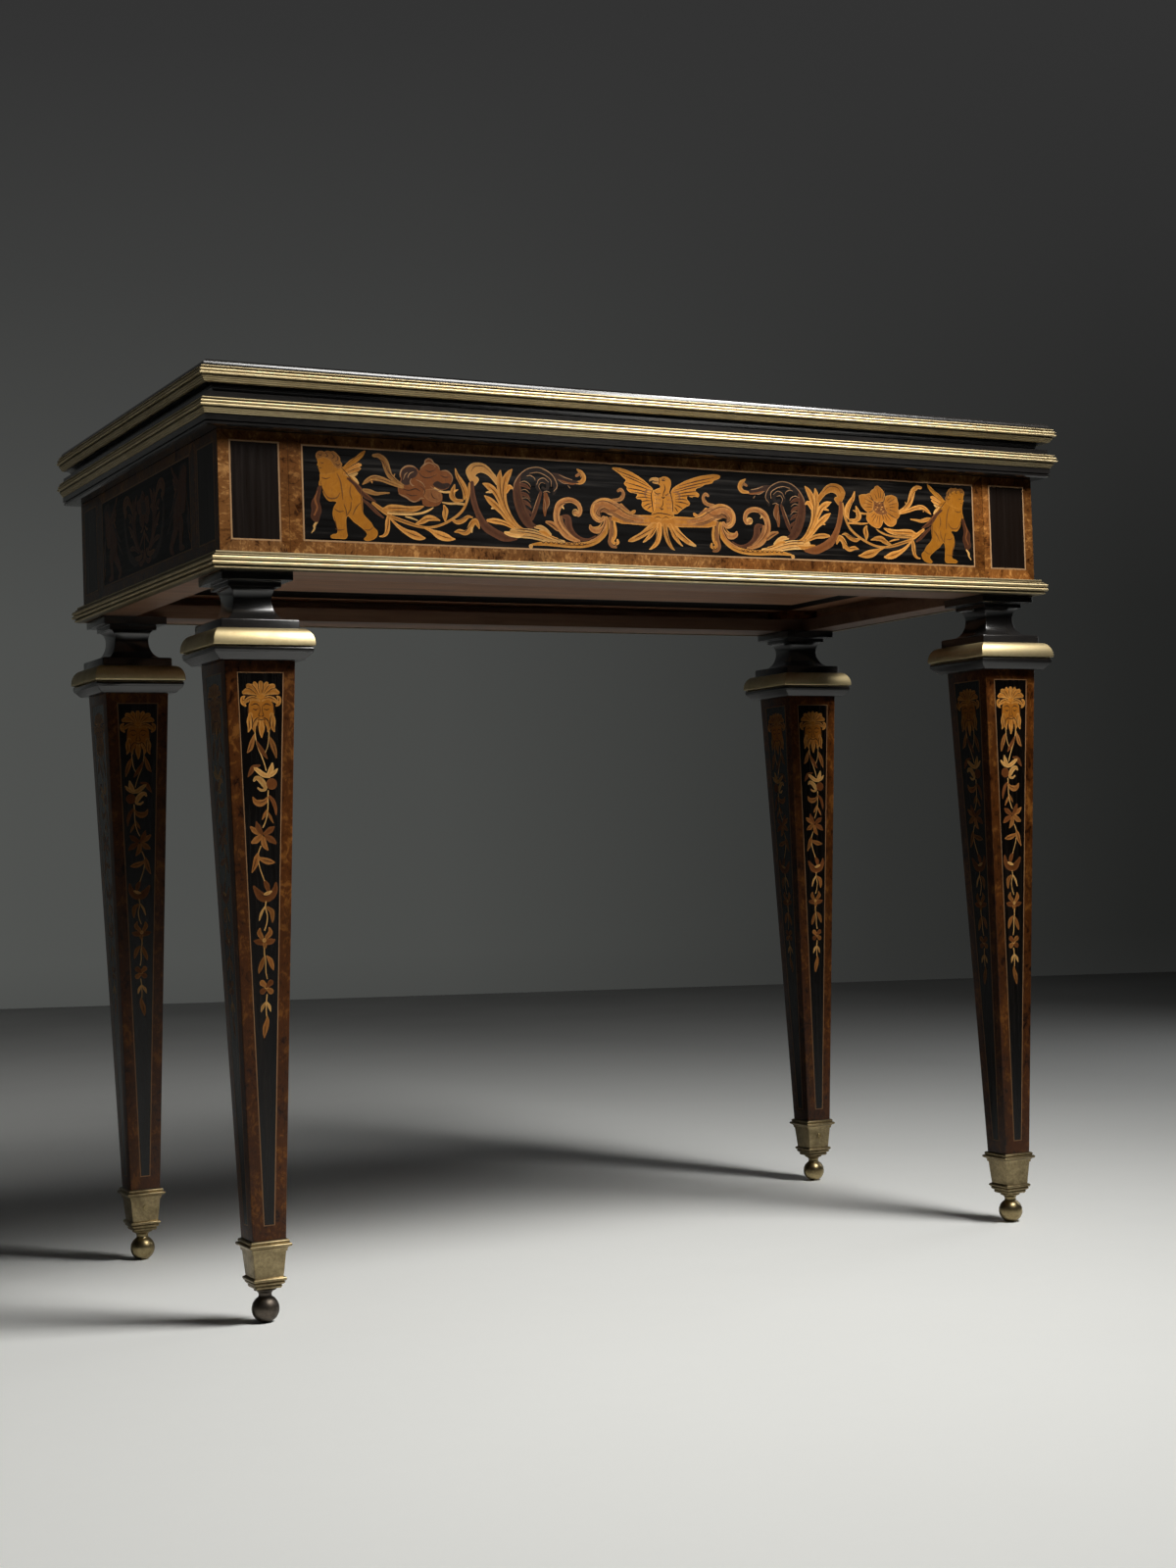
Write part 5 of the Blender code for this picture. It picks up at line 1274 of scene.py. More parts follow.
def acanthus():
    """Curling acanthus leaf on its rosewood stem."""
    shapes = draw([
        ("pale", [(-190.5, 688.5), (-193.8, 694), (-195.5, 698.5), (-194, 702.5), (-190, 706),
                  (-184.5, 707.3), (-179, 706.7), (-174, 703.8), (-170.5, 700), (-167, 696), (-164.6, 691),
                  (-166.6, 688.4), (-169.4, 691.4), (-172.6, 694.8), (-176.5, 697.5), (-181, 698.7),
                  (-185, 697.6), (-186.6, 695.4), (-184.6, 694.6), (-183.4, 692.2), (-185.7, 689),
                  (-187.5, 687.2), (-188.7, 688.2)]),
    ], [
        ("rose", [(-190, 689.5, 3.6), (-190.2, 682, 4.8), (-189, 675, 5.4), (-187, 668, 5.4),
                  (-184.5, 662, 6), (-181.5, 656.5, 7), (-177, 651.6, 8), (-170, 647.6, 7.4),
                  (-163, 644.7, 7.6), (-156, 643.6, 5.6), (-150, 643.6, 2.6)]),
        ("gold", [(-151.8, 703, 0.9), (-155.2, 699, 5), (-159, 692.5, 6.4), (-160.5, 685, 6),
                  (-160.5, 676, 5.4), (-158, 668, 4.6), (-153.5, 660, 4), (-148, 654, 3.4),
                  (-142, 650.8, 2.6)]),
        ("gold", [(-163, 701.2, 1.4), (-163.9, 696, 5), (-164, 688, 5.6), (-162.6, 679, 5),
                  (-159.5, 670, 4.4), (-154, 661.5, 3.2)]),
        ("gold", [(-180, 689.5, 0.9), (-175, 687.6, 5.2), (-169.5, 684, 5.4), (-165, 677, 4.8),
                  (-161.5, 669, 4), (-157, 662, 2.8)]),
        ("pale", [(-176.8, 682, 1), (-172.5, 683, 2.8)]),
        ("gold", [(-178.6, 679.1, 0.9), (-174, 675.6, 5.2), (-168.5, 671, 5.8), (-163, 666, 4.8),
                  (-158, 660, 3.8), (-152, 655, 2.8)]),
        ("pale", [(-172.2, 668.6, 1.4), (-168, 669.6, 2.8)]),
        ("gold", [(-151.4, 686.5, 1.2), (-155, 687.8, 4.2), (-158.5, 683.5, 4)]),
        ("gold", [(-176.3, 658, 2.4), (-170, 657.9, 4.8), (-162, 656.8, 4), (-155, 654, 3), (-149, 651, 2)]),
        ("pale", [(-160, 648.2, 2.4), (-155, 647, 4.6), (-148, 646.6, 5), (-141, 648, 4.2)]),
    ])
    return shapes + engrave([
        [(-158, 697, 0.3), (-160.5, 688, 0.7), (-161, 678, 0.7), (-158.5, 669, 0.5), (-152, 659, 0.3)],
        [(-163.6, 695, 0.3), (-163.6, 685, 0.5), (-161.8, 676, 0.3)],
        [(-174, 687, 0.3), (-168.5, 682.5, 0.6), (-164.5, 675, 0.3)],
        [(-173, 675.4, 0.3), (-166.5, 670, 0.6), (-160.5, 663.5, 0.3)],
        [(-190.5, 699, 0.3), (-188, 703, 0.6), (-183, 704.6, 0.7), (-177.5, 703.5, 0.5),
         (-171.5, 698.5, 0.3)],
        [(-172, 658.2, 0.3), (-164, 657.4, 0.6), (-156, 654.6, 0.3)],
    ])


def dark_scroll():
    """Black and brown scroll with fine pale outlines, its tail ending in a golden bud."""
    shapes = draw([], [
        ("shadow", [(-112.4, 684, 2.4), (-110.6, 690, 4), (-113, 697, 4.4), (-119, 701.6, 4.6),
                    (-127, 704, 4.4), (-136, 702, 5), (-142, 698, 6)]),
        ("umber", [(-114, 701, 2.4), (-107, 698.6, 6), (-100, 696, 5.6), (-93, 695, 3.4), (-88, 695, 1.4)]),
        ("rose", [(-144.6, 698.6, 2.6), (-147, 692, 6), (-147.6, 685, 8), (-146.4, 676, 9.4),
                  (-143.6, 668, 10), (-140, 661, 9.6), (-136, 656, 7.4), (-131.6, 655, 3)]),
        ("rose", [(-144, 690.4, 3.0), (-139.6, 689.6, 3.2), (-135.4, 687.2, 1.2)]),
        ("rose", [(-142.6, 682.6, 3.4), (-138.6, 681.4, 3.0), (-135.6, 678.6, 1.0)]),
        ("rose", [(-141.4, 675.6, 3.4), (-137.6, 674.0, 3.0), (-134.6, 671.0, 1.0)]),
        ("rose", [(-139.4, 668.6, 3.2), (-135.8, 666.6, 2.6), (-133.4, 664.4, 1.0)]),
        ("gold", [(-88.4, 706.3, 1.3), (-84.4, 703, 4.6), (-82.6, 698.6, 5.0), (-85.4, 695.2, 3.8),
                  (-91, 694.6, 2.2)]),
        ("tan", [(-89.6, 700.6, 2.2), (-87.2, 702, 2.6)]),
        ("bloom", [(-106, 696.2, 1.6), (-100, 694.6, 2.4), (-94, 693.6, 2.0), (-90, 694.2, 1.0)]),
        ("shadow", [(-124, 684.5, 2), (-128.4, 689, 3), (-126.6, 694.4, 3), (-121.5, 695.6, 3),
                    (-117.8, 691.4, 3), (-119.4, 687, 2.8), (-123, 688.6, 2.2)]),
        ("bloom", [(-120.3, 683, 3.8), (-119.6, 676, 6.2), (-121.4, 670, 4.0), (-121.5, 664.5, 1.6)]),
        ("rose", [(-125, 684, 2.6), (-128, 676, 3.8), (-131, 668, 3.8), (-134, 661.5, 3.2)]),
    ])
    outlines = [
        [(-112.2, 686, 0.4), (-108.8, 691, 0.7), (-112.4, 699, 0.7), (-119, 703.8, 0.8), (-127, 706.1, 0.8),
         (-136.5, 704.4, 0.8), (-143.8, 699.6, 0.8), (-149.6, 692, 0.7), (-151.6, 685, 0.3)],
        [(-114.6, 690, 0.4), (-114.8, 695.4, 0.6), (-119.6, 699.2, 0.6), (-127, 701.6, 0.6),
         (-135, 700.4, 0.4)],
        [(-138, 698, 0.4), (-134.5, 698.6, 0.8), (-130.8, 696.8, 0.6), (-129.8, 694.6, 0.3)],
        [(-145, 692, 0.3), (-140.5, 693.4, 0.7), (-136.4, 691.8, 0.6), (-134.4, 689, 0.3)],
        [(-144, 685.4, 0.3), (-139.4, 686.2, 0.7), (-135.6, 683.4, 0.3)],
        [(-143, 678.6, 0.3), (-138.4, 679, 0.6), (-134.8, 676, 0.3)],
        [(-128.6, 691, 0.3), (-126.4, 695.4, 0.6), (-121.5, 697, 0.6), (-117, 693.6, 0.3)],
        [(-125.4, 686.4, 0.3), (-126.6, 690, 0.5), (-124.2, 693, 0.5), (-120.6, 692.4, 0.3)],
        [(-122.6, 684.6, 0.4), (-119.4, 685.8, 0.7), (-116, 684.8, 0.3)],
        [(-122, 679, 0.3), (-120.6, 674, 0.6), (-121.6, 668, 0.3)],
        [(-117.4, 680.6, 0.3), (-116.8, 675.6, 0.6), (-119.4, 670.4, 0.3)],
        [(-126.8, 683, 0.3), (-130.2, 674.6, 0.5), (-133.6, 666.6, 0.3)],
        [(-106.5, 700.6, 0.3), (-100.5, 698.4, 0.8), (-94, 697, 0.6)],
        [(-108, 696.4, 0.3), (-103, 693.6, 0.7), (-98, 693.2, 0.3)],
        [(-98.2, 691.8, 0.4), (-96.4, 689.8, 0.8)],
    ]
    shapes += engrave(outlines, "string")
    return shapes + engrave([
        [(-149.4, 688, 0.3), (-148.6, 679, 0.7), (-145.8, 669, 0.7), (-141.6, 660, 0.4)],
        [(-146.2, 690, 0.3), (-145, 681, 0.6), (-142.4, 671.4, 0.6), (-138.6, 662, 0.3)],
        [(-143.4, 684, 0.3), (-141.4, 675.6, 0.5), (-137.6, 665.6, 0.3)],
        [(-86.8, 703.6, 0.3), (-84.6, 699.6, 0.7), (-86.8, 696.4, 0.4)],
    ])


def gold_band():
    """Long leafy band along the foot of the panel, and the two small volutes on it."""
    shapes = draw([], [
        ("wing", [(-134.5, 639, 1.6), (-128, 639.8, 3), (-120, 640.6, 4.4), (-110, 640.4, 5), (-98, 639.8, 5),
                  (-86, 640.3, 5), (-76, 642.5, 5), (-68, 647, 5), (-62.6, 653, 5), (-60.4, 659, 4.4),
                  (-60.8, 665, 2.8)]),
        ("pale", [(-152, 649, 7.6), (-144, 648.4, 8.4), (-136, 648.2, 8.6), (-128, 646.8, 8),
                  (-120, 644.2, 6), (-112, 643.2, 4), (-104, 642.6, 2.4)]),
        ("pale", [(-131.4, 654.2, 2.2), (-126, 654, 4.2), (-121, 652, 3.4), (-116.6, 648.4, 2)]),
        ("gold", [(-127, 650.4, 2.4), (-121.5, 649.4, 4.4), (-116.4, 646.4, 2.4), (-110, 644.8, 1.4)]),
        ("strap", [(-120.2, 659, 2.2), (-115, 657.4, 4.8), (-109.5, 653.6, 4.6)]),
        ("strap", [(-92, 668, 3.2), (-88.6, 666.2, 2.8), (-86.7, 670, 3.8), (-88.5, 675.5, 4.4),
                   (-94, 678.8, 4.4), (-101, 678.6, 5), (-107, 674.8, 6.2), (-110, 668, 6), (-110, 661, 6),
                   (-107, 654.6, 6.2), (-102, 649.2, 6.6), (-96, 645.6, 4.6), (-89, 643.4, 2.6)]),
        ("rose", [(-104, 664.6, 2.6), (-99.4, 663, 6.4), (-98.6, 656, 6.6), (-95, 650, 5.6), (-88, 646, 3.4),
                  (-80, 645.4, 1.8), (-72.5, 648.8, 0.8)]),
        ("tan", [(-106, 664, 2.4), (-104.6, 657.4, 3.2), (-100, 651, 2.8), (-94, 646.8, 1.2)]),
        ("strap", [(-78, 643.6, 2.0), (-70.6, 647.0, 3.6), (-64.4, 653, 4.0), (-61.2, 660, 3.2),
                   (-61, 664.6, 1.6)]),
        ("pale", [(-103, 671.4, 1), (-105.2, 674.6, 2.6), (-101.4, 676.8, 1)]),
    ])
    shapes += draw([("pale", circle(-136, 637.4, 1.9)), ("pale", circle(-91.6, 668.4, 3.2))])
    return shapes + engrave([
        [(-148, 649.5, 0.3), (-138, 649, 0.7), (-128, 647.5, 0.6), (-116, 644, 0.3)],
        [(-143, 646, 0.3), (-134, 645.6, 0.6), (-124, 643.6, 0.3)],
        [(-112, 640.4, 0.3), (-98, 639.8, 0.6), (-84, 640.4, 0.6), (-73, 643.6, 0.3)],
        [(-110, 669, 0.3), (-109.8, 661, 0.6), (-105.5, 653.6, 0.6), (-99, 648, 0.3)],
        [(-103, 677, 0.3), (-97, 678.4, 0.5), (-91.4, 676.6, 0.3)],
        [(-150, 651.6, 0.4), (-142, 651.6, 0.9), (-133, 650.8, 0.9), (-126, 648.8, 0.4)],
        [(-118, 647, 0.3), (-113, 645.2, 0.7), (-107, 643.6, 0.3)],
        [(-107.6, 672.6, 0.4), (-104.6, 675.4, 0.8), (-99.6, 676.4, 0.4)],
        [(-90.8, 669.8, 0.4), (-93.4, 669.6, 0.7), (-93.8, 667, 0.4)],
        [(-118.6, 658.4, 0.3), (-113.6, 656, 0.8), (-109.6, 652.6, 0.4)],
        [(-76, 645.6, 0.3), (-68.4, 650.6, 0.8), (-64, 657.4, 0.8), (-62.4, 663, 0.3)],
        [(-99.6, 642.2, 0.3), (-90, 642.6, 0.6), (-82, 644, 0.3)],
    ] + [[(x, 642.4, 0.3), (x + 2.2, 640.8, 0.9), (x + 4.4, 642.2, 0.3)] for x in range(-126, -84, 5)])


def strapwork():
    """Broad scrolled strap that carries the eagle's bar."""
    shapes = draw([], [
        ("strap", [(-27, 664.8, 7.2), (-38, 666, 8.6), (-47, 670, 11), (-55, 674, 14), (-63, 676.4, 12.6),
                   (-70.4, 674.6, 10), (-73, 668.8, 8), (-70.4, 664, 6), (-66.4, 662.8, 4),
                   (-64, 665.6, 2.6)]),
        ("tan", [(-46, 675.6, 1.4), (-52, 672, 3.2), (-59, 671.4, 4.4), (-65, 672, 4), (-69, 669.4, 3),
                 (-67.6, 666, 1.6)]),
        ("strap", [(-48.6, 689.4, 2.4), (-46, 690.8, 3), (-43.6, 688, 3.4), (-44.6, 684, 4),
                   (-48, 681.6, 3.4), (-54, 681, 2.4)]),
        ("gold", [(-46, 677, 3), (-42, 673, 3.4), (-37, 670.6, 2.4), (-33.5, 671.6, 3.2), (-32.4, 672.4, 2)]),
        ("strap", [(-62, 665, 2.6), (-62.8, 659, 4), (-66.8, 654.6, 4.4), (-72, 653.2, 4.8),
                   (-76.4, 655.2, 4.6), (-77.4, 657.6, 2)]),
        ("tan", [(-57.6, 665, 2.4), (-56.6, 657, 4.2), (-57, 650, 4.2), (-58.6, 644, 3.6),
                 (-56.6, 640.4, 2.8), (-52.4, 639.6, 2)]),
        ("gold", [(-53.6, 662, 2), (-52.8, 655, 3.4), (-53.6, 649, 3.6), (-55.6, 645.4, 3),
                  (-53.6, 642.6, 2.8), (-50.4, 643.6, 2.6), (-50.8, 646, 2)]),
    ])
    shapes += engrave([
        [(-72.4, 677.4, 0.6), (-74.6, 671.6, 1.6), (-72.6, 665.4, 1.6), (-68.4, 662.6, 0.6)],
        [(-52, 679.6, 0.6), (-59, 681.2, 1.8), (-66.6, 680.4, 1.6), (-71.8, 677.4, 0.6)],
        [(-66, 660.4, 0.5), (-69.4, 656.8, 1.4), (-74.4, 656.2, 0.6)],
    ], "gold")
    shapes += engrave([
        [(-36, 670.4, 0.6), (-43, 674.6, 2.2), (-50, 677.4, 2.2), (-55, 677, 0.8)],
        [(-31, 662.6, 0.6), (-40, 663, 1.8), (-48, 665.6, 2.0), (-55, 668.6, 0.8)],
        [(-62, 676, 0.6), (-67, 674.4, 2.0), (-69.8, 670.6, 1.0)],
    ], "tan")
    return shapes + engrave([
        [(-58.4, 671.4, 0.3), (-62.4, 673.4, 0.8), (-66.4, 671.8, 0.8), (-67.4, 668.4, 0.4)],
        [(-56, 663, 0.3), (-54.4, 655, 0.8), (-55, 648.6, 0.4)],
        [(-60.4, 664, 0.3), (-59.4, 656, 0.7), (-60.6, 650, 0.3)],
        [(-47.2, 689, 0.4), (-45.2, 688.2, 0.8), (-45.6, 685, 0.4)],
        [(-54.6, 641.4, 0.4), (-52.4, 642.2, 0.8), (-52.4, 644.6, 0.4)],
        [(-30, 667.4, 0.3), (-40, 669.6, 0.6), (-48, 674, 0.7), (-57, 678.6, 0.7), (-65, 680, 0.6),
         (-73, 677, 0.3)],
        [(-34, 663.4, 0.3), (-44, 665.4, 0.6), (-52, 668.8, 0.6), (-60, 670.4, 0.3)],
        [(-69.6, 672, 0.4), (-71, 668.6, 0.7), (-68.4, 666.2, 0.6), (-66, 668.2, 0.4)],
    ])


def eagle():
    """Displayed eagle on its bar."""
    shapes = draw([
        ("gold", [(-46, 668.4), (44.6, 668.4), (42.6, 660.7), (-46, 660.7)]),
    ], [
        ("gold", [(-14, 660.6, 5.6), (-20, 655.6, 6), (-27, 650.8, 5), (-34, 647.6, 4.4), (-39, 645.8, 1.8)]),
        ("gold", [(-12, 660.6, 4.6), (-15.4, 654, 4.4), (-19.4, 649.5, 3.4), (-24.6, 645.4, 1)]),
        ("gold", [(-8, 660.6, 5.4), (-8.6, 652, 5.4), (-10.7, 645.5, 4.4), (-14.8, 641.2, 2.8),
                  (-18.2, 639.4, 1)]),
        ("gold", [(-2.4, 660.6, 4.8), (-1.2, 652, 4.4), (1, 646, 3.8), (4, 641.4, 2.6), (6.3, 639.6, 1)]),
        ("gold", [(3, 660.6, 4.8), (6.6, 653, 4.4), (10.8, 647.2, 3), (14.6, 643.4, 1)]),
        ("gold", [(7, 660.6, 4.8), (12, 654, 5.8), (18, 649, 5.2), (24, 645.7, 4.2), (28.6, 643.8, 1.8)]),
        ("pale", [(-32, 646.6, 1.2), (-36, 645.8, 2.2), (-39.4, 645.4, 1.0)]),
        ("pale", [(-20.6, 647.2, 0.8), (-23, 645.9, 1.4), (-25, 645, 0.8)]),
        ("pale", [(-14, 641.4, 1.0), (-16.4, 640, 1.7), (-18.8, 639, 0.8)]),
        ("pale", [(3, 642.4, 1.0), (4.8, 640.6, 1.7), (6.8, 639.2, 0.8)]),
        ("pale", [(12, 645.4, 0.8), (13.8, 644, 1.4), (15.4, 643, 0.8)]),
        ("pale", [(22.6, 645.4, 1.2), (26, 644.2, 2.2), (29, 643.4, 1.0)]),
    ])
    shapes += draw([
        ("wing", [(-13.4, 692.5), (-17, 696), (-22, 700), (-28, 703.5), (-34, 706.5), (-40, 708.5),
                  (-46, 709.8), (-52, 710), (-53.8, 708.8), (-50, 706.5), (-46, 704), (-43, 701.5),
                  (-40.4, 699.2), (-42.4, 696.8), (-41.6, 694.8), (-39.6, 693.4), (-39.8, 691.5),
                  (-38, 689.4), (-35.6, 688.3), (-32, 688.2), (-29, 687), (-31, 684.6), (-29.4, 683.2),
                  (-26, 683), (-24.6, 681), (-25.4, 678), (-23.4, 675), (-20.5, 673.5), (-18, 672.5),
                  (-15.6, 672), (-12, 674), (-11, 680), (-11.4, 686)]),
        ("wing", [(5.4, 691.6), (8, 695), (13, 698), (20, 701.5), (28, 704.5), (36, 706.8), (44, 708.3),
                  (51, 709.2), (56, 708.4), (57, 706.5), (54, 704.6), (50, 703.2), (48.6, 701.2), (45, 700),
                  (40.4, 699.2), (38, 697.6), (35, 696.4), (31.6, 695.3), (31, 692.8), (34.3, 690.4),
                  (33.3, 687.7), (29.2, 688), (26.4, 687.2), (22.4, 688), (21.4, 685.6), (24.3, 682),
                  (23.3, 679.6), (20, 678.2), (18, 676.8), (15.5, 675.2), (13, 673.2), (11, 671.7),
                  (7.8, 671.4), (4, 674), (3, 680), (3.4, 686)]),
    ])
    shapes += engrave(quills(((-15, 693.4, -44, 703.6), (-15, 691, -40.4, 697.2), (-15.4, 688.6, -39, 692.4),
                              (-15.8, 686.6, -35, 689.2), (-15.6, 684.4, -29.6, 684.8),
                              (-15.4, 682.2, -25.6, 681), (-15.2, 680, -23.6, 676.6),
                              (-15, 677.6, -19.6, 674.4), (-20, 697.4, -49, 707.4), (8.4, 692.6, 46, 702.4),
                              (9, 690.8, 37.4, 697.8), (9.4, 688.8, 32.4, 692.8), (9.4, 686.6, 30, 689),
                              (9.4, 684.6, 21.4, 684.6), (9, 682.6, 22.6, 680.8), (8.6, 680, 16.4, 676.4),
                              (8.2, 677.6, 11.6, 673.4), (14, 696.8, 50, 706)), 0.5, (0.3, 1.0, 0.4)))
    shapes += engrave([
        [(-15.4, 691.6, 0.8), (-19.6, 691.4, 2.0), (-21.6, 688, 2.0), (-20.4, 684, 0.8)],
        [(7.4, 690.6, 0.8), (11.6, 691, 2.0), (14, 688, 2.0), (13.2, 684, 0.8)],
    ], "tan")
    shapes += draw([
        ("wing", [(-13.4, 690), (-12, 691.8), (-8.4, 693.4), (-5.8, 694.6), (-6.2, 696.6), (-8.4, 697.6),
                  (-8.6, 699.4), (-8.4, 702.4), (-5, 703.2), (-2, 704.5), (2, 704), (5, 701.5), (5.4, 697.5),
                  (4.5, 694), (3.4, 690.6), (5, 687), (6, 681), (5.6, 675), (7.8, 669.6), (4, 666.6),
                  (-4, 665.8), (-12, 666.4), (-16, 669.4), (-13.6, 673.6), (-14.2, 680), (-14.6, 686)]),
        ("pale", [(-7.6, 702.8), (-12.6, 703.2), (-15.8, 701.8), (-16.8, 699.4), (-13.8, 700.5), (-10.6, 700),
                  (-13.6, 699.2), (-12.8, 698.0), (-7.8, 697.7)]),
    ])
    shapes += engrave([
        [(-13.6, 692.2, 0.5), (-15.2, 687, 1.1), (-14.6, 680, 1.1), (-13.8, 673, 0.6)],
        [(4.2, 693.6, 0.5), (5.2, 687.6, 1.1), (6.4, 681, 1.1), (6.2, 673.4, 0.6)],
        [(-7.2, 703, 0.4), (-6.4, 700.4, 0.9), (-7.2, 697.6, 0.4)],
        [(-14.2, 699.9, 0.3), (-11, 699.5, 0.6), (-7.6, 699.7, 0.4)],
        [(-4.4, 700.9, 0.5), (-2.4, 701.1, 1.5), (-0.6, 700.5, 0.5)],
        [(-4.8, 702.6, 0.3), (-2, 702.8, 0.6), (0.6, 701.6, 0.3)],
        [(-1.6, 697.4, 0.4), (-0.8, 693.6, 1.0), (-2.4, 690, 0.9), (-3.4, 686.6, 0.4)],
        [(-12.4, 690.4, 0.3), (-8.8, 688.6, 0.9), (-5.4, 689.4, 0.4)],
        [(2.8, 690, 0.3), (0.4, 688, 0.8), (-1.6, 688.4, 0.3)],
        [(-4.6, 686.2, 0.6), (-3.0, 685.2, 1.5), (-1.4, 686.2, 0.6)],
        [(-3.2, 683.4, 0.4), (-3.6, 679.4, 0.8), (-5.4, 676.4, 0.6)],
        [(-6.6, 676, 0.6), (-5, 675, 1.4), (-3.4, 675.6, 0.6)],
        [(-16.4, 669.2, 0.3), (-9, 671.4, 0.9), (-1, 671, 0.9), (7.4, 669.4, 0.3)],
        [(-13, 666.6, 0.3), (-9, 668.4, 0.7), (-5.6, 666.8, 0.3)],
        [(-4.8, 666.6, 0.3), (-0.8, 668.4, 0.7), (2.6, 666.8, 0.3)],
    ])
    scales = []
    for row, z in enumerate((687.2, 683.6, 680.0, 676.4)):
        for x in (-11.4, -8.2, 0.6, 3.4):
            shift = 1.2 if row % 2 else 0.0
            scales.append([(x - 1.3 + shift, z + 0.9, 0.3), (x + shift, z - 0.2, 0.7),
                           (x + 1.3 + shift, z + 0.9, 0.3)])
    shapes += engrave(scales, "tan")
    shapes += engrave(quills(((-14, 658, -33, 648.2), (-9.4, 658, -12, 646), (5, 658, 11, 648),
                              (9, 657, 23, 646.8), (-1.8, 657, 2.4, 645), (-11, 659, -18, 649.6),
                              (-4.6, 659.4, -4.2, 650.6), (1.4, 659.4, 5.2, 650.6)), 0.0, (0.3, 0.9, 0.3)))
    return shapes + engrave([
        [(-44, 666.8, 0.4), (-30, 666.9, 1.0), (-17, 666.6, 0.4)],
        [(-44, 662.4, 0.4), (-28, 662.2, 0.9), (-17, 662.4, 0.4)],
        [(9, 666.6, 0.4), (24, 666.9, 1.0), (42, 666.6, 0.4)],
        [(8, 662.4, 0.4), (24, 662.2, 0.9), (41, 662.3, 0.4)],
    ], "tan")


def mask():
    """Leafy bearded mask with closed eyes and even proportions, of no one in particular."""
    angles = [math.radians(12 * k) for k in range(30)]
    face = [(11.2 * math.sin(angle), 495 + 12.6 * math.cos(angle)) for angle in angles]
    shapes = []
    for side in (-1, 1):
        shapes += [stroke("gold", sided(side, line)) for line in (
            [(8.8, 492, 3.4), (10.2, 487, 4.2), (9.8, 482, 3.6), (11.0, 478.4, 1.2)],
            [(4.8, 487.4, 4.2), (6.4, 482.6, 3.8), (5.6, 478.4, 1.4)],
        )]
    shapes += draw([], [("gold", [(0, 487, 5.0), (0.3, 481, 5.2), (0, 476.6, 3.0), (0.2, 473.6, 1.0)])])
    shapes += draw([("mask", face)])
    for side in (-1, 1):
        shapes += [stroke("gold", sided(side, line)) for line in (
            [(13.2, 499.2, 1.6), (15.2, 501.4, 3.4), (15.6, 505, 3.2), (13.8, 507, 1.4)],
            [(1.4, 503.2, 1.6), (6, 505.4, 3.6), (11, 504, 3.8), (14.6, 501, 1.6)],
            [(1.2, 508, 2.4), (6, 510.2, 4.8), (11, 511, 5.4), (14.2, 510, 3.4)],
            [(2.6, 509, 2.0), (6.4, 513.4, 4.8), (10.2, 515, 4.4)],
            [(1.4, 509.6, 1.8), (3.4, 514, 4.2), (5, 517, 3.4)],
        )]
    shapes += draw([], [("gold", [(0, 508, 1.8), (0, 513, 3.8), (0, 517.4, 3.8)]),
                        ("mask", [(-3, 506.6, 1.2), (0, 506.9, 4.4), (3, 506.6, 1.2)])])
    creases = [
        [(8.4, 507.4, 0.5), (11.6, 507.5, 1.8), (14.4, 507.9, 0.5)],
        [(1.6, 499.0, 0.4), (4.4, 500.8, 1.0), (8.0, 499.6, 0.5)],
        [(2.6, 496.7, 0.4), (4.7, 495.9, 0.9), (6.9, 496.7, 0.4)],
        [(1.0, 498.6, 0.3), (1.1, 494.6, 0.5), (2.1, 491.5, 0.8), (0.5, 490.7, 0.5)],
        [(0.0, 487.9, 0.9), (1.8, 488.2, 0.7), (3.4, 487.9, 0.3)],
        [(1.5, 489.9, 0.3), (4.6, 488.4, 1.0), (6.6, 485.4, 0.6), (7.8, 481, 0.4)],
        [(8.4, 491.4, 0.3), (7.6, 487, 0.8), (7.9, 482, 0.4)],
        [(2.6, 485.8, 0.4), (3.3, 482, 0.8), (2.8, 478, 0.4)],
        [(10.2, 487, 0.3), (10.0, 483.6, 0.6), (10.6, 480, 0.3)],
        [(4.2, 508.6, 0.3), (8.6, 512.4, 0.7), (12, 513.2, 0.4)],
        [(2.2, 509, 0.3), (5.0, 513.4, 0.7), (7.4, 516, 0.4)],
        [(1.0, 509.4, 0.3), (1.9, 513.6, 0.7), (2.4, 517.4, 0.4)],
        [(9.6, 503.4, 0.3), (10.8, 498.6, 0.8), (10.7, 493.4, 0.4)],
        [(3, 505.2, 0.3), (7.6, 505.9, 0.6), (12.2, 503.9, 0.3)],
        [(13.6, 503.4, 0.3), (15.1, 503.6, 0.6), (15.0, 505.6, 0.3)],
    ]
    return shapes + engrave([sided(side, line) for side in (-1, 1) for line in creases])


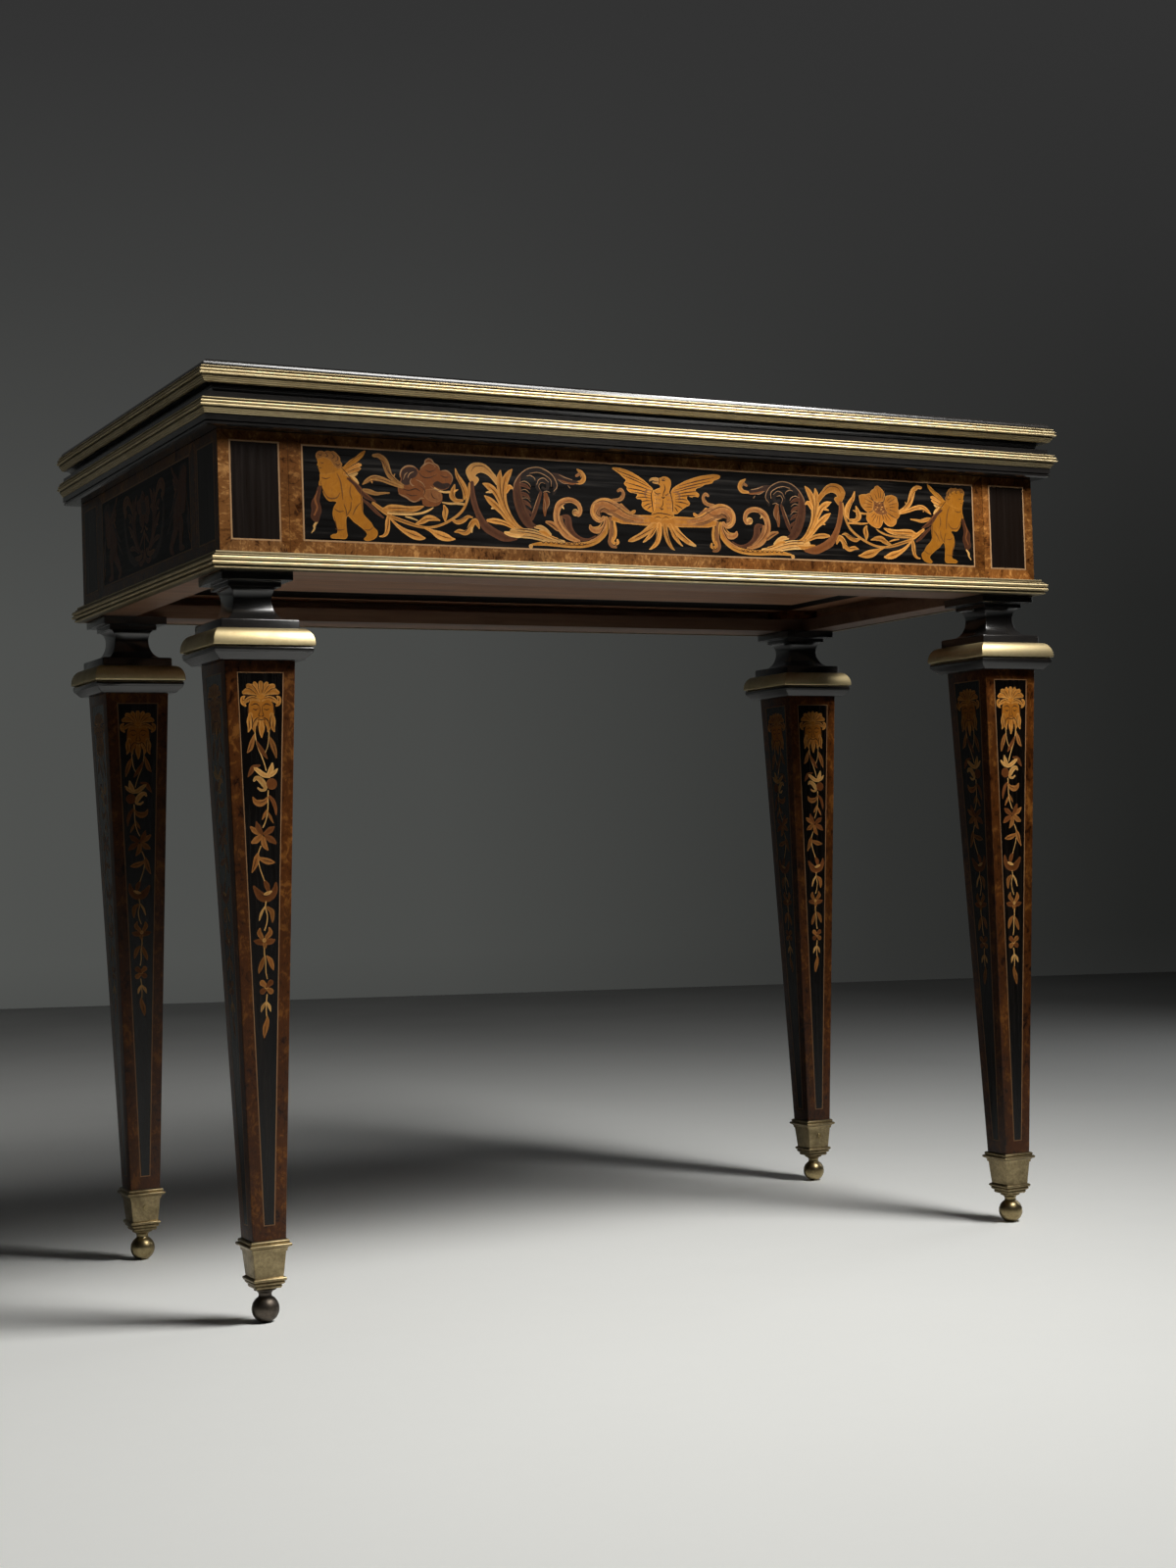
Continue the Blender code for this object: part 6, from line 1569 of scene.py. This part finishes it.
def pendant():
    """Chain of leaves and flowers that hangs from the mask."""
    shapes = draw([
        ("tan", circle(8, 436, 4.6)),
        ("pale", circle(-0.4, 310, 1.7, 8)),
        ("pale", circle(0.8, 272, 1.5, 8)),
    ], [
        ("pale", [(-5.5, 478, 0.9), (-4.8, 472, 0.9), (-3, 465, 0.9), (0, 458, 0.9), (2.5, 451, 0.9),
                  (3.5, 447, 0.8)]),
        ("gold", [(-6, 476, 1), (-8, 470, 3.8), (-9.6, 465, 4), (-12, 461.6, 1)]),
        ("tan", [(-4.4, 471, 1), (-2, 466, 3.4), (1.5, 461, 3.8), (4.5, 456.6, 1.2)]),
        ("pale", [(6.5, 478, 0.9), (6, 472, 0.8), (5, 466, 0.8), (3, 461.5, 0.7)]),
        ("gold", [(7, 474, 1), (9, 469, 4.2), (11, 463, 3.8), (12.4, 457.2, 1)]),
        ("tan", [(-2, 451, 1.6), (-7, 449.6, 3.8), (-9.4, 446, 3.8), (-11.8, 442.2, 1)]),
        ("pale", [(-6.4, 449, 2.4), (-3, 446.5, 3.8), (1, 443.6, 4.2), (6, 442.2, 2.8)]),
        ("pale", [(5.4, 444, 3), (7.8, 448, 4.4), (8.8, 452.6, 1.4)]),
        ("pale", [(8, 443.4, 3.4), (11, 445.6, 3), (13, 448, 1.2)]),
        ("pale", [(-6.8, 439, 2.2), (-5.2, 441, 3.2), (-1.8, 439.6, 4.6), (1.4, 435.8, 4.6), (2.6, 432, 2.6),
                  (-0.8, 431, 2.2), (-3.6, 432.8, 1.6)]),
        ("pale", [(5, 430.4, 1), (4.6, 425, 1), (4.6, 420, 0.9), (4, 412, 0.9), (2, 405, 0.9),
                  (0, 401, 0.9)]),
        ("gold", [(-8, 425.4, 1.2), (-6, 421.8, 4.2), (-2, 420.6, 5.6), (2, 422, 4), (4.4, 425, 1.8)]),
        ("tan", [(6, 426, 2), (9, 422, 3.4), (11, 416, 2.8), (11.4, 411, 0.9)]),
        ("gold", [(3.5, 415, 1), (1.5, 411, 2.4), (-0.4, 407.6, 0.9)]),
        ("gold", [(4.6, 413, 1), (6.5, 409, 2.4), (8.8, 404.6, 0.9)]),
        ("tan", [(-1, 396, 2.6), (-4, 401, 4.6), (-5.4, 405.4, 1.4)]),
        ("gold", [(-2, 396, 3.6), (-7, 398.6, 4.6), (-10.2, 401.4, 1.8)]),
        ("tan", [(2, 396, 3.6), (6.4, 399, 5), (9.2, 401, 1.8)]),
        ("gold", [(-2, 394, 3.6), (-6, 390.8, 5.4), (-9, 389.2, 2.6)]),
        ("tan", [(3, 393.2, 3.6), (7, 391, 5.4), (10.4, 388.2, 2.2)]),
        ("gold", [(0, 392, 3.6), (1, 387, 4.6), (3.8, 382.8, 1.4)]),
        ("pale", [(-2, 386, 1), (-4, 381, 1), (-4.6, 376, 1), (-3, 368, 0.9), (-1, 362, 0.9),
                  (0.5, 358, 0.9)]),
        ("gold", [(-5, 380, 1.4), (-5.5, 376.5, 5), (-7.2, 371, 4.2), (-9.8, 365.2, 1)]),
        ("gold", [(-3, 376, 2.6), (2, 374, 5), (6, 373, 4.2), (9.3, 372.5, 1)]),
        ("tan", [(0.5, 358, 1.8), (2.4, 354.4, 4.6), (3.4, 350.8, 3.6)]),
        ("tan", [(-8.4, 353.4, 2.2), (-6, 349.6, 5), (-2.6, 345.6, 7.2), (2, 344.2, 7.2), (6.8, 346.2, 6.4),
                 (9.6, 351, 4.6), (10.3, 355.8, 1.8)]),
        ("pale", [(0.5, 347, 1.8), (3, 347.6, 3.2), (6, 349, 1.8)]),
        ("pale", [(1.5, 341, 1), (1, 336, 1), (2.5, 330, 0.9), (2, 324, 0.9), (0, 318, 0.9)]),
        ("pale", [(0.5, 337, 1), (-2.5, 332, 2.2), (-4.4, 326.2, 0.9)]),
        ("gold", [(3, 336, 2.6), (6.3, 333, 4.2), (6.9, 328, 3.2), (6.8, 324.2, 0.9)]),
        ("gold", [(-4, 319.4, 1.4), (-4.5, 316, 4.2), (-2.6, 312.4, 3.6)]),
        ("gold", [(4, 319.8, 1.4), (4.8, 316, 4.2), (1.8, 312.4, 3.6)]),
        ("tan", [(-8.8, 309.6, 1.4), (-6, 309, 4.6), (-1.5, 308.4, 5)]),
        ("tan", [(8.4, 310, 1.4), (6, 309, 4.6), (1, 308.4, 5)]),
        ("gold", [(0, 304.8, 3), (0, 308.6, 4.4)]),
        ("pale", [(-0.5, 304, 1), (-0.5, 299, 1), (0.5, 293, 0.9), (0.5, 285, 0.9), (1.5, 279, 0.9)]),
        ("gold", [(-0.5, 297, 1), (-2.5, 292, 3.8), (-4.4, 287, 3.2), (-5.4, 283.8, 0.9)]),
        ("gold", [(1.5, 297, 1.4), (4.4, 293.6, 4.2), (6, 289, 3.4), (6.9, 285.8, 0.9)]),
        ("gold", [(1, 272.4, 2.6), (-2.6, 275.6, 5)]),
        ("tan", [(1, 272.4, 2.6), (4.4, 275.6, 5)]),
        ("tan", [(1, 271.4, 2.6), (-2.6, 268.8, 5)]),
        ("gold", [(1, 271.4, 2.6), (4.4, 268.6, 5)]),
        ("pale", [(1.2, 266, 1), (0.5, 260, 1), (0.3, 252, 0.9), (0.8, 247.6, 0.9)]),
        ("pale", [(0, 260, 1), (-2.5, 256.5, 2.8), (-4, 252.6, 0.9)]),
        ("pale", [(1, 260, 1), (3, 256.5, 2.6), (4, 252.6, 0.9)]),
        ("gold", [(1, 248.6, 1), (1, 245, 3.4), (-0.4, 240, 4.8), (-1.4, 235, 3.2), (-1.8, 231.6, 1)]),
    ])
    shapes = retoned(shapes, {"gold": "amber", "tan": "bloom"})
    return shapes + engrave([
        [(-8.6, 469, 0.3), (-10.4, 464.6, 0.6), (-11.4, 462.6, 0.3)],
        [(9.4, 468.6, 0.3), (11.2, 463, 0.6), (12, 459, 0.3)],
        [(-2.6, 421, 0.3), (0.6, 421.8, 0.6), (3, 423.4, 0.3)],
        [(-6, 376, 0.3), (-8, 370, 0.6), (-9.2, 367, 0.3)],
        [(0, 374.6, 0.3), (4, 373.6, 0.6), (7.4, 373, 0.3)],
        [(-4, 349, 0.3), (0, 345.6, 0.8), (5, 346.6, 0.3)],
        [(-0.8, 240.8, 0.3), (-1.2, 236.4, 0.6), (-1.6, 233.6, 0.3)],
    ])


# veneered faces

def face_place(normal, distance, centre=(0, 0)):
    """Maps (x, z, rise) in millimetres to an upright face, distance(level) out from the centre."""
    out = Vector(normal)
    right = Vector((0, 0, 1)).cross(out)

    def place(x, z, rise):
        point = right * (x * MM) + out * (distance(z * MM) + rise * MM)
        return centre[0] + point.x, centre[1] + point.y, z * MM
    return place


def flat_place(level, up=1):
    def place(x, y, rise):
        return x * MM, y * MM * up, level + up * rise * MM
    return place


def box_corners(x0, x1, z0, z1, inset=0.0):
    return [(x0 + inset, z0 + inset), (x1 - inset, z0 + inset), (x1 - inset, z1 - inset),
            (x0 + inset, z1 - inset)]


def framed(outer, line, field=None, tints=(None,) * 4):
    """Mitred border, thin pale line and field. outer and line are (x0, x1, z0, z1).

    tints are of the foot, right, head and left strip of the border, and their figure runs across them.
    """
    shapes = strips_between(("burr_upright", "burr"), box_corners(*outer), box_corners(*line, -LINE_GAP),
                            VENEER_RISE, tints)
    shapes += strips_between(("box",), box_corners(*line), box_corners(*line, LINE), LINE_RISE)
    if field:
        shapes.append(plate(field, box_corners(*line, LINE + FIELD_GAP), VENEER_RISE))
    return shapes


def frieze_frames(half, inner, painted_shade):
    """Borders, lines and fields of two corner posts and the panel. The last argument, painted shade for an
    unlit face, is taken off each tint.
    """
    low, high = FRIEZE
    end = inner - POST_GAP
    line = inner - PANEL_BORDER
    # each strip's tint is partly its own leaf of veneer and partly painted light and shade; the head strip,
    # in the shade under the leaf above, is painted lighter
    shapes = framed((-end, end, low, high), (-line, line, *PANEL_LEVELS), "field", (0.74, 0.40, 0.94, 0.32))
    # the foot strip changes to a redder leaf of veneer right of its middle
    seam = REDDER_FROM * inner
    rim = PANEL_LEVELS[0] - LINE_GAP
    shapes.append(plate("burr_upright", [(seam, low), (end, low), (line, rim), (seam, rim)], REDDER_RISE,
                        REDDER_TINT))
    # the posts' strip tints likewise mix their own leaves of veneer with painted light and shade
    for side, tints in ((-1, (0.86, 0.32, 0.43, 0.74)), (1, (0.62, 0.22, 0.30, 0.92))):
        ends = sorted((side * (inner + POST_GAP), side * (half - POST_EDGE)))
        lines = sorted((side * (inner + POST_BORDERS[0]), side * (half - POST_BORDERS[1])))
        shapes += framed((*ends, low, high), (*lines, *POST_LEVELS), "corner", tints)
    for shape in shapes:
        if shape.tint is not None:
            shape.tint = max(LEAST_TINT, shape.tint - painted_shade)
    return shapes


def right_shift(x):
    """How far a mirrored point is moved towards the middle, by its distance from it."""
    for (x0, y0), (x1, y1) in zip(RIGHT_SHIFT, RIGHT_SHIFT[1:]):
        if x <= x1:
            return y0 + (y1 - y0) * (x - x0) / (x1 - x0)
    return 0.0


def right_half(shapes, tones):
    """The same shapes right of the middle, retoned."""
    return retoned([shape.moved(lambda x, z: (-x - right_shift(-x) if x < 0 else -x, z), mirror=True)
                    for shape in shapes], tones)


def long_panel():
    warmer = {"pale": "gold", "leaf": "gold"}
    scrolls = dark_scroll() + gold_band() + strapwork()
    shapes = spray() + acanthus() + scrolls + dark_blossom() + winged_boy()
    shapes += right_half(spray(), warmer) + right_half(acanthus(), {**warmer, "rose": "bloom"})
    return centred(shapes + right_half(scrolls, {}) + gold_blossom() + flipped(winged_boy()) + eagle())


def end_panel():
    half = centred(winged_boy(), 205.6) + centred(acanthus(), 132.0)
    half += draw([], [
        ("gold", [(-20, 643, 3), (-13, 640.6, 4.6), (-6, 641.6, 4.4), (-2.6, 646, 3.6), (-5, 650.6, 3),
                  (-9.4, 650.6, 2.6), (-10.4, 647.4, 1.6)]),
        ("gold", [(-15, 655, 1), (-9, 660, 3.8), (-3.4, 664.4, 2.6), (-0.6, 669, 1.4)]),
        ("pale", [(-11, 668.6, 1), (-7, 668.8, 2.6), (-2.4, 672, 1.4)]),
    ])
    shapes = half + flipped(half) + [stroke("pale", [(0, 641, 1.6), (0, 655, 2.2), (0, 668, 1.8)])]
    scale = 0.82
    shapes += centred(gold_blossom(), -scale * BLOSSOM[0], 688 - scale * BLOSSOM[1], scale)
    # painted shade: the end panels' inlay is retoned to dim woods, as for an unlit face
    return retoned(shapes, {"gold": "bloom", "wing": "bloom", "boy": "bloom", "mask": "bloom",
                            "pale": "amber", "rose": "umber", "hair": "umber", "tan": "umber"})


def build_frieze(made):
    long_shapes = long_panel()
    end_shapes = end_panel()
    for number, side in enumerate(("front", "back", "left", "right")):
        if side in ("front", "back"):
            distance, half, inner = CASE_Y, CASE_X, POST_INNER
            field, painted_shade, shapes = "ebony", 0.0, long_shapes
        else:
            # the end faces are painted in shade: a shaded copy of the ebony ground, border tints lowered, and
            # inlay retoned to dim woods
            distance, half, inner = CASE_X, CASE_Y, SIDE_POST_INNER
            field, painted_shade, shapes = "ebony_side", 0.4, end_shapes
        place = face_place(SIDES[side], lambda level: distance)
        lay(side + "_frieze_veneer", frieze_frames(half / MM, inner / MM, painted_shade), place, made,
            "walnut_veneer", 11 + number, {"field": field, "corner": "rose_panel"})
        lay(side + "_frieze_marquetry", shapes, place, made, "marquetry", 31 + number)


def build_leg_faces(made):
    low, high = LEG_LEVELS
    foot, head = (shaft_half(level * MM) / MM - LEG_BORDER for level in LEG_LEVELS)
    wide = LEG_LINE
    out = [(-foot, low), (foot, low), (head, high), (-head, high)]
    inn = [(-foot + wide, low + wide), (foot - wide, low + wide), (head - wide, high - wide),
           (-head + wide, high - wide)]
    border = [plate("ground", inn, VENEER_RISE)] + strips_between(("string",), out, inn, LINE_RISE)
    hanging = mask() + pendant()
    for number, corner in enumerate(CORNERS):
        for turn, (side, normal) in enumerate(SIDES.items()):
            shapes = border + (flipped(hanging) if (number + turn) % 2 else hanging)
            place = face_place(normal, shaft_half, leg_centre(corner))
            lay(f"{corner}_leg_{side}_marquetry", shapes, place, made, "marquetry",
                101 + 4 * number + turn, {"ground": "ebony_leg"})


def build_top_faces(made):
    """Cross-banded border on the closed top."""
    x, y, back = TOP_X / MM, TOP_Y / MM, LEAF_BACK / MM
    outer, line = ((-x + inset, x - inset, -y + inset, back - inset) for inset in TOP_BORDER)
    shapes = framed(outer, line)
    shapes += strips_between(("box",), box_corners(*outer, -TOP_EDGE[0]), box_corners(*outer, -TOP_EDGE[1]),
                             VENEER_RISE)
    lay("top_banding", shapes, flat_place(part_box("upper_leaf")[1].z), made, "walnut_veneer", 71,
        body="upper_top")


def build_playing_faces(made):
    """Veneered border on three sides of each playing face, inside the folded leaves."""
    x, y, back = TOP_X / MM, TOP_Y / MM, LEAF_BACK / MM - HINGE_MARGIN
    edge, start, end = ([(-x + inset, back), (-x + inset, -y + inset), (x - inset, -y + inset),
                         (x - inset, back)] for inset in (*TOP_BORDER, TOP_BORDER[1] + TOP_LINE))
    for leaf, face, up in (("lower", 1, 1), ("upper", 0, -1)):
        shapes = []
        for tone, out, inn, rise in (("burr", edge, start, VENEER_RISE), ("box", start, end, LINE_RISE)):
            for k in (1, 2, 0):
                flat = [(px, py * up) for px, py in (out[k], out[k + 1], inn[k + 1], inn[k])]
                shapes.append(plate(tone, flat[::up], rise))
        lay(f"{leaf}_playing_border", shapes, flat_place(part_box(leaf + "_leaf")[face].z, up), made,
            "walnut_veneer", 81, body=leaf + "_top")


# cloth and screws

def cloth_piece(node, outline, body, finish, made):
    """Flat cut of cloth in place of a node of the frame, its upper edge softened."""
    low, high = (corner.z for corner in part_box(node))
    middle_x, middle_y = (sum(values) / len(outline) for values in zip(*outline))
    inner = [(x + math.copysign(CLOTH_EASE, middle_x - x), y + math.copysign(CLOTH_EASE, middle_y - y), high)
             for x, y in outline]
    rings = [[(x, y, z) for x, y in outline] for z in (low, high - CLOTH_EASE)] + [inner]
    return new_piece(node + "_cloth", *loft(rings), [made[finish]], finish, body, [node])


def build_cloth(made):
    """Baize of the two playing faces and the lining of the well."""
    for name in ("lower", "upper"):
        low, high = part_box(name + "_baize")
        outline = [(low.x, low.y), (high.x, low.y), (high.x, high.y), (low.x, high.y)]
        piece = cloth_piece(name + "_baize", outline, name + "_top", "baize", made)
    low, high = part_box("well_lining")
    post_x, post_y = POST_INNER - LINING_GAP, SIDE_POST_INNER - LINING_GAP
    outline = [(low.x, -post_y), (-post_x, -post_y), (-post_x, low.y), (high.x, low.y), (high.x, high.y),
               (-post_x, high.y), (-post_x, post_y), (low.x, post_y)]
    piece = cloth_piece("well_lining", outline, "carcass", "lining", made)


def slotted_heads(spots, radius, level, up):
    """Countersunk screw heads at (x, y, turn), each a pair of half discs with the slot between them."""
    parts = []
    for x, y, turn in spots:
        for half in (0, 180):
            start = math.degrees(turn) + half + HEAD_SLOT
            end = start + 180 - 2 * HEAD_SLOT
            rings = []
            for reach, rise in ((radius, -0.0002), (radius, HEAD_RISE * 0.6), (radius * 0.86, HEAD_RISE)):
                rim = arc((x, y), (reach, reach), start, end, 12)
                rings.append([(*spot, level + up * rise) for spot in rim])
            parts.append(loft(rings))
    return joined(parts)


def build_screws(made):
    """Three screws in each hinge plate, and four in the flange of the swivel bolt."""
    for side in ("left", "right"):
        for leaf, face, up in (("lower", 1, 1), ("upper", 0, -1)):
            low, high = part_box(f"hinge_plate_{leaf}_{side}")
            spots = [(low.x + across * (high.x - low.x), low.y + along * (LEAF_BACK - HINGE_EDGE - low.y),
                      1.3 * across + 2.1 * along) for across, along in HINGE_SCREWS]
            heads = slotted_heads(spots, 0.0021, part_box(leaf + "_leaf")[face].z, up)
            new_piece(f"hinge_screws_{leaf}_{side}", *heads, [made["ball"]], "aged_brass", leaf + "_top")
    low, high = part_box("swivel_bolt")
    centre = ((low.x + high.x) / 2, (low.y + high.y) / 2)
    ring = arc(centre, (FLANGE_SCREWS, FLANGE_SCREWS), 45, 315, 3)
    heads = slotted_heads([(*spot, (45 + 90 * k) / 70) for k, spot in enumerate(ring)], 0.0034,
                          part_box("lower_leaf")[0].z, -1)
    new_piece("swivel_flange_screws", *heads, [made["iron"]], "iron", "lower_top")


aim_camera()
build_stage()
build_lights()
FINISHES = make_finishes()
for build in (dress_frame, build_legs, build_leaf_brass, build_base_bead, build_frieze, build_leg_faces,
              build_top_faces, build_playing_faces, build_cloth, build_screws):
    build(FINISHES)

bpy.context.scene.view_settings.view_transform = "Standard"
